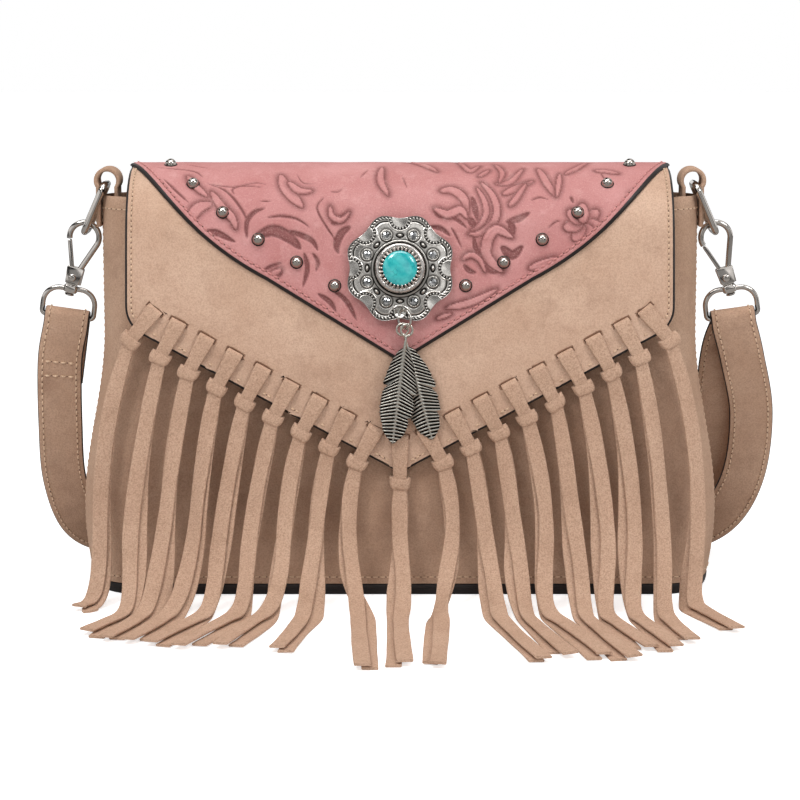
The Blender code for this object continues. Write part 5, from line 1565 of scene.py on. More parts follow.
def concho_frame():
    return seat_on_flap(0, flap_v(CONCHO_Z), 2 * GAP + OVERLAY_THICKNESS + OVERLAY_RELIEF)


def concho_lobe(turn):
    """The angle from the middle of the nearest lobe's neighbour notch."""
    pitch = math.tau / CONCHO_LOBES
    return (turn + pitch / 2) % pitch - pitch / 2


def concho_reach(lobe):
    return CONCHO_RADIUS - CONCHO_LOBE_DEPTH * np.cos(lobe * CONCHO_LOBES)


def concho_surface(x, y):
    """The cast face of the plate, as its height and how black it is, at places in its own frame."""
    radius = np.hypot(x, y)
    turn = np.arctan2(y, x)
    pitch = math.tau / CONCHO_LOBES
    lobe = concho_lobe(turn)
    ahead = radius * np.cos(lobe)
    aside = radius * np.sin(lobe)
    rim = concho_reach(lobe) - radius
    face = CONCHO_STAND + CONCHO_THICKNESS + CONCHO_CROWN * (1 - (radius / CONCHO_RADIUS) ** 2)
    height = face - 0.0003 - 0.00035 * smoothstep(0.0165, 0.0205, radius)
    dark = CONCHO_DARK[0] + CONCHO_DARK[1] * smoothstep(0.0190, 0.0130, radius)

    # An oval bead below each notch
    from_bead = np.hypot(ahead - BEAD_RING, aside / 1.6)
    bead = bump_of(from_bead, 0.0006)
    bead_moat = bump_of(from_bead - 0.0010, 0.00034)
    height += 0.0007 * bead - 0.0003 * bead_moat
    dark = np.clip(dark * (1 - 0.9 * bead) + 0.9 * bead_moat, 0, 1)

    # A setting for the crystal of each lobe
    gem_x = CRYSTAL_RING * math.cos(pitch / 2)
    gem_y = CRYSTAL_RING * math.sin(pitch / 2)
    from_gem = np.hypot(radius * np.cos(np.abs(lobe)) - gem_x, radius * np.sin(np.abs(lobe)) - gem_y)
    setting = bump_of(from_gem - CRYSTAL_RADIUS - 0.00035, 0.00032)
    moat = bump_of(from_gem - CRYSTAL_RADIUS - 0.0010, 0.00038)
    well = smoothstep(CRYSTAL_RADIUS, CRYSTAL_RADIUS - 0.0004, from_gem)
    height += 0.0006 * setting - 0.0006 * well - 0.0003 * moat
    dark = np.maximum(dark * (1 - 0.5 * setting), 0.9 * moat)

    # The black line and the twisted rope that follow the rim
    line = bump_of(rim - LINE_INSET, 0.00040)
    height -= 0.00045 * line
    dark = np.maximum(dark, np.clip(1.3 * line, 0, 1))
    rope = bump_of(rim - ROPE_INSET, 0.00055) * (0.5 + 0.5 * np.sin(turn * ROPE_TWISTS + rim * 2600))
    edge_zone = smoothstep(*RIM_BAND, rim)
    height += 0.00050 * rope * edge_zone
    dark = dark * (1 - edge_zone) + edge_zone * np.clip(1.05 - 1.25 * rope, 0, 1)
    dark = dark * (1 - 0.9 * bump_of(rim - 0.0018, 0.00018)) * (1 - 0.7 * smoothstep(0.0003, 0.0, rim))

    # The ticked band round each notch, and the line outside it
    from_notch = np.hypot(ahead - NOTCH_RING - NOTCH_SHIFT, aside)
    notch_turn = np.arctan2(aside, NOTCH_RING + NOTCH_SHIFT - ahead)
    beside_rim = smoothstep(*BESIDE_RIM, rim)
    band = smoothstep(NOTCH_RADIUS + NOTCH_BAND[0], NOTCH_RADIUS + NOTCH_BAND[1], from_notch) * beside_rim
    ticks = (0.5 + 0.5 * np.cos(notch_turn * NOTCH_TICKS)) ** 2
    ticks *= bump_of(from_notch - NOTCH_RADIUS - 0.00095, 0.00050)
    height = height * (1 - band) + band * (face - 0.0006 + 0.00045 * ticks)
    dark = dark * (1 - band) + band * (1 - 0.95 * ticks)
    outside_line = bump_of(from_notch - NOTCH_RADIUS - 0.00195, 0.0002) * beside_rim
    height += 0.0003 * outside_line
    dark = dark * (1 - 0.9 * outside_line)

    # The bright dish in each notch but the lowest, where the charm's hole is
    lowest = np.abs((turn + math.pi / 2 + math.pi) % math.tau - math.pi) < pitch / 2
    dish = smoothstep(NOTCH_RADIUS + 0.00045, NOTCH_RADIUS + 0.0002, from_notch) * ~lowest
    hollow = CONCHO_STAND + CONCHO_THICKNESS + 0.0001 - 0.0002 * (1 - (from_notch / NOTCH_RADIUS) ** 2)
    height = height * (1 - dish) + dish * hollow
    dark = dark * (1 - dish)

    # The collar round the bezel, between two black lines
    collar = bump_of(radius - COLLAR_RADIUS, 0.0004)
    height += 0.0004 * collar
    dark = dark * (1 - 0.5 * collar) + bump_of(radius - 0.0119, 0.0003) + bump_of(radius - 0.0134, 0.0002)
    return height, np.clip(dark, 0, 1)


def pierced(x, y, height, dark):
    """The plate's points with those in the charm's hole pushed out to its wall, and which they were."""
    away = np.hypot(x, y + CHARM_HOLE_OFFSET)
    inside = away < CHARM_HOLE_RADIUS
    push = np.where(inside, CHARM_HOLE_RADIUS / np.maximum(away, 1e-6), 1.0)
    x = np.where(inside, x * push, x)
    y = np.where(inside, (y + CHARM_HOLE_OFFSET) * push - CHARM_HOLE_OFFSET, y)
    return x, y, np.where(inside, CONCHO_STAND + 0.0004, height), np.where(inside, 0.9, dark), inside


def concho_plate(place):
    """The plate: its cast face from the middle out, then its rim and its flat back."""
    angle = math.tau * np.arange(CONCHO_TURNS) / CONCHO_TURNS
    reach = concho_reach(concho_lobe(angle))
    share = np.linspace(CONCHO_INNER_RADIUS / CONCHO_RADIUS, 1, CONCHO_RINGS)
    x = np.concatenate([reach * part * np.cos(angle) for part in share])
    y = np.concatenate([reach * part * np.sin(angle) for part in share])
    x, y, height, dark, inside = pierced(x, y, *concho_surface(x, y))
    points = [place @ Vector(point) for point in zip(x, y, height)]
    levels = (
        (1.006, CONCHO_STAND + CONCHO_THICKNESS * 0.9), (1.004, CONCHO_STAND + 0.0002),
        (0.97, CONCHO_STAND), (0.5, CONCHO_STAND),
    )
    for part, level in levels:
        for far, turn in zip(reach * part, angle):
            points.append(place @ Vector((far * math.cos(turn), far * math.sin(turn), level)))
    faces = []
    for ring in range(CONCHO_RINGS + len(levels) - 1):
        first = ring * CONCHO_TURNS
        for index in range(CONCHO_TURNS):
            after = (index + 1) % CONCHO_TURNS
            outer = first + CONCHO_TURNS
            corners = (first + index, outer + index, outer + after, first + after)
            if ring >= CONCHO_RINGS - 1 or not all(inside[corner] for corner in corners):
                faces.append(corners)
    mesh = bpy.data.meshes.new("concho_cast")
    mesh.from_pydata(points, [], faces)
    float_attribute(mesh, "hollow", np.concatenate([dark, np.full(len(points) - len(dark), 0.5)]))
    mesh.shade_smooth()
    return dressed(mesh, [SILVER])


def concho_boss(place):
    """The boss under the bezel, and the rolled eyelet of the charm's hole."""
    hole = CHARM_HOLE_RADIUS
    build = Build()
    build.dome(place, [(0.005, -0.0006), (0.005, CONCHO_STAND + 0.0006)], 32)
    build.dome(place @ Matrix.Translation((0, -CHARM_HOLE_OFFSET, 0)), [
        (hole, CONCHO_STAND + 0.0008), (hole + 0.0004, CONCHO_STAND + 0.0014), (hole + 0.0008, CONCHO_STAND + 0.0010),
        (hole + 0.0008, CONCHO_STAND + 0.0002), (hole, CONCHO_STAND + 0.0002),
    ], 32)
    return build.make("concho_boss", [JUMP_SILVER])


def concho_crystals(place):
    crown = CONCHO_CROWN * (1 - (CRYSTAL_RING / CONCHO_RADIUS) ** 2)
    level = CONCHO_STAND + CONCHO_THICKNESS + crown - 0.0002
    profile = [
        (CRYSTAL_RADIUS * 0.92, -0.0006), (CRYSTAL_RADIUS * 0.92, 0),
        (CRYSTAL_RADIUS * 0.72, 0.0005), (CRYSTAL_RADIUS * 0.38, 0.0008),
    ]
    build = Build()
    for index in range(CONCHO_LOBES):
        turn = math.tau / CONCHO_LOBES * (index + 0.5)
        seat = Matrix.Translation((CRYSTAL_RING * math.cos(turn), CRYSTAL_RING * math.sin(turn), level))
        build.dome(place @ seat @ Matrix.Rotation(index * 1.3, 4, "Z"), profile, 9)
    obj = build.make("concho_crystals", [CRYSTAL], 5)
    obj.data.shade_flat()
    return obj


def make_concho():
    place = concho_frame()
    plate = concho_plate(place)
    for obj in (plate, concho_boss(place), concho_crystals(place)):
        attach(obj, "flap")
    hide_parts("concho_plate")
    top = CONCHO_STAND + CONCHO_THICKNESS + CONCHO_CROWN + GAP
    make_bezel(place @ Matrix.Translation((0, 0, top)))


def bezel_tooth(place):
    """One claw, bent in over the stone, in a section of four points at each level."""
    rings = []
    for radius, level, half in (
        (BEZEL_RADIUS - 0.0019, 0.0008, 0.00085), (BEZEL_RADIUS - 0.0022, 0.0017, 0.00075),
        (BEZEL_RADIUS - 0.0030, 0.0024, 0.00045), (STONE_RADIUS - 0.0001, 0.0026, 0.00012),
    ):
        section = (
            (radius, -half, level), (radius + 0.0002, 0, level + half * 0.9),
            (radius, half, level), (radius - 0.0001, 0, level - half * 0.5),
        )
        rings.append([place @ Vector(point) for point in section])
    return rings


def make_bezel(place):
    """The round bezel with its ring of claws and its floor, and the stone that they hold."""
    ring = Build()
    ring.dome(place, [
        (BEZEL_RADIUS - 0.0010, -0.0010), (BEZEL_RADIUS, -0.0003), (BEZEL_RADIUS + 0.0001, BEZEL_HEIGHT * 0.35),
        (BEZEL_RADIUS - 0.0004, BEZEL_HEIGHT * 0.62), (BEZEL_RADIUS - 0.0012, BEZEL_HEIGHT * 0.80),
        (BEZEL_RADIUS - 0.0019, BEZEL_HEIGHT * 0.62), (BEZEL_RADIUS - 0.0022, BEZEL_HEIGHT * 0.30),
    ], 96)
    teeth = Build()
    for index in range(STONE_TEETH):
        teeth.loft(bezel_tooth(place @ Matrix.Rotation(math.tau * index / STONE_TEETH, 4, "Z")))
    ring_obj = ring.make("bezel_ring", [BEZEL_METAL])
    teeth_obj = teeth.make("bezel_teeth", [BEZEL_METAL], 50)
    floor = Build()
    floor.dome(place, [(BEZEL_FLOOR_RADIUS, 0.0002), (BEZEL_FLOOR_RADIUS, 0.0007), (0.0070, 0.0007)], 64)
    for obj in (ring_obj, teeth_obj, floor.make("bezel_floor", [STUD_DARK])):
        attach(obj, "flap")
    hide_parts("concho_bezel")
    profile = [(STONE_RADIUS, 0), (STONE_RADIUS, STONE_CROWN * 0.3)]
    for step in range(1, 16):
        turn = math.pi / 2 * step / 16
        profile.append((STONE_RADIUS * math.cos(turn) ** 0.9, STONE_CROWN * (0.3 + 0.7 * math.sin(turn))))
    profile.append((STONE_RADIUS * 0.01, STONE_CROWN))
    stone = Build()
    stone.dome(place @ Matrix.Translation((0, 0, BEZEL_HEIGHT * 0.4 + GAP)), profile, 64)
    stone_obj = stone.make("turquoise_cabochon", [STONE])
    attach(stone_obj, "flap")
    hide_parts("turquoise_stone")


# Charm
JUMP_WIRE = 0.0012
JUMP_RADIUS = 0.0044
JUMP_REACH = 0.0029
JUMP_TURN = math.radians(40)
JUMP_HEADING = Vector((math.sin(JUMP_TURN), -math.cos(JUMP_TURN), 0))
FEATHER_LENGTH = 0.0535
FEATHER_HALF_WIDTH = 0.0082
FEATHER_THICKNESS = 0.0011
FEATHER_RIB = 0.0006
FEATHER_EYE_RADIUS = 0.0027
FEATHER_EYE_WIRE = 0.0012
FEATHER_STEM = 0.008
FEATHER_LEFT_LEAN = math.radians(-7)
FEATHER_RIGHT_LEAN = math.radians(15)
FEATHER_BARBS = 27
FEATHER_TIP_SHARE = 0.10
FEATHER_ROWS = FEATHER_BARBS * 10
FEATHER_COLUMNS = 26
FEATHER_SPLITS = ((0.36, 0.44, 1), (0.30, 0.40, 0), (0.62, 0.70, 1))
SPLIT_DEPTH = 0.30
SPLIT_REACH = 0.07
BARB_RISE = 0.00038
RIB_RISE = 0.0009


def charm_hole():
    return concho_frame() @ Vector((0, -CHARM_HOLE_OFFSET, CONCHO_STAND + CONCHO_THICKNESS / 2))


def jump_centre():
    out = math.sqrt(JUMP_RADIUS**2 - JUMP_REACH**2)
    return charm_hole() + JUMP_HEADING * out - Vector((0, 0, JUMP_REACH))


def make_jump_ring():
    centre = jump_centre()
    up = Vector((0, 0, 1))
    path = [centre + x * JUMP_HEADING + y * up for x, y in circle(JUMP_RADIUS, 72)]
    build = Build()
    build.loft(wire_rings(path, JUMP_HEADING.cross(up), JUMP_WIRE / 2, 14, True), closed=True)
    obj = build.make("jump_ring_wire", [JUMP_SILVER])
    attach(obj, "jump_ring")
    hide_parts("jump_ring")


def feather_half_width(part):
    point = math.sqrt(max(0.0, 1 - part) / FEATHER_TIP_SHARE) if part > 1 - FEATHER_TIP_SHARE else 1.0
    return FEATHER_HALF_WIDTH * math.sin(math.pi * (0.03 + 0.93 * part**0.85)) ** 0.62 * point


def feather_grid():
    """The blade's front and back points with how dark each front one is, row by row from the stem to the tip."""
    blade = FEATHER_LENGTH - FEATHER_STEM
    half_columns = FEATHER_COLUMNS // 2
    length_of = [random.uniform(0.95, 1.02) for _ in range(2 * FEATHER_BARBS + 2)]
    splits = []
    for low, high, split_side in FEATHER_SPLITS:
        splits.append((random.uniform(low, high), split_side))
    front = []
    back = []
    dark = []
    for row in range(FEATHER_ROWS + 1):
        part = row / FEATHER_ROWS
        barb = part * FEATHER_BARBS
        phase = barb % 1
        ridge = (0.5 - 0.5 * math.cos(math.tau * phase)) ** 1.5
        for column in range(FEATHER_COLUMNS + 1):
            share = (column - half_columns) / half_columns
            side = 1 if share > 0 else 0
            ragged = length_of[2 * int(min(barb, FEATHER_BARBS - 1)) + side]
            split = 1 - 0.05 * bump_of(phase - 1, 0.18) - 0.05 * bump_of(phase, 0.18)
            for split_at, split_side in splits:
                if split_side == side and part > split_at:
                    split *= 1 - SPLIT_DEPTH * math.exp(-(part - split_at) / SPLIT_REACH)
            x = (feather_half_width(part) * ragged * split + FEATHER_RIB * 0.6) * share
            sag = blade * 0.15 * abs(share) ** 1.1 * (feather_half_width(part) / FEATHER_HALF_WIDTH)
            y = FEATHER_STEM + blade * part + sag * (1 - part)
            rib = bump_of(abs(x), 0.00075 * (1.15 - 0.7 * part))
            z = FEATHER_THICKNESS / 2 - 0.00022 + BARB_RISE * ridge * (1 - rib)
            z += RIB_RISE * rib * (1 - 0.5 * part) - 0.0004 * abs(share) ** 3
            front.append(Vector((x, y, z)))
            back.append(Vector((x, y, -FEATHER_THICKNESS / 2)))
            dark.append(min(1.0, max(0.0, (1 - ridge) ** 0.8 * 1.15 * (1 - rib) + 0.12)))
    return front, back, dark


def feather_faces():
    """The faces of both sides of the blade's grid, and those that join them round its rims."""
    count = FEATHER_COLUMNS + 1
    shift = (FEATHER_ROWS + 1) * count
    faces = []
    for row in range(FEATHER_ROWS):
        for column in range(FEATHER_COLUMNS):
            first = row * count + column
            corners = (first, first + 1, first + count + 1, first + count)
            faces.append(corners)
            faces.append(tuple(shift + corners[index] for index in (0, 3, 2, 1)))
    first_column = list(range(0, shift, count))
    last_column = [corner + FEATHER_COLUMNS for corner in first_column]
    first_row = list(range(count))
    last_row = [FEATHER_ROWS * count + column for column in range(count)]
    for rim in (first_column, last_column, first_row, last_row):
        for first, second in zip(rim, rim[1:]):
            faces.append((first, second, shift + second, shift + first))
    return faces


def make_feather(name, lean, layer):
    """A cast feather: barbs slant down and out from the midrib, with dark grooves between and small splits."""
    hang = (FEATHER_EYE_RADIUS - FEATHER_EYE_WIRE / 2 - JUMP_WIRE / 2) / 2
    along = layer / math.cos(JUMP_TURN)
    drop = math.sqrt(JUMP_RADIUS**2 - along**2) + hang
    eye = jump_centre() + Vector((-layer * math.tan(JUMP_TURN), layer, -drop))
    random.seed(name)
    front, back, dark = feather_grid()
    build = Build()
    build.add(front + back, feather_faces())
    first_stem = len(build.points)
    out = Vector((0, 0, 1))
    stem = curve_through([
        (0, FEATHER_EYE_RADIUS, 0), (0.0001, 0.0045, 0.0001), (0, 0.0068, 0.0002), (0, FEATHER_STEM + 0.002, 0.0003),
    ], 6)
    build.loft(wire_rings(stem, out, lambda part: 0.00062 + 0.00022 * part, 12, False))
    path = [(x, y, 0) for x, y in circle(FEATHER_EYE_RADIUS, 40)]
    build.loft(wire_rings(path, out, FEATHER_EYE_WIRE / 2, 12, True), closed=True)
    drawn = Matrix(((1, 0, 0, 0), (0, 0, -1, 0), (0, -1, 0, 0), (0, 0, 0, 1)))
    place = Matrix.Translation(eye) @ Matrix.Rotation(-lean, 4, "Y") @ drawn
    build.points = [place @ point for point in build.points]
    obj = build.make(f"{name}_cast", [FEATHER_SILVER])
    back_dark = [0.5] * (first_stem - len(dark))
    float_attribute(obj.data, "hollow", dark + back_dark + [0.12] * (len(build.points) - first_stem))
    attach(obj, name)
    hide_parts(name)


# Fringe
TASSELS_A_SIDE = 9
TASSEL_FIRST_U = 0.018
TASSEL_LAST_INSET = 0.0190
TASSEL_CORNER_TURN = math.radians(11)
SLOT_INSET = 0.0142
CENTRE_SLOT_INSET = 0.0175
KNOT_HALF_WIDTH = 0.0049
KNOT_HALF_HEIGHT = 0.0028
KNOT_DIP = 0.0011
KNOT_MOST_DEPTH = 1.04
KNOT_LEVELS = (
    (-1.0, 0.66), (-0.95, 0.86), (-0.75, 1.02), (-0.35, 1.12), (0.1, 1.16), (0.6, 1.08), (0.9, 0.92), (1.0, 0.70),
)
TAIL_LAYER = 0.0020
TAIL_SPREAD = 0.0045
TAIL_BEND = 0.042
TAIL_CORNER_BEND = 0.028
FLOOR_GAP = 0.0003
LEFT_TAIL_REACHES = (0.126, 0.100, 0.098, 0.101, 0.096, 0.092, 0.088, 0.077, 0.038)
RIGHT_TAIL_REACHES = (0.123, 0.118, 0.111, 0.112, 0.116, 0.100, 0.099, 0.088, 0.073)
CENTRE_TAIL_REACH = 0.120
LEFT_TAIL_HEADINGS = (-2, 12, 19, 21, 22, 22, 21, 20, 36)
RIGHT_TAIL_HEADINGS = (-2, 14, 14, 14, 14, 13, 12, 11, 20)
CENTRE_TAIL_HEADING = 1


def tassel_on_edge(name, side, edge, turn, inset, heading, reach, bend):
    out = Vector((side * math.sin(turn), math.cos(turn)))
    edge = Vector((side * edge[0], edge[1]))
    return {
        "name": name,
        "side": side,
        "turn": side * turn,
        "slot": edge - out * inset,
        "edge": edge,
        "out": out,
        "knot": edge + out * KNOT_DROP,
        "heading": math.radians(heading) * side,
        "reach": reach,
        "bend": bend,
    }


def tassels():
    """Where each strip leaves its slot, crosses the flap's edge and is banded, and how its tails lie."""
    tip_v = flap_v(FLAP_TIP_Z)
    lean = edge_lean()
    last_u = FLAP_HALF_WIDTH - TASSEL_LAST_INSET
    pitch = (last_u - TASSEL_FIRST_U) / (TASSELS_A_SIDE - 2)
    tip_drop = FLAP_TIP_RADIUS * (1 / math.cos(lean) - 1)
    made = [tassel_on_edge(
        "tassel_centre", 1, (0, tip_v - tip_drop), 0, CENTRE_SLOT_INSET,
        CENTRE_TAIL_HEADING, CENTRE_TAIL_REACH, TAIL_BEND,
    )]
    arc_u = FLAP_HALF_WIDTH - FLAP_CORNER_RADIUS
    arc_v = tip_v - (FLAP_CORNER_RADIUS + math.sin(lean) * arc_u) / math.cos(lean)
    for side, label, headings, reaches in (
        (-1, "left", LEFT_TAIL_HEADINGS, LEFT_TAIL_REACHES),
        (1, "right", RIGHT_TAIL_HEADINGS, RIGHT_TAIL_REACHES),
    ):
        for index, (heading, reach) in enumerate(zip(headings, reaches)):
            name = f"tassel_{label}_{index + 1}"
            if index < TASSELS_A_SIDE - 1:
                u = TASSEL_FIRST_U + pitch * index
                edge = (u, tip_v - u * math.tan(lean))
                made.append(tassel_on_edge(name, side, edge, lean, SLOT_INSET, heading, reach, TAIL_BEND))
            else:
                turn = lean + TASSEL_CORNER_TURN
                arm = Vector((math.sin(turn), math.cos(turn))) * FLAP_CORNER_RADIUS
                edge = (arc_u + arm.x, arc_v + arm.y)
                made.append(tassel_on_edge(name, side, edge, turn, SLOT_INSET, heading, reach, TAIL_CORNER_BEND))
    return made


def tail_route(tassel, knot, fall, longer=0.0):
    """The shared middle line of both tails: it hangs from the band, lands and runs out over the floor."""
    heading = Vector((math.sin(tassel["heading"]), -math.cos(tassel["heading"]), 0))
    lie_z = FLOOR_GAP + TASSEL_THICKNESS / 2 + TAIL_LAYER / 2
    landing = knot + heading * tassel["bend"] * 1.2
    landing.z = lie_z
    pull_down = knot + fall * (knot.z * 0.62)
    pull_back = landing - heading * tassel["bend"] * 0.62
    points = []
    for step in range(31):
        t = step / 30
        near = knot * (1 - t) ** 3 + pull_down * 3 * t * (1 - t) ** 2
        points.append(near + pull_back * 3 * t**2 * (1 - t) + landing * t**3)
    end = knot + heading * (tassel["reach"] + longer)
    end.z = lie_z
    for step in range(1, 17):
        points.append(landing + (end - landing) * step / 16)
    return points


STRIP_EDGE_STEPS = 6


def strip_rings(stations, width, thickness):
    """Rings of a flat strip with rounded edges; each station may narrow it."""
    rings = []
    last = len(stations) - 1
    for index, (place, direction, scale) in enumerate(stations):
        before = stations[max(index - 1, 0)][0]
        after = stations[min(index + 1, last)][0]
        along = (after - before).normalized()
        side = (direction - along * direction.dot(along)).normalized()
        face = side.cross(along)
        half = width / 2 * scale
        round_edge = thickness / 2
        ring = []
        for end in (1, -1):
            for step in range(STRIP_EDGE_STEPS + 1):
                turn = math.pi / 2 - math.pi * step / STRIP_EDGE_STEPS
                bulge = end * round_edge * 0.8 * math.cos(turn)
                ring.append((end * (half - round_edge * 0.8) + bulge, end * round_edge * math.sin(turn)))
            for step in range(1, 4):
                ring.append((end * (half - round_edge * 0.8) * (1 - step / 2), -end * round_edge))
        rings.append([place + side * x + face * y for x, y in ring])
    return rings


def tail_stations(route, layer, spread, twist, rng):
    """One tail: the shared line moved by half a layer to its own side, drifting and turning as it goes."""
    stations = []
    last = len(route) - 1
    phase = rng.uniform(0, math.tau)
    wander = rng.uniform(0.0008, 0.0022)
    for index, point in enumerate(route):
        along = (route[min(index + 1, last)] - route[max(index - 1, 0)]).normalized()
        face = Vector((0, along.z, -along.y)).normalized()
        share = index / last
        face = Matrix.Rotation(twist(share), 3, along) @ face
        side = face.cross(along).normalized()
        settle = 1 - smoothstep(0.55, 0.8, share) * 0.5
        drift = spread * share**1.3 + wander * math.sin(share * 7.5 + phase) * min(1, share * 3) * settle
        wave = 0.03 * math.sin(share * 17 + phase)
        ripple = 0.015 * math.sin(share * 43 + 2 * phase)
        scale = 0.93 - 0.03 * share + wave + ripple
        scale -= 0.14 * (1 - smoothstep(0.0, 0.07, share))
        stations.append((point + face * layer + side * drift, side, scale))
    return stations


def make_tassel(tassel):
    """A strip looped through the flap's slot and over its edge, a band round it, and its two tails."""
    rng = random.Random(tassel["name"])
    out = tassel["out"]
    slot = tassel["slot"]
    front_w = GAP + TASSEL_THICKNESS / 2
    back_w = -FLAP_THICKNESS - GAP - TASSEL_THICKNESS / 2
    middle_w = -FLAP_THICKNESS / 2
    over = tassel["edge"] + out * TASSEL_THICKNESS / 2
    down = (on_flap(*tassel["knot"], 0) - on_flap(*tassel["edge"], 0)).normalized()
    across = flap_out(tassel["edge"].y).cross(down).normalized()
    knot = on_flap(*tassel["knot"], middle_w)
    fall = (down + Vector((0, 0, -1))).normalized()
    inward = -tassel["side"] * TAIL_SPREAD * rng.uniform(0.8, 1.35)
    turn_most = rng.uniform(0.25, 0.60) * rng.choice((-1, 1))
    turn_phase = rng.uniform(-0.5, 0.5)

    def twist(share):
        grown = smoothstep(0.0, 0.22, share) * (1 - smoothstep(0.50, 0.72, share) * 0.85)
        return float(turn_most * grown * math.sin(share * 6.5 + turn_phase + 0.8))

    front_tail = tail_stations(tail_route(tassel, knot, fall), TAIL_LAYER / 2, 0, twist, rng)
    longer = rng.uniform(-0.009, 0.003)
    back_tail = tail_stations(tail_route(tassel, knot, fall, longer), -TAIL_LAYER / 2, inward, twist, rng)
    reach = (over - slot).length
    loop_points = [
        on_flap(*over, front_w + 0.0001), on_flap(*(slot + out * reach * 0.55), front_w + 0.0005),
        on_flap(*(slot + out * 0.0030), front_w + 0.0007), on_flap(*(slot + out * 0.0006), front_w + 0.0005),
        on_flap(*(slot - out * 0.0001), front_w - 0.0006), on_flap(*slot, middle_w),
        on_flap(*(slot + out * 0.0001), back_w + 0.0006), on_flap(*(slot + out * 0.0010), back_w - 0.0001),
        on_flap(*(slot + out * reach * 0.5), back_w - 0.0002), on_flap(*over, back_w),
    ]
    line = curve_through(loop_points, 4)
    loop = []
    for index, point in enumerate(line):
        from_slot = abs(2 * index / (len(line) - 1) - 1)
        loop.append((point, across, 0.98 - 0.17 * smoothstep(0.55, 1.0, from_slot)))
    stations = list(reversed(front_tail)) + loop + back_tail
    build = Build()
    build.loft(strip_rings(stations, TASSEL_WIDTH, TASSEL_THICKNESS))
    face = across.cross(down)
    half_depth_here = TAIL_LAYER / 2 + TASSEL_THICKNESS
    lean = rng.uniform(-0.16, 0.16)
    rings = []
    for level, size in KNOT_LEVELS:
        corners = [(-1, -1), (1, -1), (1, 1), (-1, 1)]
        half_x = KNOT_HALF_WIDTH * (0.90 + 0.11 * size - 0.13 * smoothstep(0.3, 1.0, level))
        half_y = half_depth_here * min(size, KNOT_MOST_DEPTH)
        outline = rounded([(x * half_x, y * half_y) for x, y in corners], [half_y * 0.8] * 4, 6)
        ring = []
        for point in outline:
            dip = KNOT_DIP * (1 - (point.x / half_x) ** 2) * (0.45 + 0.55 * (level + 1) / 2)
            shift = level * KNOT_HALF_HEIGHT + lean * point.x + dip
            ring.append(knot + down * shift + across * point.x + face * point.y)
        rings.append(ring)
    build.loft(rings)
    for point in build.points:
        point.z = max(point.z, FLOOR_GAP / 2)
    obj = build.make(f"{tassel['name']}_strip", [SUEDE_FRINGE], 60)
    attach(obj, "flap")
    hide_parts(tassel["name"])


# Snap, tabs, rings, hooks and gates
TAB_THICKNESS = 0.0020
TAB_HALF_WIDTH = 0.007
TAB_LEG_OUT = 0.0014
TAB_LEG_IN = 0.0073
TAB_LOOP_RADIUS = 0.0053
TAB_LOOP_RISE = 0.0068
TAB_LEG_LENGTH = 0.0150
SLIDE_GAP = 0.0004
RING_WIRE = 0.0033
RING_LENGTH = 0.0245
RING_HALF_WIDTH = 0.009
RING_CORNER = 0.004
RING_LEAN = math.radians(24)
RING_SEAT_LEAN = math.radians(33)
HOOK_WIRE = 0.0028
HOOK_SLACK = 0.0008
HOOK_LEAN = math.radians(16)
HOOK_EYE_RADIUS = 0.007
HOOK_TAPER = math.radians(19.1)
HOOK_BODY_TOP = 0.0220
HOOK_BODY_HEIGHT = 0.0085
HOOK_BODY_TOP_HALF_WIDTH = 0.0042
HOOK_BODY_FOOT_HALF_WIDTH = 0.0031
HOOK_BODY_THICKNESS = 0.0052
GATE_THICKNESS = 0.0020
GATE_HALF_WIDTH = 0.0010
GATE_PIVOT_RADIUS = 0.0020
GATE_PIVOT_DROP = 0.0052
RIVET_RADIUS = 0.0008
RIVET_HEAD_RADIUS = 0.0018
RIVET_HEAD = 0.0005
SWIVEL_POST_RADIUS = 0.0013
SWIVEL_HEAD_RADIUS = 0.0023
SWIVEL_HEAD = 0.0012
EYE_BLOCK_HALF_WIDTH = 0.0033
EYE_BLOCK_HEIGHT = 0.0036
EYE_BLOCK_DEPTH = 0.0052
D_RING_WIRE = 0.0025
D_RING_DROP = 0.0134
D_RING_LEAN = math.radians(8)
D_RING_TOP_CORNER = 0.0075
D_RING_FOOT_CORNER = 0.0018
STRAP_WIDTH = 0.0215
STRAP_THICKNESS = 0.0024
STRAP_TAIL = 0.032
STRAP_RUN_GAP = 0.018
CROSS_ROW_DROPS = (0.0225, 0.0295)
SNAP_Z = 0.092
SNAP_RADIUS = 0.0070
SNAP_PLATE = 0.0011


def lean_direction(side, lean):
    return Vector((side * math.sin(lean), 0, -math.cos(lean)))


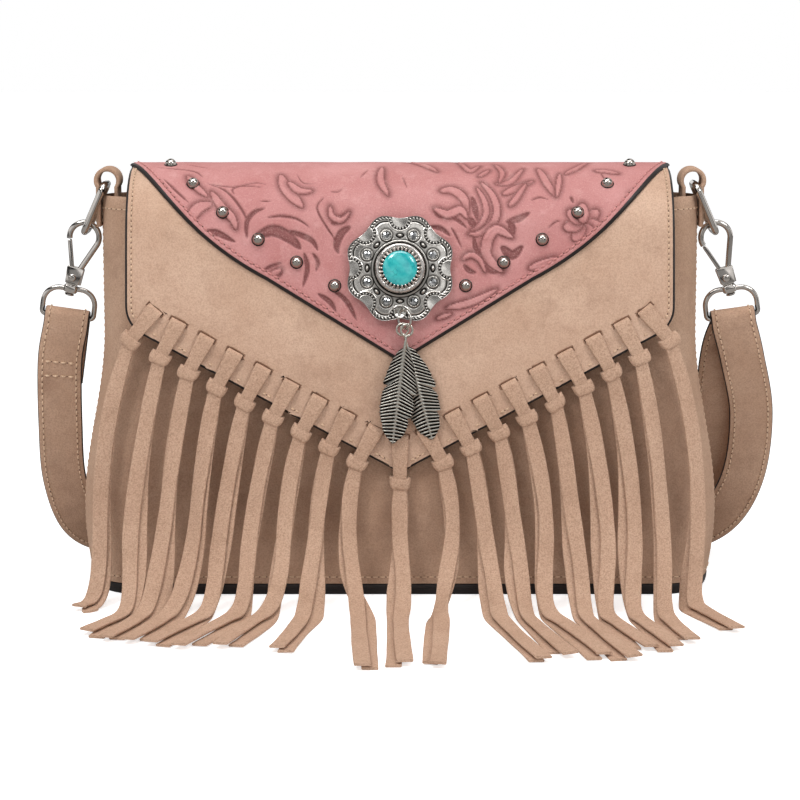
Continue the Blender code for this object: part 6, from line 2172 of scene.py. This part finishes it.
def make_snap():
    low = SNAP_Z - SNAP_RADIUS
    high = SNAP_Z + SNAP_RADIUS
    panel = max(half_depth(low), half_depth(high)) + GAP
    under_flap = -front_face_y(high) - FLAP_THICKNESS - GAP
    meet = under_flap - SNAP_PLATE
    upright = Matrix.Translation((0, 0, SNAP_Z)) @ Matrix.Rotation(math.pi / 2, 4, "X")
    socket = Build()
    socket.dome(upright, [
        (SNAP_RADIUS - 0.0005, panel - 0.0012), (SNAP_RADIUS, panel + 0.0002), (SNAP_RADIUS, meet - GAP - 0.0004),
        (SNAP_RADIUS - 0.0004, meet - GAP), (SNAP_RADIUS * 0.55, meet - GAP), (SNAP_RADIUS * 0.52, meet - GAP - 0.0005),
        (SNAP_RADIUS * 0.2, meet - GAP - 0.0005),
    ], 48)
    stud = Build()
    radius = SNAP_RADIUS * 0.9
    stud.dome(upright, [
        (radius * 0.3, meet), (radius - 0.0004, meet), (radius, meet + 0.0003), (radius, under_flap - 0.0002),
        (radius - 0.0004, under_flap + 0.0006),
    ], 48)
    for build, body, name, node in (
        (socket, "bag", "snap_socket_metal", "snap_socket"), (stud, "flap", "snap_stud_metal", "snap_stud"),
    ):
        obj = build.make(name, [NICKEL], 40)
        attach(obj, body)
        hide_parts(node)


def tab_loop_centre(side):
    out_x = TOP_HALF_WIDTH + TAB_LEG_OUT
    in_x = TOP_HALF_WIDTH - TAB_LEG_IN
    return Vector((side * (out_x + in_x) / 2, 0, BODY_HEIGHT + TAB_LOOP_RISE))


def make_tab(side, label):
    """A rolled tab of leather: its loop stands over the seam, and its legs are sewn in at the side."""
    centre = tab_loop_centre(side)
    half = (TAB_LEG_OUT + TAB_LEG_IN) / 2
    foot_z = BODY_HEIGHT - TAB_LEG_LENGTH
    neck_z = BODY_HEIGHT + TAB_THICKNESS / 4
    path = [(half, foot_z), (half, foot_z + 0.005), (half, foot_z + 0.010), (half, neck_z)]
    for step in range(29):
        turn = math.radians(-35 + 250 * step / 28)
        path.append((TAB_LOOP_RADIUS * math.cos(turn), centre.z + TAB_LOOP_RADIUS * math.sin(turn)))
    path += [(-half, neck_z), (-half, foot_z + 0.010), (-half, foot_z + 0.005), (-half, foot_z)]
    stations = [(Vector((centre.x + side * x, 0, z)), Vector((0, 1, 0)), 1.0) for x, z in path]
    build = Build()
    build.loft(strip_rings(stations, 2 * TAB_HALF_WIDTH, TAB_THICKNESS))
    obj = build.make(f"leather_tab_{label}", [SUEDE], 60)
    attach(obj, "bag")
    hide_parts(f"tab_{label}")
    rows = []
    outer = centre.x + side * (half + TAB_THICKNESS / 2)
    for row, offset in enumerate((-0.0052, 0.0052)):
        line = [(Vector((outer, offset, foot_z + 0.001 + 0.0122 * step / 10)), Vector((side, 0, 0))) for step in range(11)]
        rows.append(stitches(f"tab_stitches_{label}_{row}", line, None, THREAD))
    joined = join(rows, f"tab_stitches_{label}")
    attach(joined, "bag")


def ring_pivot(side):
    seat = TAB_LOOP_RADIUS - TAB_THICKNESS / 2 - RING_WIRE / 2 - SLIDE_GAP
    return tab_loop_centre(side) + lean_direction(side, RING_SEAT_LEAN) * seat


def ring_bar(side):
    return ring_pivot(side) + lean_direction(side, RING_LEAN) * RING_LENGTH


def make_ring(side, label):
    down = lean_direction(side, RING_LEAN)
    corners = [
        (-RING_HALF_WIDTH, 0), (-RING_HALF_WIDTH, RING_LENGTH), (RING_HALF_WIDTH, RING_LENGTH), (RING_HALF_WIDTH, 0),
    ]
    flat = rounded(corners, [RING_CORNER] * 4, 12)
    path = [ring_pivot(side) + Vector((0, y, 0)) + down * q for y, q in flat]
    build = Build()
    build.loft(wire_rings(path, down.cross(Vector((0, 1, 0))), RING_WIRE / 2, 18, True), closed=True)
    metal_piece(build, f"oval_ring_{label}", f"ring_{label}", f"ring_{label}")


def metal_piece(build, name, body, node, sharp=45):
    obj = build.make(name, [NICKEL, STUD_DARK], sharp)
    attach(obj, body)
    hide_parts(node)
    return obj


def hook_frame(side):
    down = lean_direction(side, HOOK_LEAN)
    right = Vector((math.cos(HOOK_LEAN), 0, side * math.sin(HOOK_LEAN)))
    turn = Matrix((right, down, Vector((0, 1, 0)))).transposed().to_4x4()
    rise = RING_WIRE / 2 + HOOK_WIRE / 2 + HOOK_SLACK
    return Matrix.Translation(ring_bar(side) - down * rise) @ turn


def hook_nose():
    return Vector((-HOOK_EYE_RADIUS * math.cos(HOOK_TAPER), HOOK_EYE_RADIUS * (1 + math.sin(HOOK_TAPER))))


def gate_pivot():
    nose = hook_nose()
    drop = HOOK_BODY_TOP + GATE_PIVOT_DROP - nose.y
    return nose + Vector((math.tan(HOOK_TAPER) * drop, drop))


def hook_foot():
    return HOOK_BODY_TOP + HOOK_BODY_HEIGHT


def soft_block(build, place, levels, half_depth_here, corner, steps=4):
    """A block along its own Y whose section is a rounded rectangle; levels give (y, half width, share)."""
    rings = []
    for y, half_x, share in levels:
        half_z = half_depth_here * share
        outline = rounded(box_corners(half_x, half_z), [corner] * 4, steps)
        rings.append([place @ Vector((point.x, y, point.y)) for point in outline])
    build.loft(rings)


def make_hook(side, label):
    """A snap hook: its eye closed by the gate, a shank with the gate's rivet, and the swivel post below."""
    place = hook_frame(side)
    foot = hook_foot()
    half = HOOK_BODY_THICKNESS / 2
    build = Build()
    pivot = gate_pivot()
    slot_right = pivot.x + GATE_PIVOT_RADIUS + SLIDE_GAP
    slot_foot = pivot.y + GATE_PIVOT_RADIUS + SLIDE_GAP
    slot_half = GATE_THICKNESS / 2 + SLIDE_GAP
    top_half = HOOK_BODY_TOP_HALF_WIDTH
    foot_half = HOOK_BODY_FOOT_HALF_WIDTH

    def half_at(y):
        return top_half + (foot_half - top_half) * (y - HOOK_BODY_TOP) / HOOK_BODY_HEIGHT

    solid_levels = [
        (slot_foot, half_at(slot_foot), 1.0), (foot - 0.0006, half_at(foot), 1.0), (foot, half_at(foot) - 0.0005, 0.85),
    ]
    soft_block(build, place, solid_levels, half, 0.0008)
    cheek = (half - slot_half) / 2
    for face in (-1, 1):
        middle = face * (slot_half + cheek)
        spot = place @ Matrix.Translation((0, 0, middle))
        levels = [
            (HOOK_BODY_TOP, top_half - 0.0005, 0.7), (HOOK_BODY_TOP + 0.0005, half_at(HOOK_BODY_TOP), 1.0),
            (slot_foot + 0.0004, half_at(slot_foot), 1.0),
        ]
        soft_block(build, spot, levels, cheek, cheek * 0.6)
    right_half = (half_at(HOOK_BODY_TOP) - slot_right) / 2
    if right_half > 0.0002:
        spot = place @ Matrix.Translation((slot_right + right_half, 0, 0))
        sizes = [(HOOK_BODY_TOP + 0.0003, right_half, 0.95), (slot_foot + 0.0004, right_half, 0.95)]
        soft_block(build, spot, sizes, slot_half, 0.0002)
    path = []
    for step in range(45):
        turn = math.pi - (math.pi + 2 * HOOK_TAPER) * step / 44 + HOOK_TAPER
        path.append(Vector((HOOK_EYE_RADIUS * math.cos(turn), HOOK_EYE_RADIUS * (1 - math.sin(turn)), 0)))
    start = path[-1]
    root_y = HOOK_BODY_TOP + HOOK_WIRE * 0.4
    end = Vector((start.x - math.tan(HOOK_TAPER) * (root_y - start.y), root_y, 0))
    path += [start + (end - start) * step / 8 for step in range(1, 9)]
    path = [place @ point for point in path]
    normal = place.to_3x3() @ Vector((0, 0, 1))
    build.loft(wire_rings(path, normal, HOOK_WIRE / 2, 18, False))
    rivet_at = place @ Matrix.Translation((*pivot, 0))
    build.dome(rivet_at, [(RIVET_RADIUS, -half), (RIVET_RADIUS, half)], 16)
    for face in (0, math.pi):
        spot = rivet_at @ Matrix.Rotation(face, 4, "X")
        build.dome(spot, [
            (RIVET_HEAD_RADIUS, half - 0.0003), (RIVET_HEAD_RADIUS, half + 0.0001), (RIVET_HEAD_RADIUS * 0.85, half + 0.0004),
            (RIVET_HEAD_RADIUS * 0.4, half + RIVET_HEAD), (RIVET_HEAD_RADIUS * 0.05, half + RIVET_HEAD),
        ], 20)
    head_y = foot + 2 * SLIDE_GAP + EYE_BLOCK_HEIGHT
    turn = place @ Matrix.Rotation(-math.pi / 2, 4, "X")
    build.dome(turn, [(SWIVEL_POST_RADIUS, foot - SLIDE_GAP), (SWIVEL_POST_RADIUS, head_y + SWIVEL_HEAD / 2)], 20)
    build.dome(turn, [
        (SWIVEL_HEAD_RADIUS * 0.8, head_y), (SWIVEL_HEAD_RADIUS, head_y + 0.0003), (SWIVEL_HEAD_RADIUS, head_y + 0.0008),
        (SWIVEL_HEAD_RADIUS * 0.75, head_y + SWIVEL_HEAD),
    ], 24)
    metal_piece(build, f"snap_hook_{label}", f"hook_{label}", f"hook_{label}")


def make_gate(side, label):
    """The sprung gate: a flat lever whose tip meets the hook's nose, round its rivet at the foot."""
    pivot = gate_pivot()
    length = (pivot - hook_nose()).length - SLIDE_GAP
    place = hook_frame(side) @ Matrix.Translation((*pivot, 0)) @ Matrix.Rotation(math.pi - HOOK_TAPER, 4, "Z")
    build = Build()
    half = GATE_THICKNESS / 2
    levels = [
        (0.0004, GATE_HALF_WIDTH * 1.3, 1.0), (0.0030, GATE_HALF_WIDTH, 1.0), (length - 0.0012, GATE_HALF_WIDTH, 1.0),
        (length - 0.0002, GATE_HALF_WIDTH * 0.85, 0.85), (length, GATE_HALF_WIDTH * 0.6, 0.6),
    ]
    soft_block(build, place, levels, half, 0.0004)
    outer = GATE_PIVOT_RADIUS
    inner = RIVET_RADIUS + GAP
    build_ring = []
    for radius, level in ((inner, -half), (outer, -half), (outer, half), (inner, half)):
        build_ring.append([place @ Vector((x, y, level)) for x, y in circle(radius, 24)])
    build.loft(build_ring, closed=True)
    metal_piece(build, f"hook_gate_lever_{label}", f"hook_gate_{label}", f"hook_gate_{label}")


# Strap D-rings and strap
def eye_block_centre(side):
    return hook_frame(side) @ Vector((0, hook_foot() + SLIDE_GAP + EYE_BLOCK_HEIGHT / 2, 0))


def d_ring_bar(side):
    return eye_block_centre(side) + lean_direction(side, D_RING_LEAN) * D_RING_DROP


def d_ring_across(side):
    return Vector((math.cos(D_RING_LEAN), 0, side * math.sin(D_RING_LEAN)))


def make_d_ring(side, label):
    half = STRAP_WIDTH / 2 + SLIDE_GAP + D_RING_WIRE / 2
    corners = [(-half, -D_RING_DROP), (-half, 0), (half, 0), (half, -D_RING_DROP)]
    radii = [D_RING_TOP_CORNER, D_RING_FOOT_CORNER, D_RING_FOOT_CORNER, D_RING_TOP_CORNER]
    down = lean_direction(side, D_RING_LEAN)
    bar = d_ring_bar(side)
    path = [bar + d_ring_across(side) * x + down * y for x, y in rounded(corners, radii, 10)]
    build = Build()
    build.loft(wire_rings(path, (0, 1, 0), D_RING_WIRE / 2, 18, True), closed=True)
    own = hook_frame(side).to_3x3().to_4x4()
    place = Matrix.Translation(eye_block_centre(side)) @ own
    hole = SWIVEL_POST_RADIUS + SLIDE_GAP
    tall = EYE_BLOCK_HEIGHT / 2
    rings = []
    for y, share in ((-tall, 0.86), (-tall + 0.0005, 1.0), (tall - 0.0005, 1.0), (tall, 0.86)):
        half_x = EYE_BLOCK_HALF_WIDTH * share
        half_z = EYE_BLOCK_DEPTH / 2 * share
        outline = rounded(box_corners(half_x, half_z), [0.0014] * 4, 5)
        rings.append([place @ Vector((point.x, y, point.y)) for point in outline])
    count = len(rings[0])
    bore = []
    for y in (tall, -tall):
        ring = []
        for index in range(count):
            seen = place.inverted() @ rings[0][index]
            turn = math.atan2(seen.z, seen.x)
            ring.append(place @ Vector((hole * math.cos(turn), y, hole * math.sin(turn))))
        bore.append(ring)
    build.loft(rings + bore, closed=True)
    metal_piece(build, f"strap_ring_{label}", f"strap_d_ring_{label}", f"strap_d_ring_{label}")


def fold_round_bar(side, width_sign):
    radius = D_RING_WIRE / 2 + GAP + STRAP_THICKNESS / 2
    up = -lean_direction(side, D_RING_LEAN)
    bar = d_ring_bar(side)
    stations = []
    for step in range(19):
        turn = math.pi - math.pi * step / 18
        place = bar + radius * (math.cos(turn) * Vector((0, 1, 0)) + math.sin(turn) * up)
        stations.append((place, width_sign * d_ring_across(side)))
    return stations


def hanging(points, facing):
    line = curve_through(points, 12)
    stations = []
    for index, point in enumerate(line):
        along = line[min(index + 1, len(line) - 1)] - line[max(index - 1, 0)]
        stations.append((point, Vector((0, facing, 0)).cross(along).normalized()))
    return stations


def strap_stations():
    stand_z = FLOOR_GAP + STRAP_WIDTH / 2
    run_y = BASE_HALF_DEPTH + STRAP_RUN_GAP
    left_bar = d_ring_bar(-1)
    right_bar = d_ring_bar(1)
    left_fold = list(reversed(fold_round_bar(-1, 1)))
    right_fold = fold_round_bar(1, -1)
    tail_down = lean_direction(-1, D_RING_LEAN) * STRAP_TAIL
    tail = [
        (left_fold[0][0] + tail_down * (1 - step / 8), left_fold[0][1]) for step in range(8)
    ]
    edge = BELLY_HALF_WIDTH + STRAP_WIDTH / 2
    main_points = [
        left_fold[-1][0] + lean_direction(-1, D_RING_LEAN) * 0.004,
        (left_bar.x - 0.004, -0.001, left_bar.z - 0.022),
        (-edge - 0.0015, 0.004, left_bar.z - 0.053),
        (-edge - 0.0015, 0.014, left_bar.z * 0.36),
        (-edge + 0.004, 0.030, stand_z * 2),
        (-edge + 0.018, run_y - 0.008, stand_z + 0.0012),
        (-edge + 0.044, run_y - 0.001, stand_z),
        (-edge / 2, run_y, stand_z),
        (0, run_y, stand_z),
        (edge / 2, run_y, stand_z),
        (edge - 0.044, run_y, stand_z),
        (edge - 0.018, run_y - 0.002, stand_z + 0.0012),
        (edge - 0.001, run_y - 0.011, stand_z * 2.1),
        (edge + 0.008, 0.030, left_bar.z * 0.36),
        (edge + 0.009, 0.018, right_bar.z - 0.050),
        (right_bar.x + 0.0055, 0.002, right_bar.z - 0.021),
        right_fold[0][0] + lean_direction(1, D_RING_LEAN) * 0.004,
    ]
    join_y = run_y + STRAP_THICKNESS + GAP
    rear_points = [
        right_fold[-1][0] + lean_direction(1, D_RING_LEAN) * 0.004,
        (right_bar.x - 0.003, 0.010, right_bar.z - 0.019),
        (edge - 0.0075, 0.024, right_bar.z - 0.048),
        (edge - 0.0075, 0.042, right_bar.z * 0.38),
        (edge - 0.015, run_y + 0.008, stand_z * 2.1),
        (edge - 0.032, join_y + 0.010, stand_z + 0.0012),
        (edge - 0.058, join_y + 0.003, stand_z),
        (edge / 2, join_y, stand_z),
        (edge / 2 - 0.02, join_y, stand_z),
    ]
    return tail + left_fold + hanging(main_points, -1) + right_fold + hanging(rear_points, 1)


def strap_edge_path(stations, across_share, face_sign):
    """A line along the strap on one of its faces, at a share of its half width, with outward normals."""
    path = []
    last = len(stations) - 1
    for index, (place, direction) in enumerate(stations):
        along = (stations[min(index + 1, last)][0] - stations[max(index - 1, 0)][0]).normalized()
        side = (direction - along * direction.dot(along)).normalized()
        face = side.cross(along) * face_sign
        path.append((place + side * across_share * STRAP_WIDTH / 2 + face * STRAP_THICKNESS / 2, face))
    return path


CROSS_STITCH_SHARES = (-0.70, -0.35, 0, 0.35, 0.70)
TAIL_STATIONS = 8
FOLD_STATIONS = 19


def make_strap():
    """The shoulder strap: one length of painted suede, folded over both D-rings and sewn on itself."""
    stations = strap_stations()
    build = Build()
    rings = strip_rings([(place, side, 1.0) for place, side in stations], STRAP_WIDTH, STRAP_THICKNESS)
    build.loft(rings)
    obj = build.make("suede_strap", [SUEDE, EDGE], 60)
    count = len(rings[0])
    half = count // 2
    painted = {1, 2, 3, 4, half + 1, half + 2, half + 3, half + 4}
    for index, polygon in enumerate(obj.data.polygons):
        if len(polygon.vertices) == 4 and index % count in painted:
            polygon.material_index = 1
    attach(obj, "bag")
    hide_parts("strap")
    rows = []
    for face_sign in (1, -1):
        for share in (0.76, -0.76):
            path = strap_edge_path(stations, share, face_sign)
            rows.append(stitches(f"strap_row_{face_sign}_{share}", path, None, THREAD, STRAP_STITCH))
    fold_end = TAIL_STATIONS + FOLD_STATIONS
    for row, drop in enumerate(CROSS_ROW_DROPS):
        level = d_ring_bar(-1).z - drop
        on_tail = min(range(TAIL_STATIONS), key=lambda index: abs(stations[index][0].z - level))
        on_front = min(range(fold_end, fold_end + 60), key=lambda index: abs(stations[index][0].z - level))
        for index in (on_tail, on_front):
            for face_sign in (1, -1):
                name = f"strap_cross_{row}_{index}_{face_sign}"
                path = [strap_edge_path(stations, share, face_sign)[index] for share in CROSS_STITCH_SHARES]
                rows.append(stitches(name, path, None, THREAD, CROSS_STITCH))
    joined = join(rows, "strap_stitches")
    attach(joined, "bag")


# Camera, floor and light
def make_stage():
    camera = bpy.data.cameras.new("camera")
    camera.lens = CAMERA_LENS
    camera.sensor_width = SENSOR
    camera.sensor_fit = "HORIZONTAL"
    view = bpy.data.objects.new("camera", camera)
    view.location = CAMERA_PLACE
    view.rotation_euler = (math.pi / 2 - CAMERA_PITCH, 0, 0)
    bpy.context.scene.collection.objects.link(view)
    bpy.context.scene.camera = view
    floor_mesh = bpy.data.meshes.new("floor")
    reach = 6.0
    floor_mesh.from_pydata([(x, y, 0) for x, y in box_corners(reach, reach)], [], [(0, 1, 2, 3)])
    n = Nodes("studio_floor")
    seen = n.node("ShaderNodeLightPath")
    n.set(
        Base_Color=n.mix(seen.outputs["Is Glossy Ray"], (0.90, 0.90, 0.90), (0.30, 0.29, 0.28)),
        Roughness=0.8,
        Specular_IOR_Level=0.1, Emission_Color=(1, 1, 1),
        Emission_Strength=n.span(seen.outputs["Is Camera Ray"], 0, 1, 0.10, 0.62),
    )
    floor_mesh.materials.append(n.material)
    floor = bpy.data.objects.new("floor", floor_mesh)
    bpy.context.scene.collection.objects.link(floor)
    for name, place, size, energy in (
        ("key", (-0.60, -0.80, 1.20), (0.35, 0.35), 6.6),
        ("fill", (0.80, -0.80, 0.95), (0.40, 0.40), 4.4),
        ("top", (0.0, -0.30, 1.30), (0.9, 0.5), 7.6),
        ("front", (0.0, -1.7, 0.45), (1.0, 0.4), 0.4),
    ):
        data = bpy.data.lights.new(name, "AREA")
        data.shape = "RECTANGLE"
        data.size, data.size_y = size
        data.energy = energy
        light = bpy.data.objects.new(name, data)
        light.location = place
        light.rotation_euler = (Vector((0, 0, 0.1)) - Vector(place)).to_track_quat("-Z", "Y").to_euler()
        bpy.context.scene.collection.objects.link(light)
    world = bpy.data.worlds.new("studio")
    world.use_nodes = True
    tree = world.node_tree
    background = tree.nodes["Background"]
    background.inputs["Color"].default_value = (1, 1, 1, 1)
    path = tree.nodes.new("ShaderNodeLightPath")
    place = tree.nodes.new("ShaderNodeTexCoord")
    axes = tree.nodes.new("ShaderNodeSeparateXYZ")
    tree.links.new(place.outputs["Generated"], axes.inputs["Vector"])
    rise = tree.nodes.new("ShaderNodeMapRange")
    for socket, value in zip(("From Min", "From Max", "To Min", "To Max"), (-0.1, 0.7, 0.08, 0.48)):
        rise.inputs[socket].default_value = value
    tree.links.new(axes.outputs["Z"], rise.inputs["Value"])
    slant = tree.nodes.new("ShaderNodeVectorMath")
    slant.operation = "DOT_PRODUCT"
    slant.inputs[1].default_value = (7.5, 2.0, 6.0)
    tree.links.new(place.outputs["Generated"], slant.inputs[0])
    wave = tree.nodes.new("ShaderNodeMath")
    wave.operation = "SINE"
    tree.links.new(slant.outputs["Value"], wave.inputs[0])
    cards = tree.nodes.new("ShaderNodeMapRange")
    for socket, value in zip(("From Min", "From Max", "To Min", "To Max"), (-0.1, 0.25, 0.03, 0.95)):
        cards.inputs[socket].default_value = value
    tree.links.new(wave.outputs["Value"], cards.inputs["Value"])
    lit = tree.nodes.new("ShaderNodeMix")
    tree.links.new(path.outputs["Is Glossy Ray"], lit.inputs["Factor"])
    tree.links.new(rise.outputs["Result"], lit.inputs[2])
    tree.links.new(cards.outputs["Result"], lit.inputs[3])
    strength = tree.nodes.new("ShaderNodeMix")
    tree.links.new(path.outputs["Is Camera Ray"], strength.inputs["Factor"])
    tree.links.new(lit.outputs[0], strength.inputs[2])
    strength.inputs[3].default_value = 1.0
    tree.links.new(strength.outputs[0], background.inputs["Strength"])
    bpy.context.scene.world = world
    bpy.context.scene.view_settings.view_transform = "Standard"


def main():
    make_stage()
    all_tassels = tassels()
    make_body()
    make_flap(all_tassels)
    make_flap_stitches(all_tassels)
    make_flap_back()
    make_flap_fold()
    make_overlay()
    make_studs()
    make_concho()
    make_jump_ring()
    layer = FEATHER_THICKNESS / 2 + FEATHER_RIB / 2 + GAP
    make_feather("feather_left", FEATHER_LEFT_LEAN, -layer)
    make_feather("feather_right", FEATHER_RIGHT_LEAN, layer)
    for tassel in all_tassels:
        make_tassel(tassel)
    make_snap()
    for side, label in ((-1, "left"), (1, "right")):
        make_tab(side, label)
        make_ring(side, label)
        make_hook(side, label)
        make_gate(side, label)
        make_d_ring(side, label)
    make_strap()


main()
